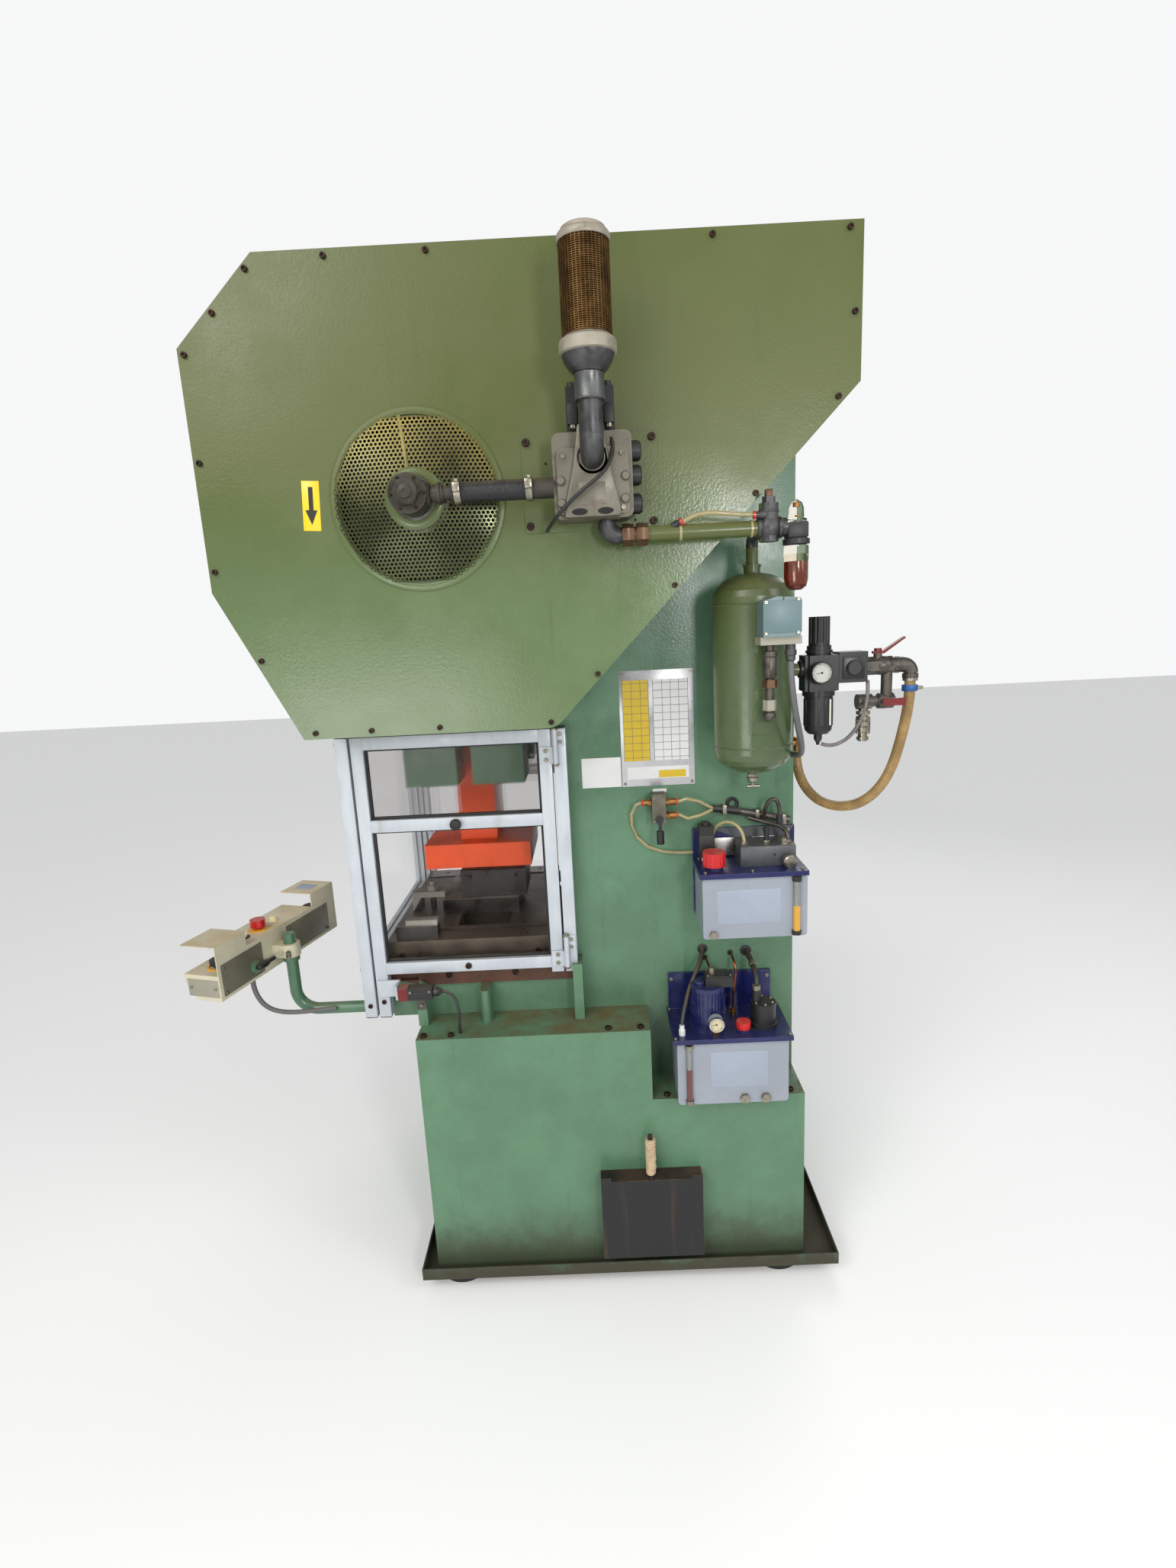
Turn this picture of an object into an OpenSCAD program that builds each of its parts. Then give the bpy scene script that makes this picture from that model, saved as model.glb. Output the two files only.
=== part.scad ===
// Mechanical stamping press with a C-shaped frame, seen from its drive side.
// Layout: X runs from the operator's side to the back, Y across the press
// (minus is the drive side), Z up from the floor. X and Y are measured from
// the ram's axis and shifted at the end to the middle of the whole machine.

/* [Feet, tray and base] */
// Height of a rubber foot under the drip tray
foot_h = 40; // [30:1:60]
// Diameter of a rubber foot
foot_d = 130; // [100:1:150]
// Distance of a foot's axis from the base's ends and sides
foot_inset = 60; // [50:1:90]
// Diameter of a foot's threaded stud
stud_d = 20; // [16:1:24]
// Thickness of the tray's sheet
tray_t = 3; // [2:0.5:5]
// Height of the tray's rim over its underside
tray_rim_h = 32; // [20:1:50]
// How far the tray stands out beyond the base's front and sides
tray_margin = 35; // [20:1:60]
// How far the tray stands out behind the base
tray_rear_margin = 82; // [30:1:120]
// Distance of the base's front end before the ram's axis
base_front = 145; // [120:1:200]
// Width of the base across the press
base_w = 840; // [760:1:900]
// Thickness of the base's plates
base_wall = 16; // [10:1:25]
// Height of the base's low top, under the column
base_low_z = 512; // [480:1:560]
// Height of the base's high top, under the bed
base_high_z = 702; // [660:1:740]
// Distance of the step between the two tops behind the ram's axis
base_step = 433; // [400:1:460]

/* [Scrap hopper] */
// Distance of the hopper's front edge behind the ram's axis
hopper_x = 293; // [270:1:320]
// Width of the hopper
hopper_w = 255; // [200:1:300]
// Height of the hopper
hopper_h = 224; // [180:1:260]
// Height of the hopper's underside over the floor
hopper_z = 93; // [90:1:120]
// How far the hopper stands out
hopper_depth = 44; // [35:1:60]
// Thickness of the hopper's sheet
hopper_t = 3; // [2:0.5:4]
// Width that the opening behind the hopper leaves at each side
hopper_lap = 18; // [10:1:30]
// Diameter of the hopper's hinge pin
hopper_pin_d = 8; // [6:1:10]
// Height of the pull rod over the hopper
pull_h = 122; // [80:1:160]

/* [Frame] */
// Width of the frame over its side plates
frame_w = 580; // [540:1:640]
// Thickness of a side plate
side_t = 45; // [35:1:60]
// Distance of the bed's front before the ram's axis
bed_front = 228; // [200:1:240]
// Distance of the head's front before the ram's axis
head_front = 250; // [240:1:280]
// Throat depth, from the ram's axis to the column
throat = 247; // [240:1:280]
// Depth of the column, front to back
column_d = 565; // [520:1:600]
// Height of the throat's top
throat_top_z = 1440; // [1420:1:1460]
// Height of the head's top
crown_z = 2330; // [2300:1:2340]
// Height of the shoulder that carries the motor
shoulder_z = 2085; // [2060:1:2110]
// Length of the head's flat top behind the ram's axis
crown_rear = 470; // [440:1:490]
// Size of the head's upper chamfer
crown_chamfer = 90; // [40:1:120]
// Size of the head's lower chamfer
chin_chamfer = 60; // [30:1:80]
// Thickness of the cross plates
cross_t = 22; // [16:1:30]
// Thickness of the column's front plate
lining_t = 18; // [12:1:25]

/* [Bed and bolster] */
// Thickness of the bed's table
table_t = 42; // [30:1:50]
// How far the table stands out beyond the side plates
table_lip = 10; // [5:1:20]
// How far the bed's legs and ribs stand out
leg_out = 60; // [40:1:70]
// Thickness of a leg
leg_t = 24; // [16:1:30]
// Length of the bolster, front to back
bolster_l = 422; // [400:1:450]
// Width of the bolster across the press
bolster_w = 580; // [520:1:600]
// Thickness of the bolster
bolster_t = 75; // [60:1:90]
// Width of a T-slot's mouth
slot_w = 18; // [14:1:22]
// Distance between the two T-slots
slot_gap = 440; // [436:1:460]
// Diameter of the bolster's four tapped holes
bolster_hole_d = 16; // [12:1:20]
// Spacing of the tapped holes, front to back
bolster_hole_x = 300; // [260:1:340]
// Spacing of the tapped holes across the press
bolster_hole_y = 524; // [516:1:540]
// Length of the slug opening, front to back
slug_l = 140; // [100:1:160]
// Width of the slug opening across the press
slug_w = 116; // [100:1:120]
// Distance of the slug opening's middle from the ram's axis, to the drive side
slug_y = 138; // [130:1:142]

/* [Crank and ram] */
// Height of the crankshaft's axis
crank_z = 1940; // [1930:1:1950]
// Stroke of the ram
stroke = 60; // [40:1:70]
// Diameter of a main journal
journal_d = 150; // [120:1:160]
// Wall of a main bush
bush_wall = 20; // [12:1:25]
// Diameter of the eccentric
eccentric_d = 240; // [220:1:260]
// Width of the eccentric
eccentric_w = 130; // [100:1:150]
// Wall of the rod's strap round the eccentric
strap_wall = 42; // [30:1:50]
// Distance from the eccentric's axis to the ball's centre
rod_l = 432; // [425:1:440]
// Diameter of the adjusting screw
screw_d = 56; // [40:1:60]
// Diameter of the screw's ball
ball_d = 84; // [70:1:90]
// Running clearance of shafts and pins on radius
run_gap = 0.05; // [0.02:0.01:0.1]
// Length of the ram's guided block, front to back
ram_block_l = 220; // [210:1:240]
// Width of the ram's guided block
ram_block_w = 240; // [220:1:260]
// Height of the ram's guided block
ram_block_h = 310; // [280:1:330]
// Width of the ram's neck, front to back
ram_neck_l = 100; // [80:1:120]
// Width of the ram's neck across the press
ram_neck_w = 180; // [150:1:190]
// Length of the ram's tool plate, front to back
ram_plate_l = 286; // [260:1:300]
// Width of the ram's tool plate
ram_plate_w = 280; // [250:1:300]
// Thickness of the ram's tool plate
ram_plate_t = 66; // [50:1:80]
// Height of the tool plate's underside, ram down
ram_down_z = 1050; // [1040:1:1060]
// Height of the gibs' lower ends
gib_z = 1300; // [1280:1:1310]
// Height of the gibs
gib_h = 420; // [400:1:440]
// Gap between the front and rear gibs
gib_slot = 38; // [20:1:60]
// Clearance of the ram in its gibs
gib_gap = 0.2; // [0.1:0.05:0.3]

/* [Flywheel and motor] */
// Diameter of the flywheel
flywheel_d = 800; // [760:1:820]
// Width of the flywheel's rim
flywheel_w = 110; // [106:1:114]
// Depth of the flywheel's rim
rim_d = 65; // [50:1:80]
// Diameter of the crankshaft's end that carries the flywheel
stub_d = 120; // [100:1:130]
// Outer diameter of the flywheel's bearings
wheel_bearing_d = 170; // [160:1:180]
// Number of V-belts
belt_n = 4; // [2:1:4]
// Distance between two belts
belt_pitch = 26; // [25:1:27]
// Width of a belt
belt_w = 15.2; // [14:0.1:16]
// Thickness of a belt
belt_t = 13; // [10:1:14]
// Distance of the motor's axis behind the ram's axis
motor_x = 690; // [680:1:700]
// Diameter of the motor's pulley
pulley_d = 160; // [140:1:170]
// Diameter of the motor's shaft
motor_shaft_d = 38; // [28:1:42]
// Diameter of the motor over its fins
motor_d = 250; // [230:1:256]
// Length of the motor's finned body
motor_l = 380; // [340:1:400]
// Shaft height of the motor over its feet
motor_foot_h = 132; // [130:1:140]
// Number of cooling fins on the motor
fin_n = 24; // [16:1:36]

/* [Belt guard] */
// Depth of the belt guard's rim
guard_depth = 227; // [225:1:240]
// Thickness of the guard's sheet
guard_t = 3; // [2:0.5:4]
// How far the guard reaches before the ram's axis
guard_front = 437; // [430:1:450]
// How far the guard reaches behind the ram's axis
guard_rear = 877; // [870:1:890]
// Height of the guard's top
guard_top_z = 2396; // [2390:1:2400]
// Height of the guard's underside
guard_low_z = 1471; // [1465:1:1475]
// Width of the lip that takes the panel's screws
lip_w = 20; // [15:1:30]
// Diameter of the vent cone
vent_d = 350; // [340:1:370]
// How far the vent cone stands out
vent_rise = 26; // [15:1:40]
// Diameter of the vent cone's middle hole
vent_hole_d = 84; // [70:1:100]
// Number of rings of vent holes
vent_rings = 5; // [2:1:5]
// Diameter of a vent hole
vent_d_small = 10; // [6:1:12]

/* [Air valve and silencer] */
// Length of the valve's mounting plate
valve_plate_l = 269; // [250:1:290]
// Height of the valve's mounting plate
valve_plate_h = 181; // [170:1:200]
// Distance of the mounting plate's front edge behind the ram's axis
valve_plate_x = 211; // [200:1:230]
// Height of the mounting plate's underside
valve_plate_z = 1866; // [1860:1:1880]
// Length of the valve's body
valve_l = 150; // [140:1:160]
// Height of the valve's body
valve_h = 155; // [150:1:165]
// Depth of the valve's body
valve_deep = 86; // [80:1:100]
// Diameter of the exhaust pipe
exhaust_d = 44; // [38:1:50]
// Diameter of the silencer's ribbed tube
silencer_d = 90; // [80:1:100]
// Length of the silencer's ribbed tube
silencer_h = 150; // [130:1:160]
// Number of the silencer's ribs
silencer_ribs = 14; // [8:1:20]
// Diameter of the hose from valve to clutch
clutch_hose_d = 38; // [34:1:42]

/* [Air tank and supply] */
// Diameter of the air tank
tank_d = 175; // [160:1:180]
// Distance of the tank's axis before the column's rear
tank_inset = 122; // [117:1:132]
// Distance of the tank's axis from the frame's side plate
tank_out = 110; // [105:1:120]
// Height of the tank over its domed ends
tank_h = 444; // [430:1:460]
// Height of the main air pipe over the tank
neck_h = 75; // [70:1:80]
// Depth of a domed end
tank_dome = 52; // [45:1:60]
// Distance of the pressure switch's branch under the tank's top
switch_drop = 300; // [296:1:304]
// Diameter of the main air pipe
pipe_d = 30; // [26:1:34]
// Height of the main air pipe
line_z = 1850; // [1848:1:1854]
// Distance of the filter regulator behind the column's rear
regulator_out = 19; // [13:1:28]
// Height of the regulator's ports
port_z = 1562; // [1556:1:1568]
// Width of the regulator's body
regulator_w = 74; // [66:1:80]
// Diameter of the filter bowl
bowl_d = 62; // [56:1:66]
// Diameter of the regulator's knob
knob_d = 45; // [38:1:50]
// Distance of the supply elbow behind the column's rear
elbow_out = 221; // [216:1:226]
// Outer diameter of the supply hose
hose_d = 24; // [20:1:26]

/* [Lubrication] */
// Length of the upper oil tank
upper_tank_l = 245; // [230:1:250]
// Height of the upper oil tank
upper_tank_h = 150; // [130:1:160]
// Depth of the upper oil tank
upper_tank_d = 130; // [120:1:140]
// Height of the upper oil tank's underside
upper_tank_z = 938; // [930:1:950]
// Distance of the upper oil tank's rear before the column's rear
upper_tank_inset = 2; // [1:1:7]
// Length of the lower oil tank
lower_tank_l = 270; // [260:1:280]
// Height of the lower oil tank
lower_tank_h = 166; // [150:1:180]
// Depth of the lower oil tank
lower_tank_d = 145; // [130:1:150]
// Height of the lower oil tank's underside over the base's low top
lower_tank_lift = 2; // [0:0.5:10]
// Distance of the lower oil tank's front behind the ram's axis
lower_tank_x = 494; // [488:1:500]
// Thickness of a lid and of a back plate
lid_t = 12; // [8:1:14]

/* [Guard door] */
// Size of the aluminium profiles
profile = 30; // [26:1:32]
// Width of a profile's groove
groove = 6.6; // [6.4:0.1:7]
// Depth of a profile's groove
groove_depth = 8; // [6:1:9]
// Thickness of a pane
pane_t = 6; // [5:0.5:6]
// Distance from the frame's side to the door's inner face
door_gap = 20; // [16:1:30]
// Distance of the door's front edge before the ram's axis
door_front = 250; // [240:1:255]
// Distance of the door's rear edge behind the ram's axis
door_rear = 226; // [220:1:228]
// Height of the door's top
door_top_z = 1445; // [1440:1:1460]
// Height of the door's lower rail
door_rail_z = 842; // [836:1:850]
// Height of the door's middle rail
door_mid_z = 1212; // [1190:1:1230]
// Height of the front posts' lower ends
post_z = 727; // [715:1:735]
// Diameter of the hinge pins
hinge_pin_d = 8; // [6:1:10]
// Height of a hinge
hinge_h = 80; // [60:1:90]

/* [Control console] */
// Diameter of the console's post
post_d = 32; // [28:1:36]
// Distance of the post's axis before the ram's axis
post_x = 533; // [520:1:545]
// Distance of the post's axis from the ram's axis, to the drive side
post_y = 160; // [150:1:170]
// Height of the post's arm
arm_z = 666; // [660:1:670]
// Height of the post's top
post_top_z = 893; // [880:1:896]
// Length of the console
console_l = 495; // [470:1:520]
// Width of the console
console_w = 105; // [95:1:115]
// Height of the console's underside
console_z = 800; // [790:1:805]
// Height of the console's middle part
console_h = 105; // [100:1:115]
// Length of a hooded end
hood_l = 108; // [100:1:120]
// Height of a hooded end's floor over the underside
end_h = 68; // [60:1:75]
// Height of the hoods over the middle part
hood_rise = 40; // [35:1:50]
// Turn of the console about its post, seen from above
console_turn = 16; // [10:1:20]
// Gap between the console and its post
console_stand = 23; // [20:1:28]

/* [Hidden] */
$fn = 64;
// Overlap of a cutting shape past the faces it cuts
cut = 1;
// Thin gap between pieces that seat on each other
seat = 0.3;

green = "mediumseagreen";
dark = "dimgray";
metal = "silver";
brass = "darkgoldenrod";
black = [0.12, 0.12, 0.13];
navy = [0.16, 0.2, 0.35];

frame_y = frame_w / 2;
column_rear = throat + column_d;
base_y = base_w / 2;
base_rear = column_rear;
base_z = foot_h + tray_t;
table_z = base_high_z + 88;
table_top = table_z + table_t;
bolster_top = table_top + bolster_t;
tray_y = base_y + tray_margin;
tray_x0 = -base_front - tray_margin;
tray_x1 = base_rear + tray_rear_margin;
foot_places = [for (x = [-base_front + foot_inset, base_rear - foot_inset])
               for (y = [-base_y + foot_inset, base_y - foot_inset]) [x, y]];
slug_x = 10;
bolster_mid = -bed_front + bolster_l / 2;
eccentric = stroke / 2;
bush_r = journal_d / 2 + bush_wall;
bush_inner_y = 185;
shelf_top = shoulder_z + 20;
motor_z = shelf_top + motor_foot_h;
guard_y0 = -frame_y - guard_depth;
panel_y = guard_y0 - guard_t;
wheel_y = panel_y + 50;
valve_x = valve_plate_x + 64;
valve_z = valve_plate_z + 14;
valve_y = panel_y - guard_t - valve_deep;
exhaust_x = valve_x + valve_l / 2;
exhaust_y = valve_y - 40;
line_y = valve_y + 50;
tank_x = column_rear - tank_inset;
tank_y = -frame_y - tank_out;
tank_z = line_z - neck_h - tank_h;
upper_tank_x = column_rear - upper_tank_inset - upper_tank_l;
regulator_x = column_rear + regulator_out;
elbow_x = column_rear + elbow_out;
regulator_y = tank_y - 25;
deck_y = max(frame_y, bolster_w / 2);
door_y0 = -deck_y - door_gap - profile;
door_y1 = -deck_y - door_gap;
hinge_x = door_rear + 10;
hinge_y = door_y0 - 8;
lower_tank_z = base_low_z + lower_tank_lift;
ball_z = crank_z - eccentric - rod_l;
ram_top = gib_z + 30 + ram_block_h;
hopper_pivot = [-base_y - 8, hopper_z - 7];
// Front faces of the bed's legs and ribs, and width of a leg's plate
leg_x = -150;
rib_x = 10;

// Rod, ram and tools: wall of the rod's shank, length of the screw below it,
// bore for a tool's shank, gap between the dies, and plans as X and Y limits
shank_wall = 26;
screw_out = 110;
pocket_r = screw_d / 2 + shank_wall + eccentric + 2;
shank_r = 22;
die_gap = 0.5;
die_t = 41;
lower_die_top = bolster_top + die_t;
upper_die_plan = [-60, 120, -95, 75];
lower_die_plan = [-113, 98, -110, 100];

// Belt guard: its nose, chamfer, toe and the slope to its lower rear corner
guard_nose_z = 1781;
guard_chamfer = [164, 158];
guard_toe = 286;
heel_x = 250;
heel_r = 45;
heel_slope = 1.032;
guard_slope_z = guard_low_z + (guard_rear - heel_x) * heel_slope;
guard_corner = [for (a = [-45:-15:-90]) [heel_x - heel_r * 0.42 + heel_r * cos(a),
  guard_low_z + heel_r + heel_r * sin(a)]];
// Places of the panel's screws along its edges, in X and Z
edge_x = 13 - guard_front;
edge_z = guard_top_z - 13;
toe_z = guard_low_z + 13;
screw_places = [[edge_x, 1822], [edge_x, 2030], [edge_x, 2226], [-360, 2296], [-287, 2368], [-137, edge_z],
  [56, edge_z], [308, edge_z], [594, edge_z], [guard_rear - 26, edge_z], [guard_rear - 14, 2240],
  [834, 2092], [673, 1922], [508, 1752], [343, 1580], [240, toe_z], [4, toe_z], [-141, toe_z],
  [-260, toe_z], [-354, 1640]];

// Rotary union: its outer end, and the hose from it to the valve
union_y = panel_y - 108;
hose_y = (union_y + panel_y - 38) / 2 + 4;
spigot_r = 13;
hose_x = [80, 240];
clamp_x = [86, 222];

// Air supply: places along the pipework
lubricator_x = tank_x + 54;
port_reach = 20;
valve_a_x = regulator_x + regulator_w / 2 + 92;
branch_x = elbow_x - 52;
branch_z = port_z - 78;
coupler_x = branch_x - 50;
hose_top = port_z - 34;
// Far end of the supply hose, at the fitting on the column's rear plate
hose_end = [column_rear + 24, 64 - frame_y, 1346];

// Lubrication: near faces of the two tanks, the hand valve's box and bores, and its tubes
upper_y = -frame_y - lid_t - upper_tank_d;
lower_y = -frame_y - 15 - lower_tank_d;
hand_x = [461, 494];
hand_z = [1199, 1271];
hand_pivot = [478, 1212];
tube_z = [1250, 1216];
thin_tube_r = 4;
bundle_r = 9;

// Guards and door switch
hinge_z = [post_z + 120, door_top_z - hinge_h - 2];
front_x = -door_front - profile - 6;
far_y = deck_y + door_gap;
column_foot = table_top + 20;
switch_x = -186;
switch_z = 806;

// Console: underside of the clamp, middle of the buttons and their places
clamp_z = console_z + 30;
clamp_h = 36;
stop_v = -15;
start_v = -75;

// Extents of the machine without its supply hose, from which the origin follows
console_dir = [sin(console_turn), cos(console_turn)];
console_side = [cos(console_turn), -sin(console_turn)];
console_near = 225;
console_u1 = -post_d / 2 - console_stand;
console_u0 = console_u1 - console_w;
console_mid = (console_u0 + console_u1) / 2 + 8;
extent_left = -post_x + console_u0 * console_side[0] - console_near * console_dir[0];
extent_right = elbow_x + 17;
extent_near = exhaust_y - silencer_d / 2 - 5;
extent_far = tray_y;
mid_x = (extent_right + extent_left) / 2;
mid_y = (extent_near + extent_far) / 2;

module at_origin() translate([-mid_x, -mid_y, 0]) children();
module slab(x0, x1, y0, y1, z0, z1) translate([x0, y0, z0]) cube([x1 - x0, y1 - y0, z1 - z0]);
module bar_x(x0, x1, y, z, r) translate([x0, y, z]) rotate([0, 90, 0]) cylinder(h = x1 - x0, r = r);
module bar_y(y0, y1, x, z, r) translate([x, y0, z]) rotate([-90, 0, 0]) cylinder(h = y1 - y0, r = r);
module bar_z(z0, z1, x, y, r) translate([x, y, z0]) cylinder(h = z1 - z0, r = r);
// A profile drawn in X and Z, standing from y0 to y1
module upright(y0, y1) translate([0, y1, 0]) rotate([90, 0, 0]) linear_extrude(y1 - y0) children();
module spin_y(x, y, z) translate([x, y, z]) rotate([-90, 0, 0]) rotate_extrude() children();

module levelling_feet() color(black) at_origin()
  for (p = foot_places) translate([p[0], p[1], 0]) rotate_extrude() polygon([
    [0, 0], [foot_d / 2, 0], [foot_d / 2, 12], [foot_d / 2 - 6, foot_h * 0.6],
    [foot_d / 2 - 6, foot_h], [stud_d / 2, foot_h], [stud_d / 2, base_z + base_wall],
    [stud_d * 0.9, base_z + base_wall], [stud_d * 0.9, base_z + base_wall + 16],
    [stud_d / 2, base_z + base_wall + 16], [stud_d / 2, base_z + base_wall + 40],
    [0, base_z + base_wall + 40]]);

module drip_tray() color(green) at_origin() difference() {
  slab(tray_x0, tray_x1, -tray_y, tray_y, foot_h, foot_h + tray_rim_h);
  slab(tray_x0 + tray_t, tray_x1 - tray_t, -tray_y + tray_t, tray_y - tray_t,
       base_z, foot_h + tray_rim_h + cut);
  for (p = foot_places) bar_z(foot_h - cut, base_z + cut, p[0], p[1], stud_d / 2 + 1);
}

module base_outline() polygon([
  [-base_front, base_z], [base_rear, base_z], [base_rear, base_low_z],
  [base_step, base_low_z], [base_step, base_high_z], [-base_front, base_high_z]]);

// Opening in the base's near side, behind the scrap hopper
module hopper_opening() translate([hopper_x + hopper_lap, hopper_z + hopper_lap])
  square([hopper_w - 2 * hopper_lap, hopper_h - 2 * hopper_lap]);

module base_near_plate() color(green) at_origin() {
  upright(-base_y, -base_y + base_wall) difference() {
    base_outline();
    hopper_opening();
  }
  // Ears and pin of the hopper's hinge
  for (x = [hopper_x + 30, hopper_x + hopper_w - 46]) {
    slab(x, x + 16, hopper_pivot[0], -base_y, hopper_pivot[1] - 6, hopper_pivot[1] + 6);
    bar_x(x, x + 16, hopper_pivot[0], hopper_pivot[1], 6);
  }
  bar_x(hopper_x + 20, hopper_x + hopper_w - 20, hopper_pivot[0], hopper_pivot[1], hopper_pin_d / 2);
}

module slug_opening(z0, z1) slab(slug_x - slug_l / 2, slug_x + slug_l / 2,
  -slug_y - slug_w / 2, -slug_y + slug_w / 2, z0, z1);

module base_plates() color(green) at_origin() {
  inner = base_y - base_wall;
  upright(inner, base_y) base_outline();
  slab(-base_front, -base_front + base_wall, -inner, inner, base_z, base_high_z);
  slab(base_rear - base_wall, base_rear, -inner, inner, base_z, base_low_z);
  slab(base_step - base_wall, base_step, -inner, inner, base_low_z - base_wall, base_high_z);
  slab(base_step - base_wall, base_rear, -inner, inner, base_low_z - base_wall, base_low_z);
  difference() {
    slab(-base_front, base_step, -inner, inner, base_high_z - base_wall, base_high_z);
    slug_opening(base_high_z - base_wall - cut, base_high_z + cut);
  }
  // Flanges over the feet
  flange = 2 * foot_inset - 2 * base_wall;
  for (p = foot_places) difference() {
    translate([p[0] - flange / 2 - base_wall, p[1] - flange / 2, base_z])
      cube([flange + 2 * base_wall, flange, base_wall]);
    bar_z(base_z - cut, base_z + base_wall + cut, p[0], p[1], stud_d / 2 + 1);
  }
}

module scrap_hopper() color(black) at_origin() {
  x1 = hopper_x + hopper_w;
  y0 = -base_y - hopper_depth - 1;
  y1 = -base_y - 1;
  z1 = hopper_z + hopper_h;
  slab(hopper_x, x1, y0, y0 + hopper_t, hopper_z, z1);
  slab(hopper_x, x1, y0, y1, hopper_z, hopper_z + hopper_t);
  slab(hopper_x, x1, y0, y1, z1 - hopper_t, z1);
  for (x = [hopper_x, x1 - hopper_t]) slab(x, x + hopper_t, y0, y1, hopper_z, z1);
  // Corner tabs on the top edge
  for (x = [hopper_x, x1 - 26]) slab(x, x + 26, y0, y0 + hopper_t, z1, z1 + 9);
  // Knuckles on the hinge pin
  for (x = [hopper_x + 52, x1 - 76]) difference() {
    union() {
      bar_x(x, x + 24, hopper_pivot[0], hopper_pivot[1], hopper_pin_d / 2 + 3);
      slab(x, x + 24, hopper_pivot[0] - 7, hopper_pivot[0], hopper_pivot[1], hopper_z + hopper_t);
    }
    bar_x(x - cut, x + 24 + cut, hopper_pivot[0], hopper_pivot[1], hopper_pin_d / 2 + run_gap);
  }
  // Pull rod and its cloth wrap
  rod_x = hopper_x + 127;
  bar_z(z1 - 60, z1 + pull_h, rod_x, y0 + hopper_t + 6, 6);
  bar_z(z1 + 16, z1 + pull_h - 12, rod_x, y0 + hopper_t + 6, 11);
}

module side_outline() polygon([
  [-bed_front, base_high_z], [base_step, base_high_z], [base_step, base_low_z],
  [column_rear, base_low_z], [column_rear, shoulder_z], [crown_rear + 60, shoulder_z],
  [crown_rear, crown_z], [-head_front + crown_chamfer, crown_z],
  [-head_front, crown_z - crown_chamfer], [-head_front, throat_top_z + chin_chamfer],
  [-head_front + chin_chamfer, throat_top_z], [throat, throat_top_z],
  [throat, table_z], [-bed_front, table_z]]);

module side_plates() color(green) at_origin()
  for (y = [-frame_y, frame_y - side_t]) upright(y, y + side_t) difference() {
    side_outline();
    translate([0, crank_z]) circle(r = bush_r + run_gap);
  }

module frame_plates() color(green) at_origin() {
  inner = frame_y - side_t;
  slab(throat - lining_t, throat, -frame_y, frame_y, table_top, throat_top_z);
  slab(column_rear - cross_t, column_rear, -inner, inner, base_low_z, shoulder_z);
  slab(-head_front, -head_front + cross_t, -inner, inner,
       throat_top_z + chin_chamfer, crown_z - crown_chamfer);
  slab(-head_front + crown_chamfer, crown_rear, -inner, inner, crown_z - cross_t, crown_z);
  slab(-head_front + chin_chamfer, -gib_reach(), -inner, inner, throat_top_z, throat_top_z + cross_t);
  slab(gib_reach(), throat, -inner, inner, throat_top_z, throat_top_z + cross_t);
  upright(-inner, inner) polygon([[crown_rear, crown_z], [crown_rear + 60, shoulder_z],
    [crown_rear + 60 - cross_t, shoulder_z], [crown_rear - cross_t, crown_z]]);
  slab(crown_rear + 66, guard_rear - 30, -frame_y, frame_y, shoulder_z, shelf_top);
}

module bed_table() color(green) at_origin() {
  difference() {
    slab(-bed_front - table_lip, throat, -deck_y - table_lip, deck_y + table_lip, table_z, table_top);
    slug_opening(table_z - cut, table_top + cut);
    // Long slot in the table's edge
    slab(-bed_front + 30, -bed_front + 75, -deck_y - table_lip - cut, -deck_y - table_lip + 12,
         table_z + 14, table_z + 24);
  }
  for (s = [-1, 1]) scale([1, s, 1]) {
    slab(leg_x, leg_x + leg_t, frame_y, frame_y + leg_out, base_high_z, table_z);
    slab(throat + 1, throat + 1 + leg_t, frame_y, frame_y + leg_out, base_high_z, column_foot);
    slab(rib_x, rib_x + leg_t, frame_y, frame_y + leg_out - leg_t / 2, base_high_z, table_z);
    bar_z(base_high_z, table_z, rib_x + leg_t / 2, frame_y + leg_out - leg_t / 2, leg_t / 2);
  }
}

module bolster() color(metal) at_origin() difference() {
  slab(-bed_front, -bed_front + bolster_l, -bolster_w / 2, bolster_w / 2, table_top, bolster_top);
  slug_opening(table_top - cut, bolster_top + cut);
  for (s = [-1, 1]) translate([-bed_front - cut, s * slot_gap / 2, bolster_top]) {
    translate([0, -slot_w / 2, -34]) cube([bolster_l + 2 * cut, slot_w, 34 + cut]);
    translate([0, -slot_w, -34]) cube([bolster_l + 2 * cut, 2 * slot_w, 16]);
  }
  for (x = [-1, 1]) for (y = [-1, 1])
    bar_z(bolster_top - 45, bolster_top + cut, bolster_mid + x * bolster_hole_x / 2,
          y * bolster_hole_y / 2, bolster_hole_d / 2);
}

function gib_reach() = ram_block_l / 2 + 40;

module ram_gibs() color(green) at_origin() difference() {
  inner = frame_y - side_t;
  for (s = [-1, 1]) scale([1, s, 1]) {
    slab(-gib_reach(), -gib_slot / 2, ram_block_w / 2 - 20, inner, gib_z, gib_z + gib_h);
    slab(gib_slot / 2, gib_reach(), ram_block_w / 2 - 20, inner, gib_z, gib_z + gib_h);
  }
  slab(-ram_block_l / 2 - gib_gap, ram_block_l / 2 + gib_gap,
       -ram_block_w / 2 - gib_gap, ram_block_w / 2 + gib_gap, gib_z - cut, gib_z + gib_h + cut);
}

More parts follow.
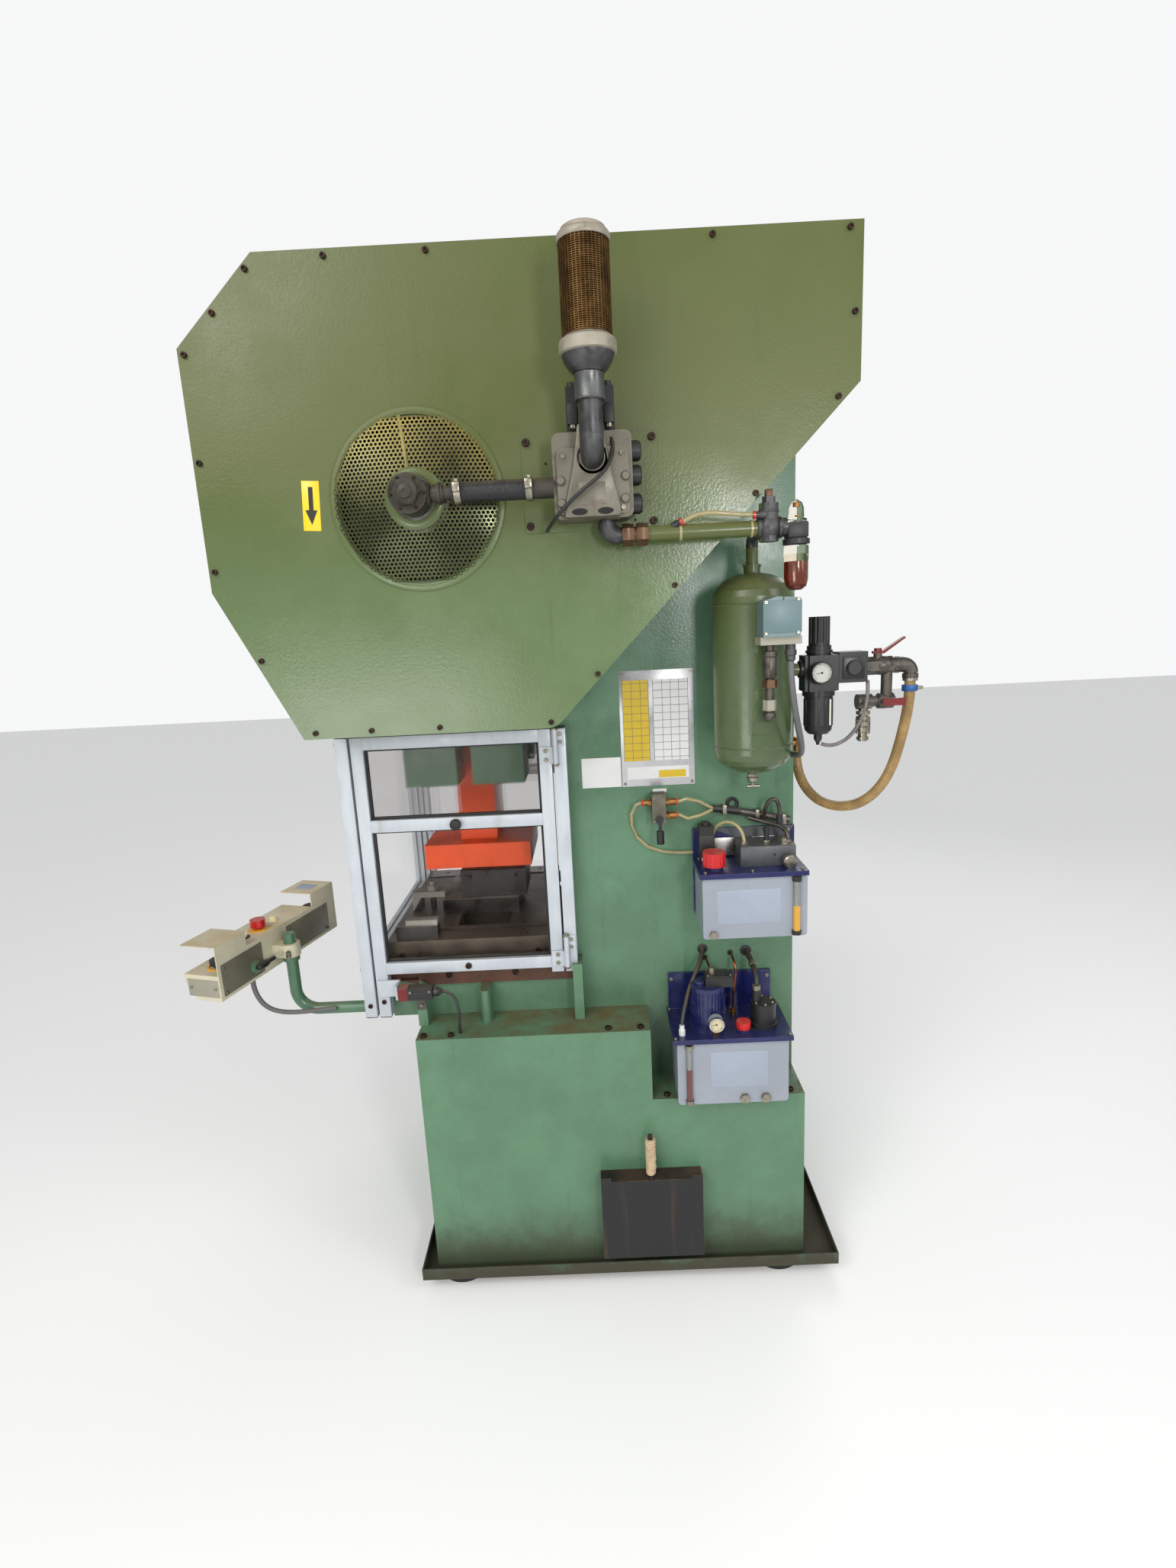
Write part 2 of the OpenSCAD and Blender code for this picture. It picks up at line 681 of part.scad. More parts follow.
// Half of a main bearing: a bronze bush in a bolted ring inside the side plate
module main_bearings() color(brass) at_origin() for (s = [-1, 1]) scale([1, s, 1]) {
  spin_y(0, bush_inner_y, crank_z) polygon([
    [journal_d / 2 + run_gap, 0], [bush_r, 0], [bush_r, frame_y - bush_inner_y],
    [bush_r + 15, frame_y - bush_inner_y], [bush_r + 15, frame_y - bush_inner_y + 8],
    [journal_d / 2 + run_gap, frame_y - bush_inner_y + 8]]);
  spin_y(0, bush_inner_y, crank_z) translate([bush_r + run_gap, 0])
    square([55, frame_y - side_t - bush_inner_y]);
}

module crankshaft() color(metal) at_origin() {
  shoulder = journal_d / 2 + 12;
  near_end = frame_y + 8;
  bar_y(-near_end, near_end + 12, 0, crank_z, journal_d / 2);
  bar_y(-bush_inner_y + run_gap, bush_inner_y - run_gap, 0, crank_z, shoulder);
  bar_y(-eccentric_w / 2, eccentric_w / 2, 0, crank_z - eccentric, eccentric_d / 2);
  bar_y(wheel_y - 30, -near_end + cut, 0, crank_z, stub_d / 2);
  bar_y(panel_y - 52, wheel_y - 29, 0, crank_z, 20);
}

module connecting_rod() color(green) at_origin() {
  w = eccentric_w / 2 - 5;
  z = crank_z - eccentric;
  difference() {
    union() {
      bar_y(-w, w, 0, z, eccentric_d / 2 + strap_wall);
      bar_z(ball_z + screw_out, z - eccentric_d / 2 - 10, 0, 0, screw_d / 2 + shank_wall);
      for (x = [-1, 1]) bar_z(z - 30, z + 30, x * (eccentric_d / 2 + strap_wall), 0, 24);
    }
    bar_y(-w - cut, w + cut, 0, z, eccentric_d / 2 + run_gap);
    bar_z(ball_z + screw_out - cut, z - eccentric_d / 2 - 30, 0, 0, screw_d / 2 + run_gap);
  }
}

module adjusting_screw() color(metal) at_origin() {
  bar_z(ball_z, crank_z - eccentric - eccentric_d / 2 - 40, 0, 0, screw_d / 2);
  translate([0, 0, ball_z]) sphere(r = ball_d / 2);
  // Lock nut under the rod's shank
  translate([0, 0, ball_z + screw_out - 30]) cylinder(h = 30, r = screw_d / 2 + 18, $fn = 6);
}

module ram() color("tomato") at_origin() difference() {
  union() {
    slab(-ram_plate_l / 2, ram_plate_l / 2, -ram_plate_w / 2, ram_plate_w / 2,
         ram_down_z, ram_down_z + ram_plate_t);
    slab(-ram_neck_l / 2, ram_neck_l / 2, -ram_neck_w / 2, ram_neck_w / 2,
         ram_down_z + ram_plate_t, ram_top - ram_block_h);
    slab(-ram_block_l / 2, ram_block_l / 2, -ram_block_w / 2, ram_block_w / 2,
         ram_top - ram_block_h, ram_top);
  }
  // Pocket that leaves the ball room to swing, and the bore for a tool's shank
  bar_z(ball_z - ball_d / 2 - eccentric * 0.25, ram_top + cut, 0, 0, pocket_r);
  bar_z(ram_down_z - cut, ram_down_z + 70, 0, 0, shank_r);
}

module clutch_and_brake() color(dark) at_origin() {
  bore = stub_d / 2;
  spin_y(0, -frame_y - 32, crank_z) polygon([
    [bore, 0], [90, 0], [90, 6], [170, 6], [170, 20], [90, 20], [90, 22], [bore, 22]]);
  difference() {
    spin_y(0, wheel_y - 31, crank_z) translate([bore, 0]) square([90, 22]);
    for (a = [0:60:300]) bar_y(wheel_y - 31 - cut, wheel_y - 22, 130 * cos(a), crank_z + 130 * sin(a), 7);
  }
}

module brake_caliper() color(dark) at_origin() difference() {
  slab(-48, 48, -frame_y - 50, -frame_y, crank_z + 128, crank_z + 196);
  bar_y(-frame_y - 28, -frame_y - 10, 0, crank_z, 174);
}

module flywheel() color(dark) at_origin() {
  r = flywheel_d / 2;
  half = flywheel_w / 2;
  difference() {
    spin_y(0, wheel_y + half, crank_z) polygon(concat(
      [[wheel_bearing_d / 2 + run_gap, -half - 5], [125, -half - 5], [125, -20], [r - rim_d, -20],
       [r - rim_d, -half], [r, -half]],
      [for (i = [0:belt_n - 1]) each belt_groove(r, (i - (belt_n - 1) / 2) * belt_pitch)],
      [[r, half], [r - rim_d, half], [r - rim_d, 20], [125, 20], [125, half + 15],
       [wheel_bearing_d / 2 + run_gap, half + 15]]));
    for (a = [30:60:330])
      bar_y(wheel_y + half - 21, wheel_y + half + 21, 230 * cos(a), crank_z + 230 * sin(a), 50);
  }
}

function belt_groove(r, y) = [[r, y - belt_w / 2 - 3], [r - 16, y - belt_w / 2 + 1],
  [r - 16, y + belt_w / 2 - 1], [r, y + belt_w / 2 + 3]];

module flywheel_bearings() color(metal) at_origin()
  for (y = [wheel_y - 5, wheel_y + flywheel_w / 2 + 30]) spin_y(0, y, crank_z)
    translate([stub_d / 2 + run_gap, 0]) square([wheel_bearing_d / 2 - stub_d / 2 - 2 * run_gap, 30]);

module motor() color(green) at_origin() {
  y0 = -frame_y + 50;
  y1 = y0 + motor_l;
  difference() {
    union() {
      upright(y0, y1) union() {
        translate([motor_x, motor_z]) circle(r = motor_d / 2 - 14);
        for (i = [0:fin_n - 1]) translate([motor_x, motor_z]) rotate(i * 360 / fin_n)
          translate([motor_d / 2 - 20, -2]) square([20, 4]);
      }
      bar_y(y0 - 24, y0, motor_x, motor_z, motor_d / 2);
      bar_y(y1, y1 + 80, motor_x, motor_z, motor_d / 2 + 3);
    }
    bar_y(y0 - 24 - cut, y0 + 150, motor_x, motor_z, motor_shaft_d / 2 + run_gap);
    for (a = [0:45:315]) bar_y(y1 + 70, y1 + 80 + cut, motor_x + 80 * cos(a), motor_z + 80 * sin(a), 14);
  }
  for (x = [-1, 1]) slab(motor_x + x * 90 - 25, motor_x + x * 90 + 25, y0 + 40, y1 - 60,
                         shelf_top, motor_z - motor_d / 3.4);
  // Terminal box on the motor's rear side
  slab(motor_x + motor_d / 2 - 22, motor_x + motor_d / 2 + 52, y0 + 100, y0 + 220,
       motor_z - 50, motor_z + 50);
}

module motor_pulley() color(dark) at_origin() {
  r = pulley_d / 2;
  half = flywheel_w / 2;
  spin_y(motor_x, wheel_y + half, motor_z) polygon(concat(
    [[0, -half], [r, -half]],
    [for (i = [0:belt_n - 1]) each belt_groove(r, (i - (belt_n - 1) / 2) * belt_pitch)],
    [[r, half], [45, half], [45, half + 20], [motor_shaft_d / 2, half + 20],
     [motor_shaft_d / 2, -frame_y + 50 + 140 - wheel_y - half], [0, -frame_y + 50 + 140 - wheel_y - half]]));
}

// Outline of a belt round two wheels: circles joined by their common tangents
module belt_loop(r1, r2) {
  d = [motor_x, motor_z - crank_z];
  a = atan2(d[1], d[0]);
  b = acos((r1 - r2) / norm(d));
  translate([0, crank_z]) {
    circle(r = r1);
    translate(d) circle(r = r2);
    polygon([[r1 * cos(a + b), r1 * sin(a + b)], [d[0] + r2 * cos(a + b), d[1] + r2 * sin(a + b)],
             [d[0] + r2 * cos(a - b), d[1] + r2 * sin(a - b)], [r1 * cos(a - b), r1 * sin(a - b)]]);
  }
}

module v_belts() color(black) at_origin() for (i = [0:belt_n - 1]) {
  y = wheel_y + flywheel_w / 2 + (i - (belt_n - 1) / 2) * belt_pitch;
  low = 11;
  upright(y - belt_w / 2, y + belt_w / 2) difference() {
    belt_loop(flywheel_d / 2 - low + belt_t, pulley_d / 2 - low + belt_t);
    belt_loop(flywheel_d / 2 - low, pulley_d / 2 - low);
  }
}

module upper_die() color(brass) at_origin() {
  bar_z(ram_down_z - 30, ram_down_z + 60, 0, 0, shank_r - run_gap);
  p = upper_die_plan;
  slab(p[0], p[1], p[2], p[3], lower_die_top + die_gap, ram_down_z - 24);
}

module lower_tooling() color(metal) at_origin() {
  p = lower_die_plan;
  slab(p[0], p[1], p[2], p[3], bolster_top, lower_die_top);
  // Strap clamp with its stud and nut, before the die
  slab(-205, -112, -80, -40, lower_die_top, lower_die_top + 16);
  slab(-205, -180, -80, -40, bolster_top, lower_die_top);
  bar_z(bolster_top, lower_die_top + 42, -150, -60, 8);
  translate([-150, -60, lower_die_top + 16]) cylinder(h = 14, r = 15, $fn = 6);
  // Step block and strap at the near side
  slab(-205, -98, -276, -240, bolster_top, bolster_top + 34);
  slab(-180, -98, -270, -246, bolster_top + 34, bolster_top + 48);
}

module guard_outline() polygon([
  [-guard_front, guard_nose_z], [-guard_front, guard_top_z - guard_chamfer[1]],
  [-guard_front + guard_chamfer[0], guard_top_z], [guard_rear, guard_top_z],
  [guard_rear, guard_slope_z], each guard_corner, [-guard_toe, guard_low_z]]);

module guard_rim() color(green) at_origin() {
  difference() {
    upright(guard_y0, -frame_y) guard_outline();
    upright(guard_y0 + guard_t, -frame_y - guard_t) offset(delta = -guard_t) guard_outline();
    upright(guard_y0 - cut, guard_y0 + guard_t + cut) offset(delta = -lip_w) guard_outline();
    // Openings in the back sheet for the brake and the motor's shaft
    bar_y(-frame_y - guard_t - cut, -frame_y + cut, 0, crank_z, 212);
    bar_y(-frame_y - guard_t - cut, -frame_y + cut, motor_x, motor_z, 70);
  }
}

module guard_panel() color(green) at_origin() difference() {
  upright(panel_y, guard_y0) guard_outline();
  bar_y(panel_y - cut, guard_y0 + cut, 0, crank_z, vent_d / 2 - 20);
  for (p = screw_places) bar_y(panel_y - cut, guard_y0 + cut, p[0], p[1], 3.5);
}

// Perforated cone over the clutch, bolted to the panel by its flat edge
module vent_cone() color(green) at_origin() {
  r1 = vent_d / 2;
  r0 = r1 - 12;
  difference() {
    spin_y(0, panel_y, crank_z) polygon([
      [r1, 0], [r1, -2], [r0, -2], [vent_hole_d / 2 + 14, -vent_rise - 2],
      [vent_hole_d / 2 + 14, -vent_rise - 8], [vent_hole_d / 2, -vent_rise - 8],
      [vent_hole_d / 2, -vent_rise], [vent_hole_d / 2 + 14, -vent_rise], [r0, 0]]);
    for (k = [0:vent_rings - 1]) {
      ring = vent_hole_d / 2 + 30 + k * 18.5;
      count = 16 + 4 * k;
      for (i = [0:count - 1]) {
        a = (i + 0.5 * (k % 2)) * 360 / count;
        bar_y(panel_y - vent_rise - 10, panel_y + cut, ring * cos(a), crank_z + ring * sin(a),
              vent_d_small / 2);
      }
    }
  }
}

module rotary_union() color(dark) at_origin() {
  difference() {
    union() {
      bar_y(union_y + 12, panel_y - 38, 0, crank_z, 37);
      translate([0, union_y + 12, crank_z]) rotate([90, 0, 0]) cylinder(h = 14, r = 26, $fn = 6);
      bar_y(panel_y - 39, panel_y - 34, 0, crank_z, 30);
    }
    bar_y(panel_y - 60, panel_y - 30, 0, crank_z, 20 + run_gap);
  }
  for (x = [36, 48, 60]) bar_x(x - 3, x + 4, hose_y, crank_z, 17);
  bar_x(30, 120, hose_y, crank_z, spigot_r);
  // Spigot and nut on the valve, then the two clamps round the hose
  bar_x(200, valve_x, hose_y, crank_z, spigot_r);
  bar_x(hose_x[1], valve_x, hose_y, crank_z, clutch_hose_d / 2);
  for (x = clamp_x) difference() {
    bar_x(x, x + 12, hose_y, crank_z, clutch_hose_d / 2 + 3);
    bar_x(x - cut, x + 12 + cut, hose_y, crank_z, clutch_hose_d / 2);
  }
}

module union_hose() color(black) at_origin() difference() {
  bar_x(hose_x[0], hose_x[1], hose_y, crank_z, clutch_hose_d / 2);
  bar_x(hose_x[0] - cut, hose_x[1] + cut, hose_y, crank_z, spigot_r);
}

module valve_plate() color(green) at_origin() difference() {
  slab(valve_plate_x, valve_plate_x + valve_plate_l, panel_y - guard_t, panel_y,
       valve_plate_z, valve_plate_z + valve_plate_h);
  for (x = [11, valve_plate_l - 11]) for (z = [13, valve_plate_h - 11])
    bar_y(panel_y - guard_t - cut, panel_y + cut, valve_plate_x + x, valve_plate_z + z, 4.5);
}

// Cast valve body with ports, side caps and two coils
module air_valve() color(metal) at_origin() {
  y1 = panel_y - guard_t;
  difference() {
    union() {
      upright(valve_y + 12, y1) rounded(valve_x, valve_x + valve_l, valve_z, valve_z + valve_h, 14);
      upright(valve_y, valve_y + 12)
        rounded(valve_x + 8, valve_x + valve_l - 8, valve_z + 6, valve_z + valve_h - 30, 12);
    }
    for (x = [0.28, 0.72]) translate([valve_x + valve_l * x, valve_y + 30, valve_z - cut])
      linear_extrude(9) { translate([-12, -9]) square([24, 18]); translate([-12, 0]) circle(9);
                          translate([12, 0]) circle(9); }
  }
  for (z = [26, 78, 122]) bar_x(valve_x + valve_l, valve_x + valve_l + 14, valve_y + 40, valve_z + z, 19);
  for (x = [30, 99]) slab(valve_x + x, valve_x + x + 22, valve_y + 34, valve_y + 66,
                          valve_z + valve_h, valve_z + valve_h + 84);
}

module rounded(x0, x1, z0, z1, r) {
  translate([x0 + r, z0]) square([x1 - x0 - 2 * r, z1 - z0]);
  translate([x0, z0 + r]) square([x1 - x0, z1 - z0 - 2 * r]);
  for (x = [x0 + r, x1 - r]) for (z = [z0 + r, z1 - r]) translate([x, z]) circle(r = r);
}

// Exhaust elbow with the silencer on top
module silencer() color("peru") at_origin() {
  bend = 30;
  z0 = valve_z + 105;
  z1 = valve_z + 245;
  z2 = z1 + 52;
  r = silencer_d / 2;
  bar_y(exhaust_y + bend, valve_y, exhaust_x, z0, exhaust_d / 2);
  translate([exhaust_x, exhaust_y + bend, z0 + bend]) rotate([0, 90, 0])
    rotate_extrude(angle = -90) translate([bend, 0]) circle(r = exhaust_d / 2);
  bar_z(z0 + bend, z1, exhaust_x, exhaust_y, exhaust_d / 2);
  bar_z(z1 - 34, z1 - 4, exhaust_x, exhaust_y, exhaust_d / 2 + 6);
  translate([exhaust_x, exhaust_y, 0]) rotate_extrude() polygon(concat(
    [[0, z1 - 6], [r - 16, z1 - 6], [r - 4, z1 + 8], [r + 5, z1 + 26], [r + 5, z1 + 44], [r - 3, z2]],
    [for (i = [0:silencer_ribs - 1]) each let (z = z2 + (i + 0.5) * silencer_h / silencer_ribs,
      h = silencer_h / silencer_ribs / 4) [[r - 3, z - h], [r, z - h], [r, z + h], [r - 3, z + h]]],
    [[r - 3, z2 + silencer_h], [r + 3, z2 + silencer_h], [r + 3, z2 + silencer_h + 14],
     [r - 8, z2 + silencer_h + 20], [0, z2 + silencer_h + 20]]));
}

// Main air line from the valve to the cross over the tank
module air_line() color(green) at_origin() {
  r = pipe_d / 2;
  x0 = valve_x + 98;
  bend = 24;
  bar_z(line_z + bend, valve_z, x0, line_y, r);
  translate([x0 + bend, line_y, line_z + bend]) rotate([90, 180, 0])
    rotate_extrude(angle = 90) translate([bend, 0]) circle(r = r + 3);
  bar_x(x0 + bend, tank_x, line_y, line_z, r);
  for (x = [x0 + bend + 6, x0 + bend + 34]) translate([x, line_y, line_z]) rotate([0, 90, 0])
    cylinder(h = 22, r = r + 6, $fn = 6);
  bar_z(line_z - 26, line_z + 46, tank_x, line_y, r + 4);
  translate([tank_x, line_y, line_z + 46]) cylinder(h = 12, r = 13, $fn = 6);
  bar_x(tank_x + 10, lubricator_x - port_reach, line_y, line_z, r - 2);
  bar_x(tank_x + 22, lubricator_x - port_reach, line_y, line_z, r + 3);
  // Branch back and down to the tank's neck
  bar_y(line_y, tank_y - bend, tank_x, line_z, r - 2);
  translate([tank_x, tank_y - bend, line_z - bend]) rotate([90, 0, 90])
    rotate_extrude(angle = 90) translate([bend, 0]) circle(r = r - 2);
  bar_z(tank_z + tank_h + 14, line_z - bend, tank_x, tank_y, r - 2);
}

module lubricator() color(black) at_origin() translate([lubricator_x, line_y, line_z]) {
  translate([-port_reach, -17, -26]) cube([2 * port_reach, 34, 36]);
  rotate_extrude() polygon([[0, -120], [10, -119], [18, -114], [22, -104], [22, -34], [19, -26],
    [19, 10], [13, 10], [13, 36], [9, 46], [0, 49]]);
}

// Points of a dome's arc in a revolved outline
function dome(r, z0, h) = [for (a = [0:15:90]) [r * cos(a), z0 + h * sin(a)]];

module air_tank() color(green) at_origin() translate([tank_x, tank_y, tank_z]) {
  r = tank_d / 2;
  rotate_extrude() polygon(concat([for (p = dome(r, tank_dome, -tank_dome)) p], [[0, tank_dome]]));
  rotate_extrude() polygon([[0, tank_dome], [r, tank_dome], [r, tank_dome + 12], [r + 2, tank_dome + 15],
    [r, tank_dome + 18], [r, tank_h - tank_dome - 18], [r + 2, tank_h - tank_dome - 15],
    [r, tank_h - tank_dome - 12], [r, tank_h - tank_dome], [0, tank_h - tank_dome]]);
  rotate_extrude() polygon(concat(dome(r, tank_h - tank_dome, tank_dome), [[0, tank_h - tank_dome]]));
  bar_z(tank_h - 4, tank_h + 14, 0, 0, 18);
  // Bosses for the pressure switch and the regulator
  bar_y(-r - 10, -r + 20, 10, 144, 14);
  bar_x(r - 40, r + 6, regulator_y - tank_y, port_z - tank_z, 14);
  // Drain cock's body, hollow for the tap's stem
  difference() {
    bar_z(-24, 4, 0, 0, 10);
    bar_z(-24 - cut, -8, 0, 0, 4 + run_gap);
  }
  // Brackets back to the frame
  for (z = [tank_h * 0.27, tank_h * 0.73]) difference() {
    slab(-34, 34, r - 30, tank_out, z - 15, z + 15);
    bar_z(z - 16, z + 16, 0, 0, r - 10);
  }
}

module drain_tap() color(metal) at_origin() {
  z = tank_z - 24;
  bar_z(z - 10, z + 14, tank_x, tank_y, 4);
  bar_x(tank_x - 15, tank_x + 15, tank_y, z - 9, 3.5);
}

// Pressure switch on its nipple in front of the tank
module pressure_switch() color("lightsteelblue") at_origin() {
  x = tank_x + 10;
  y = tank_y - tank_d / 2 - 36;
  z = tank_z + tank_h - switch_drop;
  bar_y(y, tank_y - tank_d / 2 - 10, x, z, 9);
  translate([x, y, z]) sphere(r = 13);
  bar_z(z, z + 150, x, y, 9);
  translate([x, y, z + 12]) cylinder(h = 22, r = 14, $fn = 6);
  translate([x, y, z + 60]) cylinder(h = 16, r = 16, $fn = 6);
  slab(x - 24, x + 60, y - 26, y + 30, z + 148, z + 164);
  upright(y - 34, y + 28) polygon([[x - 20, z + 164], [x + 55, z + 164], [x + 55, z + 240],
    [x + 8, z + 244], [x - 20, z + 236]]);
  bar_z(z + 120, z + 148, x + 42, y - 6, 10);
}

// Filter regulator with its gauge, bowl and side fitting
module filter_regulator() color(black) at_origin() {
  w = regulator_w / 2;
  translate([regulator_x, regulator_y, 0]) {
    difference() {
      union() {
        translate([-w + 8, -w + 4, port_z - 48]) cube([2 * w - 16, 2 * w - 8, 78]);
        translate([-w, -w + 12, port_z - 48]) cube([2 * w, 2 * w - 24, 78]);
        bar_z(port_z + 30, port_z + 50, 0, 0, 26);
      }
      bar_z(port_z + 40, port_z + 60, 0, 0, 12 + run_gap);
    }
    translate([0, 0, port_z - 48 - 96]) rotate_extrude() polygon([[0, -14], [9, -14], [9, 0],
      [bowl_d / 2 - 9, 0], [bowl_d / 2 - 2, 8], [bowl_d / 2, 20], [bowl_d / 2, 96], [0, 96]]);
    // Gauge on the front and its white sight strip's guard
    bar_y(-w - 12, -w + 6, -8, port_z - 6, 23);
  }
  bar_x(tank_x + tank_d / 2 + 6, regulator_x - w, regulator_y, port_z, 12);
  translate([tank_x + tank_d / 2 + 12, regulator_y, port_z]) rotate([0, 90, 0])
    cylinder(h = 14, r = 16, $fn = 6);
}

module regulator_knob() color(black) at_origin() translate([regulator_x, regulator_y, port_z]) {
  bar_z(41, 51, 0, 0, 12);
  difference() {
    bar_z(50 + seat, 112, 0, 0, knob_d / 2);
    for (a = [0:30:330]) bar_z(56, 112 + cut, (knob_d / 2 + 2) * cos(a), (knob_d / 2 + 2) * sin(a), 4);
  }
}

// Pipework from the supply hose to the regulator, with a lower branch
module inlet_pipework() color(metal) at_origin() translate([0, regulator_y, 0]) {
  x0 = regulator_x + regulator_w / 2;
  bend = 18;
  slab(x0, x0 + 62, -26, 26, port_z - 32, port_z + 34);
  bar_x(x0 + 62, elbow_x - bend, 0, port_z, 12);
  translate([x0 + 68, 0, port_z]) rotate([0, 90, 0]) cylinder(h = 56, r = 20, $fn = 6);
  bar_z(port_z, port_z + 26, valve_a_x, 0, 9);
  bar_x(elbow_x - bend - 34, elbow_x - bend, 0, port_z, 17);
  translate([elbow_x - bend, 0, port_z - bend]) rotate([90, 0, 0])
    rotate_extrude(angle = 90) translate([bend, 0]) circle(r = 16);
  bar_z(hose_top, port_z - bend, elbow_x, 0, 13);
  bar_z(hose_top + 4, hose_top + 14, elbow_x, 0, 17);
  // Lower branch: down, then forward through the second valve to the coupler
  bar_z(branch_z, port_z, branch_x, 0, 12);
  bar_x(coupler_x, branch_x, 0, branch_z, 12);
  translate([branch_x - 20, 0, branch_z]) rotate([0, 90, 0]) cylinder(h = 36, r = 17, $fn = 6);
  bar_y(-26, 0, branch_x - 8, branch_z, 7);
  bar_x(coupler_x - 15, coupler_x + 17, 0, branch_z, 17);
  translate([coupler_x, 0, branch_z]) {
    bar_z(-88, 0, 0, 0, 10);
    for (z = [-60, -48, -36, -24]) bar_z(z - 4, z + 4, 0, 0, 15);
  }
  // Fitting on the column's rear plate, for the hose's far end
  translate([0, hose_end[1] - regulator_y, 0]) {
    bar_z(hose_end[2], hose_end[2] + 34, hose_end[0], 0, 13);
    bar_x(column_rear, hose_end[0], 0, hose_end[2] + 20, 12);
    translate([column_rear, 0, hose_end[2] + 20]) rotate([0, 90, 0]) cylinder(h = 8, r = 19, $fn = 6);
  }
}

module upper_valve_lever() color("firebrick") at_origin() {
  upright(regulator_y - 7, regulator_y + 7) polygon([
    [valve_a_x - 11, port_z + 26 + seat], [valve_a_x + 12, port_z + 26 + seat],
    [valve_a_x + 58, port_z + 58], [valve_a_x + 56, port_z + 61],
    [valve_a_x + 10, port_z + 32], [valve_a_x - 11, port_z + 32]]);
  bar_z(port_z + 26 + seat, port_z + 38, valve_a_x, regulator_y, 8);
}

module lower_valve_lever() color("firebrick") at_origin() {
  y = regulator_y - 26 - seat;
  upright(y - 4, y) {
    translate([branch_x - 8, branch_z]) circle(r = 9);
    polygon([[branch_x - 14, branch_z - 7], [branch_x + 32, branch_z - 9],
             [branch_x + 34, branch_z + 8], [branch_x - 14, branch_z + 7]]);
  }
}

// Supply hose, from the elbow down and round to the fitting behind the column
hose_points = [[elbow_x, regulator_y, hose_top], [elbow_x, regulator_y, hose_top - 28],
  [1033, -422, 1460], [1029, -416, 1420], [1022, -408, 1375], [1008, -398, 1330], [990, -388, 1292],
  [967, -372, 1255], [943, -356, 1229], [916, -338, 1215], [890, -318, 1218], [866, -295, 1236],
  [847, -268, 1266], [839, -243, 1298], [836, -230, 1321], hose_end - [0, 0, 12], hose_end];

// A round tube of n sides swept along points
function along(p, i) = let (a = p[max(i - 1, 0)], b = p[min(i + 1, len(p) - 1)]) (b - a) / norm(b - a);
function square_to(t) = let (s = abs(t[2]) > 0.9 ? [0, 1, 0] : [0, 0, 1], c = cross(t, s)) c / norm(c);
module tube(p, r, n = 10) {
  rings = len(p);
  points = [for (i = [0:rings - 1]) let (t = along(p, i), u = square_to(t), v = cross(t, u))
    for (k = [0:n - 1]) p[i] + r * (cos(k * 360 / n) * u + sin(k * 360 / n) * v)];
  sides = [for (i = [0:rings - 2]) for (k = [0:n - 1])
    [i * n + k, i * n + (k + 1) % n, (i + 1) * n + (k + 1) % n, (i + 1) * n + k]];
  ends = [[for (k = [n - 1:-1:0]) k], [for (k = [0:n - 1]) (rings - 1) * n + k]];
  polyhedron(points, concat(sides, ends));
}

module supply_hose() color("khaki") at_origin() tube(hose_points, hose_d / 2);

// Electric grease unit beside the column: tank, lid, pump block and back plate
module upper_lube_unit() color("whitesmoke") at_origin() {
  x1 = upper_tank_x + upper_tank_l;
  z1 = upper_tank_z + upper_tank_h;
  y1 = -frame_y - lid_t;
  upright(upper_y, y1) rounded(upper_tank_x, x1, upper_tank_z, z1, 8);
  slab(upper_tank_x - 6, x1 + 2, upper_y - 6, y1, z1, z1 + lid_t);
  slab(upper_tank_x - 4, x1 + 2, y1, -frame_y, upper_tank_z + 20, z1 + 85);
  bar_z(z1 + lid_t, z1 + lid_t + 8, upper_tank_x + 34, upper_y + 40, 18);
  slab(upper_tank_x + 8, upper_tank_x + 42, y1 - 40, y1, z1 + lid_t, z1 + lid_t + 88);
  slab(upper_tank_x + 98, x1 - 18, upper_y + 40, y1, z1 + lid_t, z1 + lid_t + 50);
  translate([x1 - 42, upper_y + 62, z1 + lid_t + 50]) cylinder(h = 12, r = 11, $fn = 6);
  bar_z(upper_tank_z + 10, z1 - 4, x1 - 26, upper_y - 4, 8);
  translate([upper_tank_x + 24, upper_y, upper_tank_z + 12]) rotate([90, 0, 0])
    cylinder(h = 9, r = 10, $fn = 6);
}

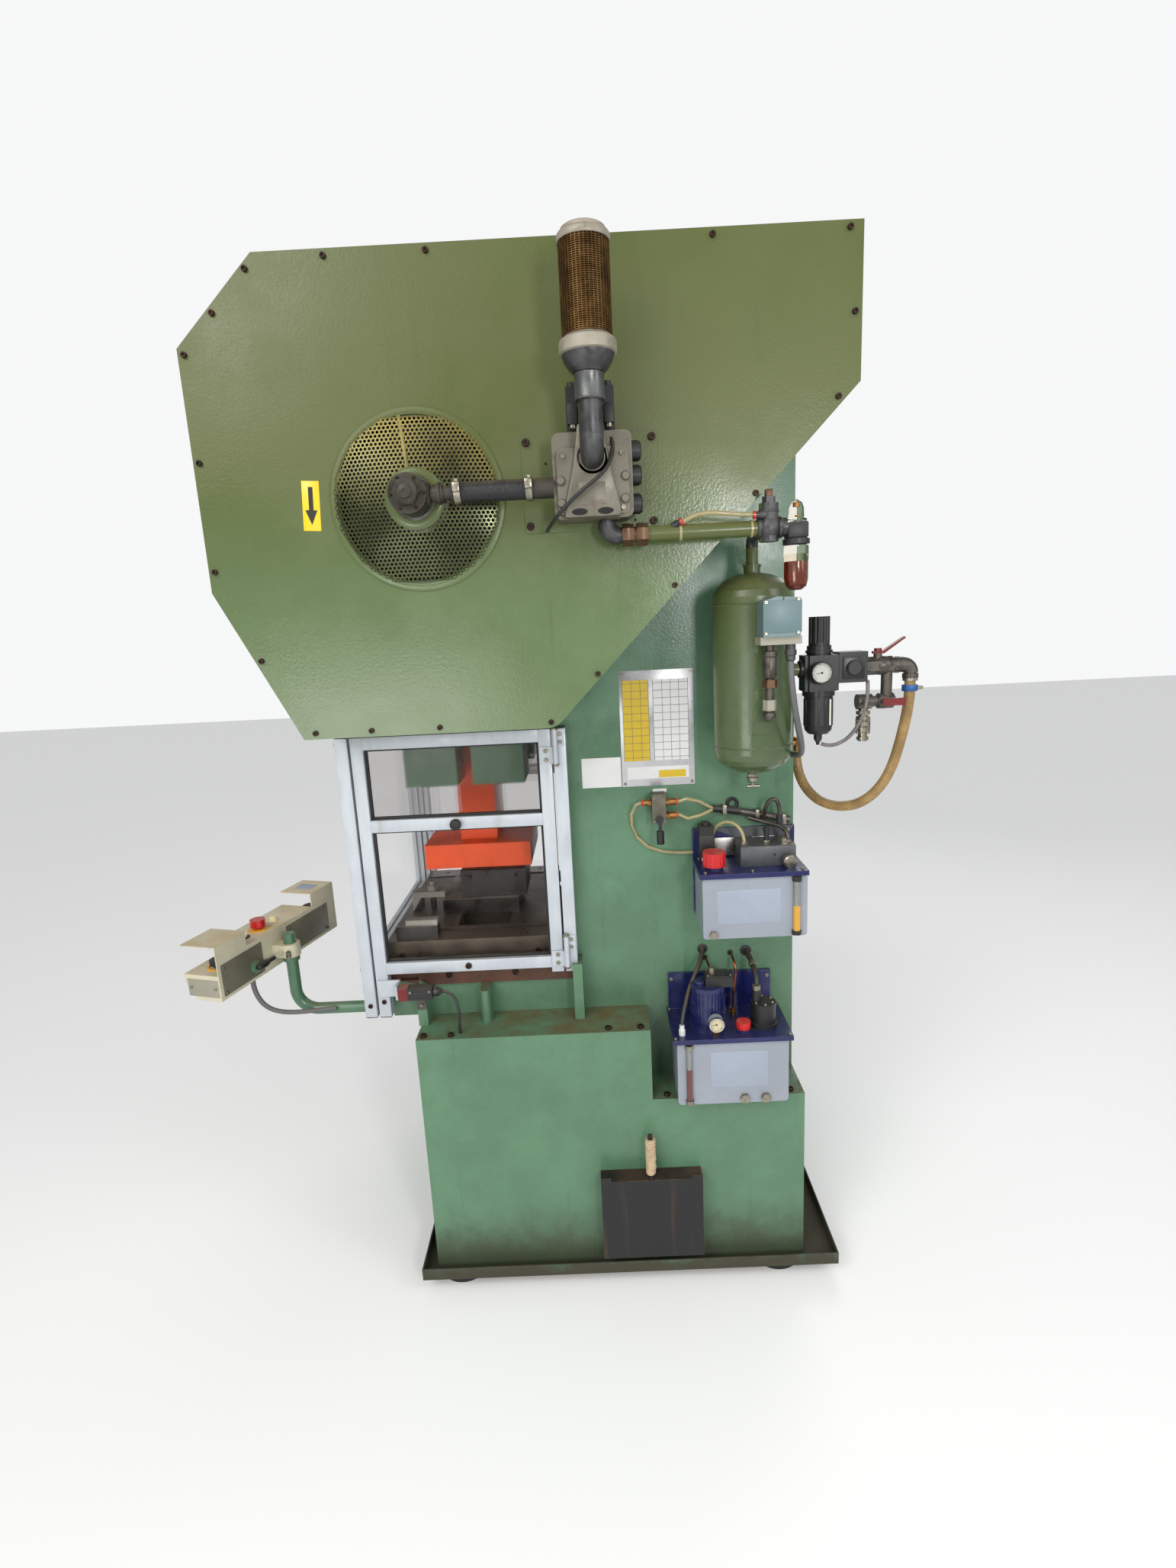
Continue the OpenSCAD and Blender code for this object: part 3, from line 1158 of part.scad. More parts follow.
// Oil lubricator at the column's foot: tank, lid, motor, gauge and pump
module lower_lube_unit() color("whitesmoke") at_origin() {
  x0 = lower_tank_x;
  x1 = x0 + lower_tank_l;
  z1 = lower_tank_z + lower_tank_h;
  top = z1 + lid_t;
  upright(lower_y, lower_y + lower_tank_d - 20) rounded(x0, x1, lower_tank_z, z1, 10);
  slab(x0 - 10, x1 + 10, lower_y - 8, -frame_y, z1, top);
  slab(x0 - 4, x1 - 11, -frame_y - 10, -frame_y, top, top + 98);
  // Motor with its terminal box
  bar_z(top, top + 108, x0 + 84, lower_y + 66, 38);
  bar_z(top + 100, top + 110, x0 + 84, lower_y + 66, 41);
  slab(x0 + 78, x0 + 146, lower_y + 44, lower_y + 88, top + 108, top + 134);
  // Gauge on its stem
  bar_z(top, top + 24, x0 + 97, lower_y + 18, 5);
  bar_y(lower_y + 6, lower_y + 24, x0 + 97, top + 32, 18);
  bar_z(top, top + 8, x0 + 166, lower_y + 28, 13);
  // Pump head with its connector
  bar_z(top, top + 60, x0 + 221, lower_y + 58, 30);
  bar_z(top + 60, top + 92, x0 + 204, lower_y + 58, 11);
  bar_z(lower_tank_z + 8, z1 - 4, x0 + 28, lower_y - 4, 7);
  for (x = [x0 + 163, x0 + 214]) translate([x, lower_y, lower_tank_z + 14]) rotate([90, 0, 0])
    cylinder(h = 9, r = 12, $fn = 6);
}

// Filler caps of the two oil tanks
module filler_caps() color("crimson") at_origin() {
  z1 = upper_tank_z + upper_tank_h + lid_t + 8;
  z2 = lower_tank_z + lower_tank_h + lid_t + 8;
  translate([upper_tank_x + 34, upper_y + 40, z1]) cap(27, 34);
  translate([lower_tank_x + 166, lower_y + 28, z2]) cap(17, 18);
}
module cap(r, h) difference() {
  cylinder(h = h, r = r);
  for (a = [0:30:330]) bar_z(4, h + cut, (r + 2) * cos(a), (r + 2) * sin(a), 3.5);
}

// Hand slide valve on the column's side
module hand_valve() color(metal) at_origin() {
  slab(hand_x[0], hand_x[1], -frame_y - 42, -frame_y, hand_z[0], hand_z[1]);
  bar_x(hand_x[0] - 21, hand_x[0], -frame_y - 26, tube_z[0], 7);
  for (z = tube_z) bar_x(hand_x[1], hand_x[1] + 26, -frame_y - 26, z, 8);
  bar_y(-frame_y - 50, -frame_y - 42, hand_pivot[0], hand_pivot[1], 6);
}

module hand_valve_lever() color(black) at_origin() {
  y = -frame_y - 50 - seat;
  upright(y - 5, y) {
    translate(hand_pivot) circle(r = 9);
    translate(hand_pivot - [4, 32]) square([8, 32]);
  }
  bar_z(hand_pivot[1] - 60, hand_pivot[1] - 28, hand_pivot[0], y - 2.5, 9);
}

// Tubes and cables that the column's side holds all the way
module lube_lines() color(dark) at_origin() {
  y = -frame_y - thin_tube_r - seat;
  bundle_y = -frame_y - bundle_r - seat;
  port_y = -frame_y - 26;
  port = [hand_x[1] + 26, port_y, tube_z[0]];
  low = [hand_x[1] + 26, port_y, tube_z[1]];
  front = [hand_x[0] - 21, port_y, tube_z[0]];
  tube([port, port + [9, 0, 0], [545, port_y - 4, 1256], [575, port_y, 1248],
        [610, bundle_y - 5, 1226]], thin_tube_r, 8);
  tube([low, low + [9, 0, 0], [548, port_y - 2, 1206], [580, port_y + 2, 1212],
        [610, bundle_y - 5, 1222]], thin_tube_r, 8);
  tube([[610, bundle_y, 1224], [640, bundle_y, 1220], [680, bundle_y, 1213], [720, bundle_y, 1205],
        [760, bundle_y, 1196], [800, bundle_y, 1187]], bundle_r, 10);
  // Round to the upper tank's back plate
  tube([front, front - [7, 0, 0], [422, port_y, 1245], [411, port_y + 5, 1222], [412, y - 6, 1190],
        [424, y, 1158], [450, y, 1132], [485, y, 1118], [525, y, 1113],
        [upper_tank_x - 4 - seat, y, 1112]], thin_tube_r, 8);
}

// Square profile with a groove along each side
module profile_section() difference() {
  square(profile, center = true);
  for (a = [0:90:270]) rotate(a) translate([profile / 2 - groove_depth, -groove / 2])
    square([groove_depth + cut, groove]);
}
module post(x, y, z0, z1) translate([x + profile / 2, y + profile / 2, z0])
  linear_extrude(z1 - z0) profile_section();
module rail_x(x0, x1, y, z) translate([x0, y + profile / 2, z + profile / 2]) rotate([90, 0, 90])
  linear_extrude(x1 - x0) profile_section();
module rail_y(y0, y1, x, z) translate([x + profile / 2, y1, z + profile / 2]) rotate([90, 0, 0])
  linear_extrude(y1 - y0) profile_section();

// Hinged guard door of profiles, with its hinge leaves and switch tongue
module guard_door() color(metal) at_origin() {
  x0 = -door_front;
  x1 = door_rear - profile;
  post(x0, door_y0, post_z, door_top_z);
  post(x1, door_y0, door_rail_z - 12, door_top_z);
  for (z = [door_rail_z, door_mid_z, door_top_z - profile]) rail_x(x0 + profile, x1, door_y0, z);
  for (z = hinge_z) difference() {
    union() {
      slab(x1 + 2, hinge_x, door_y0 - 4, door_y0, z, z + hinge_h / 2);
      bar_z(z, z + hinge_h / 2, hinge_x, hinge_y, hinge_pin_d / 2 + 3);
      slab(hinge_x - 10, hinge_x, door_y0 - 8, door_y0 - 4, z, z + hinge_h / 2);
    }
    bar_z(z - cut, z + hinge_h / 2 + cut, hinge_x, hinge_y, hinge_pin_d / 2 + run_gap);
  }
  // Tongue for the safety switch
  slab(x0 + 4, switch_x - 4, door_y0 - 5, door_y0, switch_z - 22, switch_z + 22);
  slab(switch_x - 9, switch_x - 4, door_y0 - 34, door_y0 - 5, switch_z - 18, switch_z + 18);
  slab(switch_x - 4, switch_x - 3, door_y0 - 24, door_y0 - 20, switch_z - 8, switch_z + 8);
}

module guard_panes() color([0.5, 0.4, 0.3, 0.35]) at_origin() {
  y0 = door_y0 + (profile - pane_t) / 2;
  x0 = -door_front + profile - groove_depth + 2;
  x1 = door_rear - profile + groove_depth - 2;
  for (z = [[door_rail_z + profile, door_mid_z], [door_mid_z + profile, door_top_z - profile]])
    slab(x0, x1, y0, y0 + pane_t, z[0] - groove_depth + 2, z[1] + groove_depth - 2);
}

// Guards that stay put: hinge post, front screen and far screen
module fixed_guards() color(metal) at_origin() {
  post(door_rear + 5, door_y0, column_foot, door_top_z);
  for (z = [door_rail_z + 20, door_top_z - 60]) slab(throat, throat + 14, door_y1, -frame_y, z, z + 40);
  for (z = hinge_z) {
    bar_z(z, z + hinge_h, hinge_x, hinge_y, hinge_pin_d / 2);
    bar_z(z + hinge_h / 2 + seat, z + hinge_h, hinge_x, hinge_y, hinge_pin_d / 2 + 3);
    slab(hinge_x, hinge_x + 22, door_y0 - 4, door_y0, z + hinge_h / 2 + seat, z + hinge_h);
    slab(hinge_x, hinge_x + 7, door_y0 - 8, door_y0 - 4, z + hinge_h / 2 + seat, z + hinge_h);
  }
  // Front screen
  for (y = [door_y0, far_y]) post(front_x, y, post_z, door_top_z);
  for (z = [post_z + 110, door_top_z - profile]) rail_y(door_y1, far_y, front_x, z);
  // Far screen
  post(-door_front, far_y, post_z, door_top_z);
  post(door_rear - profile, far_y, post_z + 90, door_top_z);
  for (z = [door_rail_z, door_mid_z, door_top_z - profile])
    rail_x(-door_front + profile, door_rear - profile, far_y, z);
  // Brackets to the bed's front edge and to its far side
  for (s = [-1, 1]) scale([1, s, 1]) {
    slab(front_x, front_x + profile, deck_y - 10, far_y, table_z, table_top);
    slab(front_x, -bed_front - table_lip, deck_y - 10, far_y - 4, table_z, table_top);
  }
  for (x = [-bed_front, door_rear - profile])
    slab(x, x + profile - 8, deck_y + table_lip, far_y, table_z, table_top);
}

module fixed_panes() color([0.5, 0.4, 0.3, 0.35]) at_origin() {
  x = front_x + (profile - pane_t) / 2;
  y0 = door_y1 - groove_depth + 2;
  slab(x, x + pane_t, y0, far_y + groove_depth - 2, post_z + 140 - groove_depth + 2,
       door_top_z - profile + groove_depth - 2);
  y = far_y + (profile - pane_t) / 2;
  for (z = [[door_rail_z + profile, door_mid_z], [door_mid_z + profile, door_top_z - profile]])
    slab(-door_front + profile - groove_depth + 2, door_rear - profile + groove_depth - 2, y, y + pane_t,
         z[0] - groove_depth + 2, z[1] + groove_depth - 2);
}

// Door switch on a bracket in front of the bed's leg
module safety_switch() color(black) at_origin() {
  y = -frame_y - leg_out - 5;
  slab(leg_x, leg_x + leg_t, y, y + 5, switch_z - 56, switch_z + 12);
  slab(switch_x, switch_x + 24, y - 30, y, switch_z - 16, switch_z + 16);
  slab(switch_x + 24, -101, y - 32, y, switch_z - 14, switch_z + 14);
  bar_x(-101, -86, y - 16, switch_z, 10);
}

// Bent post that carries the console from the base's front
module console_post() color(green) at_origin() translate([0, -post_y, 0]) {
  bend = 60;
  r = post_d / 2;
  bar_x(-base_front - 10, -base_front, 0, arm_z, 34);
  bar_x(-post_x + bend, -base_front - 10, 0, arm_z, r);
  translate([-post_x + bend, 0, arm_z + bend]) rotate([90, 180, 0])
    rotate_extrude(angle = 90) translate([bend, 0]) circle(r = r);
  bar_z(arm_z + bend, post_top_z, -post_x, 0, r);
  // Collar under the console's clamp
  bar_z(clamp_z - 14, clamp_z - seat, -post_x, 0, r + 6);
}

module at_console() at_origin() translate([-post_x, -post_y, 0]) rotate([0, 0, -console_turn]) children();

// Two-hand console: folded body, hooded ends and the clamp round the post
module console() color("wheat") at_console() {
  u0 = console_u0;
  u1 = console_u1;
  v0 = -console_near;
  v1 = v0 + console_l;
  top = console_z + console_h;
  floor_z = console_z + end_h;
  difference() {
    union() {
      // Body with a sloped operator's side
      translate([0, v1, 0]) rotate([90, 0, 0]) linear_extrude(console_l) polygon([
        [u0 + 30, console_z], [u1, console_z], [u1, floor_z], [u0, floor_z], [u0, floor_z - 20]]);
      slab(u0, u1, v0 + hood_l, v1 - hood_l, floor_z, top);
      for (v = [v0, v1 - hood_l]) {
        slab(u1 - 3, u1, v, v + hood_l, floor_z, top + hood_rise);
        slab(u0, u1, v, v + hood_l, top + hood_rise - 3, top + hood_rise);
      }
      slab(u1, 0, -26, 26, clamp_z, clamp_z + clamp_h);
      bar_z(clamp_z, clamp_z + clamp_h, 0, 0, post_d / 2 + 10);
    }
    bar_z(clamp_z - cut, clamp_z + clamp_h + cut, 0, 0, post_d / 2 + run_gap);
    for (v = [v0, v1 - hood_l]) bar_z(floor_z - 20, floor_z + cut, console_mid, v + hood_l / 2, 11 + run_gap);
    bar_z(top - 20, top + cut, console_mid, stop_v, 9 + run_gap);
    bar_z(top - 20, top + cut, console_mid, start_v, 8 + run_gap);
  }
  // Clamp lever and yellow plate's seat
  bar_y(-60, -26, -6, clamp_z + clamp_h / 2, 5);
  slab(console_mid - 22, console_mid + 22, stop_v + 25, stop_v + 26, top, top + 1);
}

module push(v, z, stem, r, h, rise) at_console() translate([console_mid, v, z]) {
  bar_z(-12, rise, 0, 0, stem);
  bar_z(rise, rise + h, 0, 0, r);
}

module palm_button_near() color(black) push(-console_near + hood_l / 2, console_z + end_h, 11, 22, 12, 8);
module palm_button_far() color(black)
  push(-console_near + console_l - hood_l / 2, console_z + end_h, 11, 22, 12, 8);
module stop_button() color("red") push(stop_v, console_z + console_h, 9, 20, 20, 9);
module start_button() color("white") push(start_v, console_z + console_h, 8, 11, 5, 6);

levelling_feet();
drip_tray();
base_near_plate();
base_plates();
scrap_hopper();
side_plates();
frame_plates();
bed_table();
bolster();
ram_gibs();
main_bearings();
crankshaft();
connecting_rod();
adjusting_screw();
ram();
clutch_and_brake();
brake_caliper();
flywheel();
flywheel_bearings();
motor();
motor_pulley();
v_belts();
upper_die();
lower_tooling();
guard_rim();
guard_panel();
vent_cone();
rotary_union();
union_hose();
valve_plate();
air_valve();
silencer();
air_line();
lubricator();
air_tank();
drain_tap();
pressure_switch();
filter_regulator();
regulator_knob();
inlet_pipework();
upper_valve_lever();
lower_valve_lever();
supply_hose();
upper_lube_unit();
lower_lube_unit();
filler_caps();
hand_valve();
hand_valve_lever();
lube_lines();
guard_door();
guard_panes();
fixed_guards();
fixed_panes();
safety_switch();
console_post();
console();
palm_button_near();
palm_button_far();
stop_button();
start_button();
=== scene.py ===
"""Looks of the mechanical stamping press: finishes, fittings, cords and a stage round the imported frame."""

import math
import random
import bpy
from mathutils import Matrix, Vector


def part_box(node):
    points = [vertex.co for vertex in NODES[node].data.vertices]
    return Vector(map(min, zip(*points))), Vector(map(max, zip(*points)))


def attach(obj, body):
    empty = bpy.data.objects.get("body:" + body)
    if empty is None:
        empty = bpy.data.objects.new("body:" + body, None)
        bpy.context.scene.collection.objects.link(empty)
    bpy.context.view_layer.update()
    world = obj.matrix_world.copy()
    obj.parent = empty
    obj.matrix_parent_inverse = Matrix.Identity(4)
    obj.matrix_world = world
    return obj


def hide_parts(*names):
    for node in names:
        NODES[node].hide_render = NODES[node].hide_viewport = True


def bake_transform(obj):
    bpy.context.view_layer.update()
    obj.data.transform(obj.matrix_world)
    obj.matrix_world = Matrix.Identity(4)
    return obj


bl_info = {
    "name": "Stamping press looks",
    "version": (1, 0, 0),
    "blender": (4, 5, 0),
    "location": "3D View > Sidebar > Press",
    "description": "Dresses the packed stamping press and sets it on a plain stage",
    "category": "Object",
}

from math import radians

import bmesh
import bpy
from bpy.props import FloatProperty, FloatVectorProperty, IntProperty, PointerProperty
from mathutils import Matrix, Vector

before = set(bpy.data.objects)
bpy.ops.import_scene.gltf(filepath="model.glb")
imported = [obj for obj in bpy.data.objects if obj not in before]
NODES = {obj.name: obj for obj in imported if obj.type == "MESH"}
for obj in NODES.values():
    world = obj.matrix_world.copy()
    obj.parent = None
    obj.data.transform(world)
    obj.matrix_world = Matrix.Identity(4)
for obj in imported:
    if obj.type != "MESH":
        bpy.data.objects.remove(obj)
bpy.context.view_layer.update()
MM = 0.001
# Points on a smooth line between two of its knots, and the least angle of a sharp edge in degrees
ROUTE_STEPS = 6
SHARP_ANGLE = 35
X, Y, Z = Vector((1, 0, 0)), Vector((0, 1, 0)), Vector((0, 0, 1))


# Places in the press's own layout

def middle(node, axis):
    """Middle of a node's box along one axis, in metres."""
    low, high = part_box(node)
    return (low[axis] + high[axis]) / 2


RAM_X = middle("ram", 0)
FRAME_Y = middle("side_plates", 1)


def at(x, y, z):
    """A layout point, in millimetres from the ram's axis, the frame's middle and the floor."""
    return Vector((RAM_X + x * MM, FRAME_Y + y * MM, z * MM))


class Extent:
    """A node's box in layout millimetres."""

    def __init__(self, node):
        low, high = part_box(node)
        self.x0, self.x1 = (low.x - RAM_X) / MM, (high.x - RAM_X) / MM
        self.y0, self.y1 = (low.y - FRAME_Y) / MM, (high.y - FRAME_Y) / MM
        self.z0, self.z1 = low.z / MM, high.z / MM


PANEL = Extent("guard_panel")
CONE = Extent("vent_cone")
SIDE = Extent("side_plates")
VALVE_PLATE = Extent("valve_plate")
CRANK_Z = (CONE.z0 + CONE.z1) / 2


# Forms: small bmeshes in millimetres, made by operators and then put in place

def soften(form, edges, width):
    """Rounds some of a form's edges."""
    bmesh.ops.bevel(form, geom=edges, offset=width, offset_type="OFFSET", segments=2, profile=0.5,
                    affect="EDGES", material=-1)


def pour(form, target):
    """Adds a form to another bmesh, and frees it."""
    scratch = bpy.data.meshes.new("form")
    form.to_mesh(scratch)
    form.free()
    target.from_mesh(scratch)
    bpy.data.meshes.remove(scratch)


def box_form(size, bevel=0.0):
    """A block round its middle, with rounded edges."""
    form = bmesh.new()
    bmesh.ops.create_cube(form, size=1.0)
    bmesh.ops.scale(form, vec=Vector(size), verts=form.verts)
    if bevel:
        soften(form, form.edges[:], bevel)
    return form


def rod_form(radius, length, sides=24, bevel=0.0, top=None):
    """A round or sided rod from 0 to length along Z."""
    form = bmesh.new()
    bmesh.ops.create_cone(form, cap_ends=True, segments=sides, radius1=radius,
                          radius2=radius if top is None else top, depth=length)
    bmesh.ops.translate(form, vec=(0, 0, length / 2), verts=form.verts)
    if bevel:
        rims = [e for e in form.edges if abs(e.verts[0].co.z - e.verts[1].co.z) < 1e-6]
        soften(form, rims, bevel)
    return form


def lathe_form(profile, sides=32, closed=True):
    """A profile of (radius, height) points spun about Z."""
    form = bmesh.new()
    verts = [form.verts.new((r, 0, h)) for r, h in profile]
    edges = [form.edges.new(pair) for pair in zip(verts, verts[1:])]
    if closed and profile[0][0] > 0 and profile[-1][0] > 0:
        edges.append(form.edges.new((verts[-1], verts[0])))
    bmesh.ops.spin(form, geom=verts + edges, cent=(0, 0, 0), axis=Z, dvec=(0, 0, 0),
                   angle=2 * math.pi, steps=sides, use_merge=True, use_duplicate=False)
    bmesh.ops.remove_doubles(form, verts=form.verts, dist=1e-4)
    bmesh.ops.recalc_face_normals(form, faces=form.faces)
    return form


def sheet_form(points, thick, bevel=0.0):
    """A flat outline in X and Y with a thickness along Z."""
    form = bmesh.new()
    face = form.faces.new([form.verts.new((x, y, 0)) for x, y in points])
    moved = bmesh.ops.extrude_face_region(form, geom=[face])["geom"]
    bmesh.ops.translate(form, vec=(0, 0, thick),
                        verts=[v for v in moved if isinstance(v, bmesh.types.BMVert)])
    bmesh.ops.recalc_face_normals(form, faces=form.faces)
    if bevel:
        soften(form, form.edges[:], bevel)
    return form


def cap_screw_form(radius, height):
    """A socket head with a chamfer and a round recess."""
    return lathe_form([(0, 0), (radius, 0), (radius, height * 0.8), (radius * 0.85, height),
                       (radius * 0.52, height), (radius * 0.48, height * 0.45), (0, height * 0.4)], 16)


def hex_form(radius, height, bevel=0.6):
    """A hexagon, as nuts and bolt heads have."""
    return rod_form(radius, height, 6, bevel)


def turned(axis):
    """Rotation that lays a form's Z along an axis, with its Y up where it can be."""
    axis = Vector(axis).normalized()
    if abs(axis.z) > 0.999:
        return Matrix.Identity(4) if axis.z > 0 else Matrix.Rotation(math.pi, 4, "X")
    return axis.to_track_quat("Z", "Y").to_matrix().to_4x4()


def moved(form, place):
    """A form shifted in its own frame, before it is put in place."""
    bmesh.ops.translate(form, vec=place, verts=form.verts)
    return form


class Shape:
    """A piece under way: forms put in place, each with the number of its finish."""

    def __init__(self):
        self.mesh = bmesh.new()

    def put(self, form, place, axis=Z, paint=0, turn=0.0):
        """Moves a form to a layout point with its Z along axis, and adds it."""
        for face in form.faces:
            face.material_index = paint
        matrix = Matrix.Translation(at(*place)) @ turned(axis) @ Matrix.Rotation(turn, 4, "Z")
        bmesh.ops.transform(form, matrix=matrix @ Matrix.Scale(MM, 4), verts=form.verts)
        pour(form, self.mesh)
        return self

    def block(self, x0, x1, y0, y1, z0, z1, bevel=1.0, paint=0):
        """A block between layout planes."""
        form = box_form((x1 - x0, y1 - y0, z1 - z0), bevel)
        return self.put(form, ((x0 + x1) / 2, (y0 + y1) / 2, (z0 + z1) / 2), Z, paint)

    def lathe(self, profile, sides, place, axis=Z, paint=0, turn=0.0, closed=True):
        """A profile spun about its axis, put in place."""
        return self.put(lathe_form(profile, sides, closed), place, axis, paint, turn)

    def bar(self, radius, height, sides, place, axis=Z, paint=0):
        """A plain round bar, spun and put in place."""
        return self.lathe([(0, 0), (radius, 0), (radius, height), (0, height)], sides, place, axis, paint)

    def screw(self, radius, height, place, axis=Z, paint=0):
        """A socket head, put in place."""
        return self.put(cap_screw_form(radius, height), place, axis, paint)

    def nut(self, radius, height, place, axis=Z, paint=0, bevel=0.6):
        """A hexagon, put in place."""
        return self.put(hex_form(radius, height, bevel), place, axis, paint)

    def plate(self, size, bevel, place, axis=Z, paint=0, turn=0.0, shift=(0, 0, 0)):
        """A flat block, shifted in its own frame and put in place."""
        return self.put(moved(box_form(size, bevel), shift), place, axis, paint, turn)

    def done(self, name, finishes, body="frame", angle=SHARP_ANGLE):
        """Makes the piece's object, smooth but for its sharp edges, and lets it ride on its body."""
        mesh = bpy.data.meshes.new(name)
        self.mesh.to_mesh(mesh)
        self.mesh.free()
        return ready(name, mesh, finishes, body, angle)


def ready(name, mesh, finishes, body, angle):
    """Links a mesh with its finishes, and lets it ride on its body."""
    piece = bpy.data.objects.new(name, mesh)
    bpy.context.scene.collection.objects.link(piece)
    for finish in finishes:
        mesh.materials.append(material(finish))
    mesh.shade_smooth()
    mesh.set_sharp_from_angle(angle=radians(angle))
    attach(piece, body)
    return piece


def smooth_route(points, steps=ROUTE_STEPS):
    """Points of a smooth line through layout points, in metres."""
    knots = [at(*p) for p in points]
    knots = [2 * knots[0] - knots[1], *knots, 2 * knots[-1] - knots[-2]]
    route = []
    for a, b, c, d in zip(knots, knots[1:], knots[2:], knots[3:]):
        for k in range(steps):
            t = k / steps
            route.append(0.5 * (2 * b + (c - a) * t + (2 * a - 5 * b + 4 * c - d) * t * t
                                + (3 * b - a - 3 * c + d) * t * t * t))
    route.append(knots[-2])
    return route


def line_piece(name, points, radius, finish, body):
    """A tube, pipe or cable on one smooth line through layout points."""
    curve = bpy.data.curves.new(name, "CURVE")
    curve.dimensions = "3D"
    curve.bevel_depth = radius * MM
    curve.bevel_resolution = 3
    curve.use_fill_caps = True
    route = smooth_route(points)
    spline = curve.splines.new("POLY")
    spline.points.add(len(route) - 1)
    for knot, place in zip(spline.points, route):
        knot.co = (*place, 1)
    spline.use_smooth = True
    curve.materials.append(material(finish))
    piece = bpy.data.objects.new(name, curve)
    bpy.context.scene.collection.objects.link(piece)
    if body:
        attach(piece, body)
    return piece, route


def free_cord(name, points, radius, finish, body):
    """A cord or hose held at its ends only, on one smooth line through layout points."""
    piece, route = line_piece(name, points, radius, finish, body)
    return piece


def turning_cord(name, points, radius, finish):
    """A cord that runs from a turning body to the frame, made as one fixed mesh on a smooth line through
    layout points.
    """
    line, route = line_piece(name, points, radius, finish, None)
    bpy.context.view_layer.update()
    mesh = bpy.data.meshes.new_from_object(line)
    bpy.data.objects.remove(line)
    piece = bpy.data.objects.new(name, mesh)
    bpy.context.scene.collection.objects.link(piece)
    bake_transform(piece)
    return piece


def screws(name, places, axis, finish, radius, height, form=cap_screw_form):
    """A group of like screws, nuts or bolts."""
    group = Shape()
    for place in places:
        group.put(form(radius, height), place, axis)
    return group.done(name, [finish])


def washer_screw_form(radius, height):
    """A low hex head on its washer."""
    form = hex_form(radius, height)
    pour(rod_form(radius * 1.25, height * 0.25, 20, 0.3), form)
    return form


def put_dial(shape, place, axis, radius, paints):
    """A pressure dial: bezel, face, scale, pointer and glass."""
    bezel, face, ink, glass = paints
    shape.lathe([(radius * 0.86, 0), (radius, 0), (radius, 5), (radius * 0.95, 7), (radius * 0.88, 7),
                 (radius * 0.86, 5)], 40, place, axis, bezel)
    shape.put(rod_form(radius * 0.87, 2, 40), place, axis, face)
    for k in range(28):
        long = k % 3 == 0
        tick = moved(box_form((radius * (0.16 if long else 0.09), radius * 0.03, 0.4)),
                     (radius * 0.72, 0, 2.2))
        shape.put(tick, place, axis, ink, radians(-45 + k * 10))
    shape.plate((radius * 0.66, radius * 0.05, 0.5), 0, place, axis, ink, radians(190),
                shift=(radius * 0.22, 0, 2.9))
    shape.put(rod_form(radius * 0.1, 3.6, 16), place, axis, ink)
    shape.put(moved(rod_form(radius * 0.86, 0.8, 40), (0, 0, 4.8)), place, axis, glass)


def arc_patch(radius, height, angle, thick):
    """A curved sheet round Z, its middle along -Y of the layout once put with axis Z."""
    form = bmesh.new()
    low, high = form.verts.new((radius, 0, 0)), form.verts.new((radius, 0, height))
    edge = form.edges.new((low, high))
    bmesh.ops.spin(form, geom=[low, high, edge], cent=(0, 0, 0), axis=Z, dvec=(0, 0, 0), angle=angle,
                   steps=12, use_merge=False, use_duplicate=False)
    bmesh.ops.rotate(form, verts=form.verts, cent=(0, 0, 0),
                     matrix=Matrix.Rotation(-math.pi / 2 - angle / 2, 3, "Z"))
    bmesh.ops.recalc_face_normals(form, faces=form.faces)
    bmesh.ops.solidify(form, geom=form.faces[:], thickness=-thick)
    bmesh.ops.recalc_face_normals(form, faces=form.faces)
    return form


# Shader groups that the finishes share

def new_group(name, inputs, outputs):
    """An empty shader group with named number sockets."""
    tree = bpy.data.node_groups.new(name, "ShaderNodeTree")
    for label, default in inputs:
        socket = tree.interface.new_socket(label, in_out="INPUT", socket_type="NodeSocketFloat")
        socket.default_value = default
    for label in outputs:
        tree.interface.new_socket(label, in_out="OUTPUT", socket_type="NodeSocketFloat")
    return Tree(tree), tree.nodes.new("NodeGroupInput"), tree.nodes.new("NodeGroupOutput")


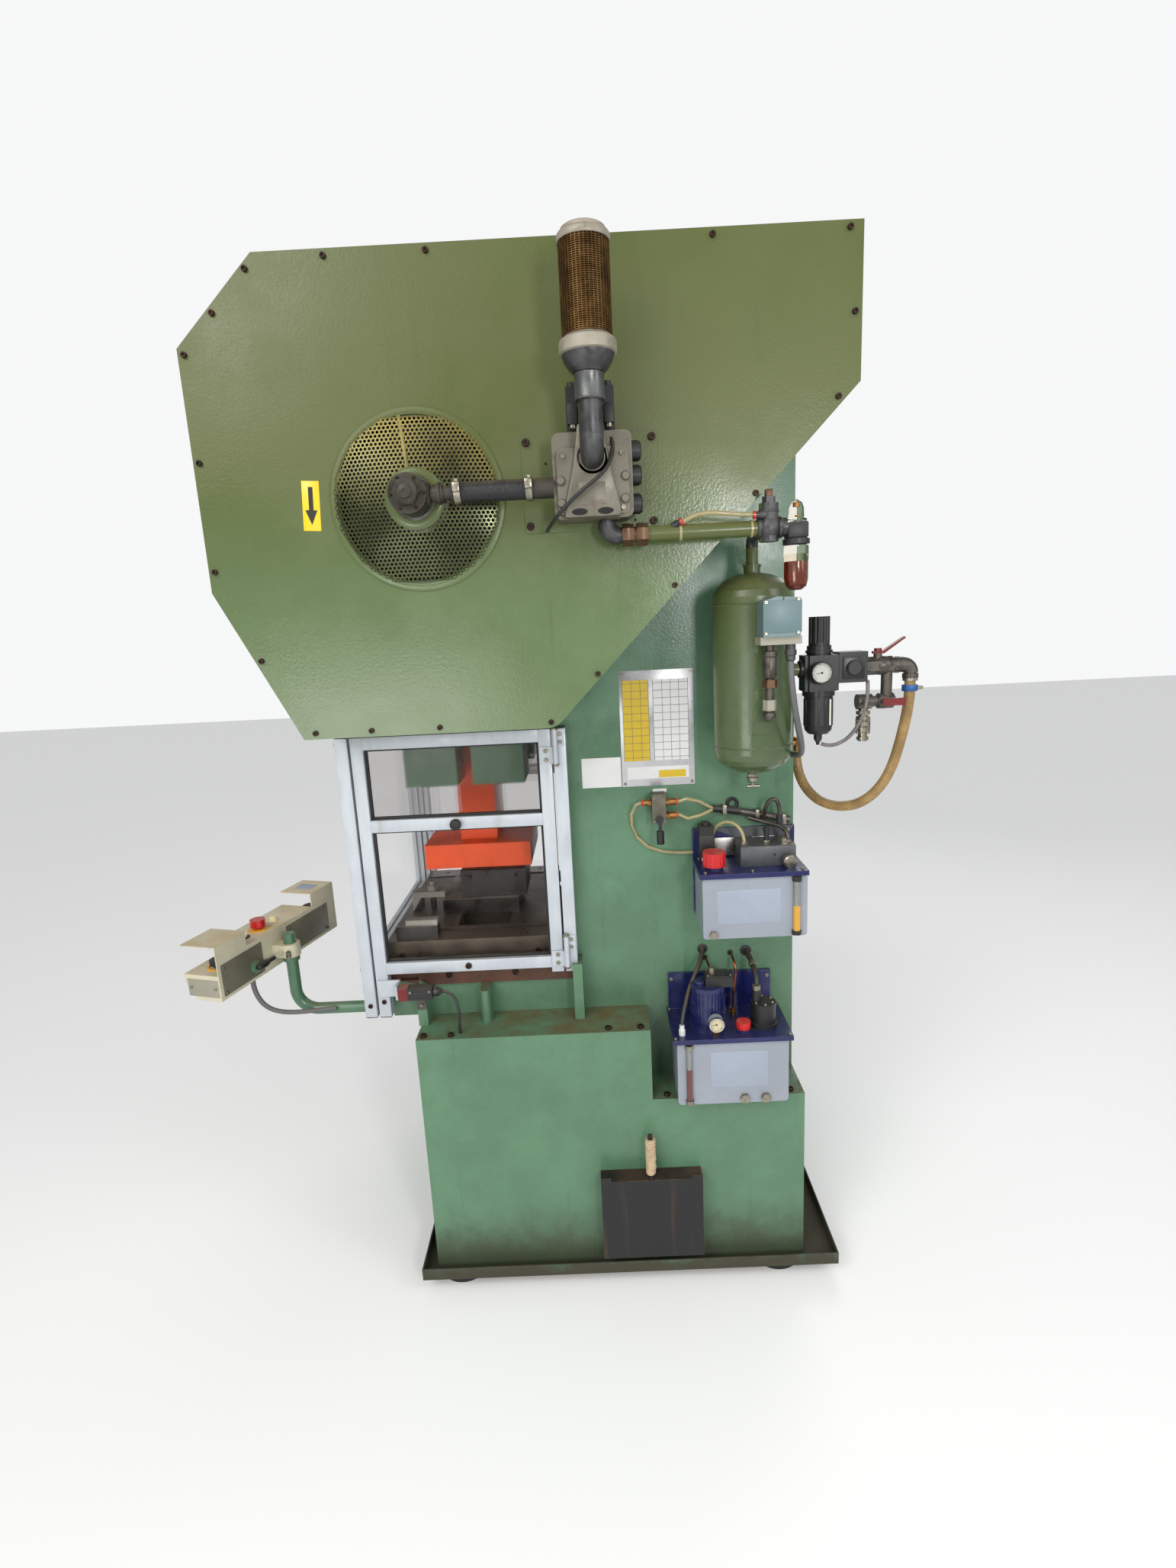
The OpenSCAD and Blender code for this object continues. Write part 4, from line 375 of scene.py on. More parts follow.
class Tree:
    """Adds nodes to a tree and links them in one go."""

    def __init__(self, tree):
        self.tree = tree

    def node(self, kind, **values):
        """A node of a kind; settings by attribute name, sockets by their label or number."""
        made = self.tree.nodes.new("ShaderNode" + kind)
        for key, value in values.items():
            if hasattr(made, key) and not key[0].isupper():
                setattr(made, key, value)
            else:
                self.feed(made, key.replace("_", " "), value)
        return made

    def feed(self, node, socket, value):
        """Links a socket's value, or sets it."""
        target = node.inputs[socket]
        if isinstance(value, bpy.types.NodeSocket):
            self.tree.links.new(value, target)
        else:
            target.default_value = value

    def math(self, operation, a, b=0.0, clamp=False):
        """One sum of two values."""
        made = self.tree.nodes.new("ShaderNodeMath")
        made.operation = operation
        made.use_clamp = clamp
        self.feed(made, 0, a)
        self.feed(made, 1, b)
        return made.outputs[0]

    def ramp(self, value, low, high, out_low=0.0, out_high=1.0):
        """A smooth step of value from low to high."""
        made = self.tree.nodes.new("ShaderNodeMapRange")
        made.interpolation_type = "SMOOTHSTEP"
        for socket, given in enumerate((value, low, high, out_low, out_high)):
            self.feed(made, socket, given)
        return made.outputs[0]

    def mix(self, factor, a, b):
        """A mix of two colours."""
        made = self.tree.nodes.new("ShaderNodeMix")
        made.data_type = "RGBA"
        self.feed(made, 0, factor)
        self.feed(made, 6, a)
        self.feed(made, 7, b)
        return made.outputs[2]

    def times(self, a, b, clamp=False):
        """The product of two values."""
        return self.math("MULTIPLY", a, b, clamp)

    def noise(self, vector, scale, detail=4.0, rough=0.55):
        """A noise round 0.5."""
        made = self.node("TexNoise", Scale=scale, Detail=detail, Roughness=rough)
        self.feed(made, "Vector", vector)
        return made.outputs[0]

    def place(self):
        """Object coordinates, in metres in the press's frame."""
        return self.tree.nodes.new("ShaderNodeTexCoord").outputs["Object"]

    def stretch(self, vector, scale):
        """Coordinates scaled along each axis."""
        made = self.node("Mapping")
        self.feed(made, "Vector", vector)
        made.inputs["Scale"].default_value = scale
        return made.outputs[0]

    def group(self, name, output, **values):
        """One output of a shared group, with its own values."""
        made = self.tree.nodes.new("ShaderNodeGroup")
        made.node_tree = bpy.data.node_groups[name]
        for key, value in values.items():
            self.feed(made, key.replace("_", " "), value)
        return made.outputs[output]


def build_mottle():
    """Slow and fine unevenness, each about 0.5."""
    tree, given, out = new_group("mottle", [("Scale", 4.0), ("Fine Scale", 60.0)], ["Slow", "Fine"])
    place = tree.place()
    tree.feed(out, "Slow", tree.noise(place, given.outputs["Scale"], 5.0, 0.6))
    tree.feed(out, "Fine", tree.noise(place, given.outputs["Fine Scale"], 3.0, 0.5))


def build_wear():
    """Worn edges: where a rounded normal leaves the true one, broken up by noise."""
    tree, given, out = new_group("edge wear", [("Radius", 0.002), ("Amount", 0.5), ("Scale", 40.0)], ["Mask"])
    soft = tree.node("Bevel", samples=4)
    tree.feed(soft, "Radius", given.outputs["Radius"])
    true = tree.tree.nodes.new("ShaderNodeNewGeometry").outputs["Normal"]
    dot = tree.tree.nodes.new("ShaderNodeVectorMath")
    dot.operation = "DOT_PRODUCT"
    tree.feed(dot, 0, soft.outputs[0])
    tree.feed(dot, 1, true)
    edge = tree.math("SUBTRACT", 1.0, dot.outputs["Value"])
    broken = tree.ramp(tree.noise(tree.place(), given.outputs["Scale"], 5.0, 0.7), 0.38, 0.66)
    strength = tree.times(tree.ramp(edge, 0.01, 0.16), broken)
    tree.feed(out, "Mask", tree.times(strength, given.outputs["Amount"], clamp=True))


def build_streaks():
    """Runs of dirt and oil down upright faces."""
    tree, given, out = new_group("streaks", [("Scale", 30.0), ("Amount", 0.5)], ["Mask"])
    thin = tree.stretch(tree.place(), (1.0, 1.0, 0.05))
    lines = tree.ramp(tree.noise(thin, given.outputs["Scale"], 3.0, 0.6), 0.56, 0.76)
    fade = tree.ramp(tree.noise(tree.place(), 3.0, 2.0), 0.42, 0.62)
    both = tree.times(lines, fade)
    tree.feed(out, "Mask", tree.times(both, given.outputs["Amount"], clamp=True))


def build_dust():
    """Dust and oily dirt that settle on faces that look up."""
    tree, given, out = new_group("dust", [("Amount", 0.5), ("Scale", 9.0)], ["Mask"])
    normal = tree.tree.nodes.new("ShaderNodeNewGeometry").outputs["Normal"]
    split = tree.tree.nodes.new("ShaderNodeSeparateXYZ")
    tree.feed(split, 0, normal)
    up = tree.ramp(split.outputs[2], 0.35, 0.95)
    patchy = tree.ramp(tree.noise(tree.place(), given.outputs["Scale"], 5.0, 0.65), 0.3, 0.7)
    both = tree.times(up, patchy)
    tree.feed(out, "Mask", tree.times(both, given.outputs["Amount"], clamp=True))


def build_chips():
    """Small chipped or rusty spots with a hard edge; Share is how much they cover."""
    tree, given, out = new_group("chips", [("Scale", 45.0), ("Share", 0.1)], ["Mask"])
    noise = tree.noise(tree.place(), given.outputs["Scale"], 6.0, 0.7)
    level = tree.math("SUBTRACT", 0.78, tree.times(given.outputs["Share"], 0.4))
    spot = tree.math("SUBTRACT", noise, level)
    tree.feed(out, "Mask", tree.times(spot, 40.0, clamp=True))


def build_soil():
    """Grime that rises from a low edge: full under Low, gone over High."""
    tree, given, out = new_group("soil", [("Low", 0.05), ("High", 0.3), ("Amount", 0.6)], ["Mask"])
    place = tree.place()
    split = tree.tree.nodes.new("ShaderNodeSeparateXYZ")
    tree.feed(split, 0, place)
    ragged = tree.times(tree.math("SUBTRACT", tree.noise(place, 14.0, 5.0, 0.65), 0.5), 0.16)
    height = tree.math("ADD", split.outputs[2], ragged)
    fall = tree.ramp(height, given.outputs["Low"], given.outputs["High"], 1.0, 0.0)
    tree.feed(out, "Mask", tree.times(fall, given.outputs["Amount"], clamp=True))


GROUPS = (build_mottle, build_wear, build_streaks, build_dust, build_chips, build_soil)


# Finishes

def srgb(red, green, blue):
    """A colour as a screen shows it, 0 to 255, as the linear one that shaders use."""
    def channel(value):
        value /= 255
        return value / 12.92 if value <= 0.04045 else ((value + 0.055) / 1.055) ** 2.4
    return channel(red), channel(green), channel(blue), 1.0


def shade(colour, factor):
    """A lighter or darker colour."""
    return (*[min(1.0, c * factor) for c in colour[:3]], 1.0)


RUST = srgb(96, 52, 26)
DIRT = srgb(52, 44, 28)
TAN_DUST = srgb(150, 130, 96)
PRIMER = srgb(70, 66, 56)

FINISHES = {}


def recipe(name, colour, rough, **values):
    """Keeps a finish's recipe; the material is made when a piece first asks for it."""
    FINISHES[name] = {"colour": colour, "rough": rough, **values}


def material(name):
    """A finish's material, under a title that no slot of the frame has."""
    title = "finish " + name
    if title not in bpy.data.materials:
        build_finish(title, **FINISHES[name])
    return bpy.data.materials[title]


def build_finish(name, colour, rough, metal=0.0, mottle=0.12, scale=4.0, second=None,
                 second_from=None, wear=0.0, worn=PRIMER, streaks=0.0, streak=DIRT, dust=0.0, dusty=TAN_DUST,
                 chips=0.0, chip=RUST, chip_scale=45.0, soil=None, grain=0.0, grain_scale=400.0,
                 brushed=None, coat=0.0, transmission=0.0, ior=1.5, alpha=1.0, weave=None, spread=0.15):
    """A painted, metal, plastic or glass finish, put together from the shared groups."""
    made = bpy.data.materials.new(name)
    made.use_nodes = True
    tree = Tree(made.node_tree)
    shader = made.node_tree.nodes["Principled BSDF"]
    slow = tree.group("mottle", "Slow", Scale=scale)
    small = tree.group("mottle", "Fine", Scale=scale)
    tone = tree.mix(tree.ramp(slow, 0.3, 0.7), shade(colour, 1 - mottle), shade(colour, 1 + mottle))
    tone = tree.mix(tree.times(tree.ramp(small, 0.35, 0.75), mottle), tone, shade(colour, 0.6))
    rough_value = tree.ramp(slow, 0.25, 0.75, max(0.04, rough - spread), min(1.0, rough + spread))
    height = tree.times(tree.noise(tree.place(), grain_scale, 3.0), grain)
    # Towards the top the tone blends into an upper colour: on the guard and the tank an olive that is partly
    # paint dulled by oil and partly a painted warm reflection, on the vent a painted gold glint
    if second:
        split = tree.tree.nodes.new("ShaderNodeSeparateXYZ")
        tree.feed(split, 0, tree.place())
        uneven = tree.math("ADD", split.outputs[2], tree.times(slow, 0.35))
        share = tree.ramp(uneven, *second_from)
        tone = tree.mix(share, tone, second)
        rough_value = tree.math("ADD", rough_value, tree.times(share, 0.18), clamp=True)
    if brushed:
        lines = tree.noise(tree.stretch(tree.place(), brushed), 1.0, 4.0, 0.7)
        tone = tree.mix(tree.times(lines, 0.35), tone, shade(colour, 0.55))
        rough_value = tree.math("ADD", rough_value, tree.times(lines, 0.22), clamp=True)
        height = tree.math("ADD", height, tree.times(lines, 0.25))
    if weave:
        threads = tree.node("TexWave", Scale=weave, Distortion=1.5)
        tree.feed(threads, "Vector", tree.place())
        height = tree.math("ADD", height, threads.outputs[1])
        tone = tree.mix(tree.times(threads.outputs[1], 0.35), tone, shade(colour, 0.5))
    for amount, group, values, paint, roughness in (
        (streaks, "streaks", {"Amount": streaks}, streak, 0.3),
        (dust, "dust", {"Amount": dust}, dusty, 0.8),
        (soil, "soil", soil or {}, DIRT, 0.75),
        (chips, "chips", {"Share": chips, "Scale": chip_scale}, chip, 0.85),
        (wear, "edge wear", {"Amount": wear}, worn, 0.6),
    ):
        if not amount:
            continue
        mask = tree.group(group, "Mask", **values)
        tone = tree.mix(mask, tone, paint)
        change = tree.times(mask, tree.math("SUBTRACT", roughness, rough_value))
        rough_value = tree.math("ADD", rough_value, change, clamp=True)
        if group in ("chips", "edge wear"):
            height = tree.math("SUBTRACT", height, tree.times(mask, 0.6))
    tree.feed(shader, "Base Color", tone)
    tree.feed(shader, "Roughness", rough_value)
    bump = tree.node("Bump", Strength=0.35, Distance=0.0006)
    tree.feed(bump, "Height", height)
    tree.feed(shader, "Normal", bump.outputs[0])
    plain = {"Metallic": metal, "Coat Weight": coat, "Transmission Weight": transmission, "IOR": ior,
             "Alpha": alpha}
    for socket, value in plain.items():
        shader.inputs[socket].default_value = value


def define_finishes(colours):
    """The recipe of every finish, from the colours that a user may change."""
    green = (*colours.green, 1.0)
    olive = (*colours.olive, 1.0)
    base = (*colours.base_green, 1.0)
    cream = (*colours.cream, 1.0)
    orange = (*colours.orange, 1.0)
    # The guard's upper part blends into the olive: partly paint dulled by oil, partly a painted warm
    # reflection
    recipe("guard paint", green, 0.2, second=olive, second_from=(1.86, 2.22), mottle=0.07, scale=2.5,
           streaks=0.3, streak=srgb(60, 74, 48), dust=0.3, wear=0.55, chips=0.02, chip_scale=70.0,
           grain=1.6, grain_scale=210.0)
    recipe("frame paint", base, 0.32, mottle=0.14, scale=5.0, streaks=0.45, streak=srgb(50, 66, 42),
           dust=0.75, dusty=srgb(80, 68, 38), wear=0.7, chips=0.045, chip=RUST, grain=1.5,
           grain_scale=190.0, soil={"Low": 0.62, "High": 0.86, "Amount": 0.25})
    recipe("base paint", base, 0.34, mottle=0.12, scale=5.0, streaks=0.45, streak=srgb(54, 68, 42),
           dust=0.95, dusty=srgb(90, 72, 38), wear=0.85, worn=srgb(78, 52, 32), chips=0.05, chip=RUST,
           grain=1.4, grain_scale=190.0, soil={"Low": 0.06, "High": 0.24, "Amount": 0.75})
    recipe("tray paint", shade(base, 0.55), 0.42, mottle=0.2, streaks=0.6, dust=1.0, dusty=srgb(46, 38, 24),
           wear=0.9, chips=0.1, grain=0.3, soil={"Low": 0.05, "High": 0.12, "Amount": 0.9})
    # The tank's top blends into a darker olive: partly paint dulled by oil, partly a painted warm reflection
    recipe("tank paint", shade(green, 0.66), 0.2, second=shade(olive, 0.92), second_from=(1.75, 2.05),
           mottle=0.12, streaks=0.35, dust=0.3, wear=0.4, grain=1.2, grain_scale=230.0)
    recipe("post paint", shade(base, 0.92), 0.3, mottle=0.12, streaks=0.3, dust=0.4, wear=0.6, chips=0.05)
    recipe("console cream", cream, 0.4, mottle=0.12, streaks=0.4, streak=srgb(132, 98, 58), dust=0.6,
           dusty=srgb(176, 146, 98), wear=0.8, worn=srgb(112, 74, 42), chips=0.06, chip=srgb(128, 84, 48),
           grain=0.3)
    recipe("console grey", srgb(98, 95, 80), 0.45, mottle=0.2, streaks=0.5, wear=0.6, chips=0.06)
    recipe("ram orange", orange, 0.38, mottle=0.12, streaks=0.45, streak=srgb(96, 38, 16), dust=0.5,
           dusty=srgb(112, 60, 30), wear=0.75, worn=srgb(64, 46, 38), chips=0.06)
    recipe("rusty plate", srgb(84, 54, 40), 0.48, metal=0.25, mottle=0.3, scale=16.0, streaks=0.5, wear=0.6,
           worn=srgb(120, 92, 70), chips=0.2, chip_scale=30.0, dust=0.3)
    recipe("bed steel", srgb(88, 78, 68), 0.4, metal=0.6, mottle=0.2, scale=14.0, streaks=0.3, wear=0.8,
           worn=srgb(150, 142, 130), chips=0.12, chip_scale=30.0)
    recipe("ground steel", srgb(150, 144, 134), 0.4, metal=0.4, mottle=0.16, scale=14.0, dust=0.7,
           dusty=srgb(64, 50, 34), wear=0.4, worn=srgb(170, 165, 155), chips=0.08, chip=srgb(84, 54, 32),
           brushed=(600.0, 25.0, 600.0))
    recipe("bright steel", srgb(196, 194, 188), 0.22, metal=1.0, mottle=0.1, scale=20.0,
           brushed=(40.0, 700.0, 40.0), dust=0.25, dusty=srgb(88, 76, 60))
    recipe("tool steel", srgb(66, 62, 60), 0.38, metal=0.75, mottle=0.2, scale=20.0, streaks=0.5, wear=0.9,
           worn=srgb(150, 144, 134), dust=0.5, dusty=srgb(44, 36, 28))
    # Very dark iron for the drive parts: partly oily iron, partly painted shade, so the vent's holes look
    # dark
    recipe("oily iron with painted shade", srgb(30, 29, 26), 0.45, metal=0.4, mottle=0.3, scale=18.0, grain=1.0)
    recipe("dark iron", srgb(74, 74, 75), 0.42, metal=0.65, mottle=0.3, scale=40.0, grain=1.4,
           grain_scale=380.0, streaks=0.3, dust=0.35, dusty=srgb(66, 58, 44), wear=0.6,
           worn=srgb(150, 146, 138))
    # Dark olive sheet that turns gold towards the top: the gold is a painted glint
    recipe("vent sheet with painted glint", srgb(66, 71, 38), 0.3, second=srgb(158, 138, 72), second_from=(2.08, 2.42),
           metal=0.55, mottle=0.14, scale=9.0, streaks=0.3, wear=0.3)
    recipe("braided sleeve", srgb(96, 92, 88), 0.4, metal=0.7, mottle=0.2, weave=150.0)
    recipe("clamp blue", srgb(44, 84, 142), 0.4, metal=0.3, mottle=0.15, wear=0.4)
    recipe("cast iron", srgb(58, 58, 56), 0.55, metal=0.35, mottle=0.2, scale=18.0, grain=1.2,
           grain_scale=500.0, wear=0.8, worn=srgb(112, 106, 98), dust=0.5)
    recipe("union iron", srgb(60, 58, 50), 0.42, metal=0.6, mottle=0.2, scale=24.0, grain=0.8,
           grain_scale=420.0, wear=0.8, worn=srgb(118, 108, 92), dust=0.5)
    recipe("screw black", srgb(42, 28, 22), 0.5, metal=0.6, mottle=0.4, scale=120.0, wear=0.8,
           worn=srgb(120, 84, 56), chips=0.3, chip_scale=220.0)
    recipe("zinc screw", srgb(146, 140, 126), 0.32, metal=0.9, mottle=0.2, scale=80.0, chips=0.1,
           chip_scale=200.0)
    recipe("cast aluminium", srgb(104, 100, 88), 0.45, metal=0.6, mottle=0.14, scale=30.0, grain=1.2,
           grain_scale=650.0, streaks=0.5, dust=0.6, dusty=srgb(62, 54, 40), wear=0.7,
           worn=srgb(160, 154, 140))
    recipe("profile aluminium", srgb(184, 190, 196), 0.36, metal=0.25, mottle=0.06, scale=12.0,
           streaks=0.35, streak=srgb(120, 108, 84), dust=0.5, dusty=srgb(132, 116, 88), wear=0.25,
           worn=srgb(120, 112, 98), brushed=(60.0, 60.0, 8.0))
    recipe("galvanised", srgb(84, 79, 73), 0.4, metal=0.7, mottle=0.28, scale=40.0, grain=0.7, streaks=0.4,
           wear=0.5, worn=srgb(124, 119, 110), chips=0.08, chip_scale=120.0)
    recipe("machined block", srgb(84, 86, 89), 0.42, metal=0.5, mottle=0.16, scale=30.0, streaks=0.3,
           dust=0.4, wear=0.5, worn=srgb(140, 140, 138), grain=0.4)
    recipe("chrome", srgb(206, 206, 204), 0.12, metal=1.0, mottle=0.06, dust=0.3)
    recipe("brass", srgb(150, 108, 60), 0.34, metal=0.95, mottle=0.2, scale=60.0, dust=0.4, wear=0.5,
           worn=srgb(196, 158, 96))
    recipe("old brass", srgb(96, 72, 54), 0.45, metal=0.7, mottle=0.3, scale=60.0, dust=0.4, wear=0.6,
           worn=srgb(140, 108, 74))
    recipe("bronze mesh", srgb(84, 60, 30), 0.45, metal=0.8, mottle=0.2, scale=16.0, dust=0.5,
           dusty=srgb(70, 52, 28), streaks=0.5, wear=0.4, worn=srgb(178, 140, 84), grain=0.5)
    recipe("pale casting", srgb(150, 143, 128), 0.5, metal=0.25, mottle=0.14, scale=30.0, dust=0.7,
           dusty=srgb(98, 84, 56), streaks=0.5, streak=srgb(92, 70, 40), wear=0.5, worn=srgb(96, 80, 58),
           grain=0.6)
    recipe("grey casting", srgb(96, 98, 97), 0.36, metal=0.75, mottle=0.2, scale=30.0, grain=0.8,
           streaks=0.3, dust=0.5, wear=0.6, worn=srgb(150, 150, 146))
    recipe("black plastic", srgb(26, 26, 27), 0.42, mottle=0.15, grain=0.5, grain_scale=700.0, dust=0.45,
           dusty=srgb(96, 86, 70), wear=0.3, worn=srgb(70, 68, 64))
    recipe("black rubber", srgb(24, 24, 25), 0.62, mottle=0.2, grain=0.8, grain_scale=600.0, dust=0.55,
           dusty=srgb(92, 82, 64), streaks=0.2, streak=srgb(70, 62, 50))
    recipe("belt rubber", srgb(30, 29, 28), 0.6, mottle=0.2, dust=0.4, grain=0.8)
    recipe("foot rubber", srgb(28, 28, 28), 0.7, mottle=0.25, dust=0.9, grain=0.9)
    recipe("black sheet", srgb(20, 18, 20), 0.55, mottle=0.3, scale=9.0, streaks=0.6,
           streak=srgb(62, 42, 28), dust=0.5, dusty=srgb(84, 60, 36), wear=1.0, worn=srgb(116, 78, 48),
           chips=0.1, chip=srgb(82, 52, 32))
    recipe("navy enamel", srgb(24, 30, 78), 0.24, mottle=0.14, dust=0.4, dusty=srgb(52, 50, 60),
           streaks=0.3, wear=0.6, worn=srgb(120, 122, 130), chips=0.03)
    recipe("white tank", srgb(136, 142, 151), 0.38, mottle=0.06, streaks=0.3, streak=srgb(130, 128, 120),
           dust=0.4, dusty=srgb(130, 120, 104), wear=0.35, worn=srgb(140, 140, 140))
    recipe("bare label", srgb(143, 151, 164), 0.3, mottle=0.05, streaks=0.2, wear=0.3)
    recipe("blue grey plastic", srgb(92, 114, 117), 0.42, mottle=0.06, dust=0.5, grain=0.4, streaks=0.3,
           wear=0.35, worn=srgb(104, 112, 112))
    recipe("light grey plastic", srgb(140, 137, 122), 0.46, mottle=0.07, dust=0.4, grain=0.4)
    recipe("red plastic", srgb(184, 22, 24), 0.24, mottle=0.08, dust=0.4, coat=0.3)
    recipe("lever red", srgb(104, 14, 18), 0.36, mottle=0.2, wear=0.8, worn=srgb(94, 70, 60), chips=0.08,
           dust=0.4)
    recipe("button yellow", srgb(222, 156, 26), 0.4, mottle=0.1, dust=0.4, wear=0.4)
    recipe("button pale", srgb(226, 214, 160), 0.3, mottle=0.06, dust=0.4)
    recipe("label yellow", srgb(228, 190, 18), 0.38, mottle=0.06, streaks=0.3, streak=srgb(150, 116, 30),
           wear=0.3, worn=srgb(150, 130, 60), chips=0.02)
    recipe("label black", srgb(22, 22, 20), 0.4, mottle=0.1)
    recipe("plate silver", srgb(184, 184, 186), 0.3, metal=0.5, mottle=0.08, scale=9.0, streaks=0.25,
           wear=0.3)
    recipe("plate white", srgb(206, 206, 204), 0.35, mottle=0.05, streaks=0.25)
    recipe("plate yellow", srgb(196, 166, 22), 0.36, mottle=0.06, streaks=0.2)
    recipe("plate line", srgb(84, 84, 84), 0.5, mottle=0.05)
    recipe("dial white", srgb(214, 212, 200), 0.3, mottle=0.03)
    recipe("clear glass", (0.95, 0.97, 0.97, 1), 0.06, mottle=0.02, transmission=1.0, ior=1.3, spread=0.03)
    recipe("tinted pane", srgb(168, 158, 156), 0.06, mottle=0.03, transmission=1.0, ior=1.2, spread=0.03,
           dust=0.1, alpha=0.36)
    recipe("clear pane", srgb(240, 240, 240), 0.05, mottle=0.02, transmission=1.0, ior=1.1, spread=0.02,
           alpha=0.1)
    recipe("amber oil", srgb(196, 146, 40), 0.12, mottle=0.06, coat=0.5)
    recipe("red oil", srgb(110, 18, 10), 0.1, mottle=0.1, coat=1.0)
    recipe("brown oil", srgb(84, 24, 16), 0.1, mottle=0.1, coat=1.0)
    recipe("clear bowl", srgb(246, 240, 226), 0.05, mottle=0.02, transmission=1.0, ior=1.15, spread=0.02)
    recipe("supply hose", srgb(166, 136, 88), 0.26, mottle=0.22, scale=22.0, transmission=0.35, ior=1.4,
           streaks=0.5, streak=srgb(112, 82, 44), dust=0.4)
    recipe("clear tube", srgb(190, 178, 134), 0.25, mottle=0.12, transmission=0.45, ior=1.4)
    recipe("air hose", srgb(28, 28, 31), 0.46, mottle=0.25, scale=30.0, grain=0.6, dust=0.4, weave=110.0)
    recipe("black cable", srgb(24, 24, 25), 0.48, mottle=0.15, dust=0.4, grain=0.5)
    recipe("grey cable", srgb(92, 92, 92), 0.5, mottle=0.15, dust=0.4, grain=0.5)
    recipe("grey tube", srgb(104, 98, 96), 0.3, mottle=0.2, scale=40.0, streaks=0.3)
    recipe("copper", srgb(160, 92, 58), 0.3, metal=1.0, mottle=0.2, scale=50.0)
    recipe("pale tape", srgb(186, 164, 132), 0.85, mottle=0.3, scale=60.0, weave=420.0, streaks=0.4,
           streak=srgb(96, 72, 48))
    # Near black: painted shade in holes and ports, and the dark line of a seam
    recipe("painted hole shade and seam line", srgb(12, 12, 12), 0.8, mottle=0.1)
    recipe("bearing bronze", srgb(160, 124, 74), 0.35, metal=1.0, mottle=0.15)


# One finish for each node; zones below give parts of a node another one
FINISHED_NODES = {
    "foot rubber": "levelling_feet", "tray paint": "drip_tray", "base paint": "base_near_plate base_plates",
    "black sheet": "scrap_hopper", "frame paint": "side_plates frame_plates bed_table ram_gibs",
    "bed steel": "bolster", "bearing bronze": "main_bearings",
    "bright steel": "crankshaft adjusting_screw flywheel_bearings",
    # The drive parts' iron is partly painted shade
    "oily iron with painted shade": "connecting_rod clutch_and_brake brake_caliper flywheel motor_pulley", "ram orange": "ram",
    "tank paint": "motor air_line air_tank", "belt rubber": "v_belts",
    "tool steel": "upper_die lower_tooling", "guard paint": "guard_rim guard_panel vent_cone valve_plate",
    "union iron": "rotary_union", "air hose": "union_hose", "cast aluminium": "air_valve hand_valve",
    "grey casting": "silencer",
    "black plastic": "lubricator filter_regulator regulator_knob hand_valve_lever safety_switch "
                     "palm_button_near palm_button_far", "zinc screw": "drain_tap",
    "blue grey plastic": "pressure_switch", "galvanised": "inlet_pipework",
    "lever red": "upper_valve_lever lower_valve_lever", "supply hose": "supply_hose",
    "white tank": "upper_lube_unit lower_lube_unit", "red plastic": "filler_caps stop_button",
    "clear tube": "lube_lines", "profile aluminium": "guard_door fixed_guards",
    "tinted pane": "guard_panes", "clear pane": "fixed_panes", "post paint": "console_post",
    "console cream": "console", "button pale": "start_button",
}


# Past the press on every side
FAR = 3000
# A height inside the bed table's top plate, and the throat's plane, which the plate ends at
TABLE_Z = 798
THROAT_X = 247.6

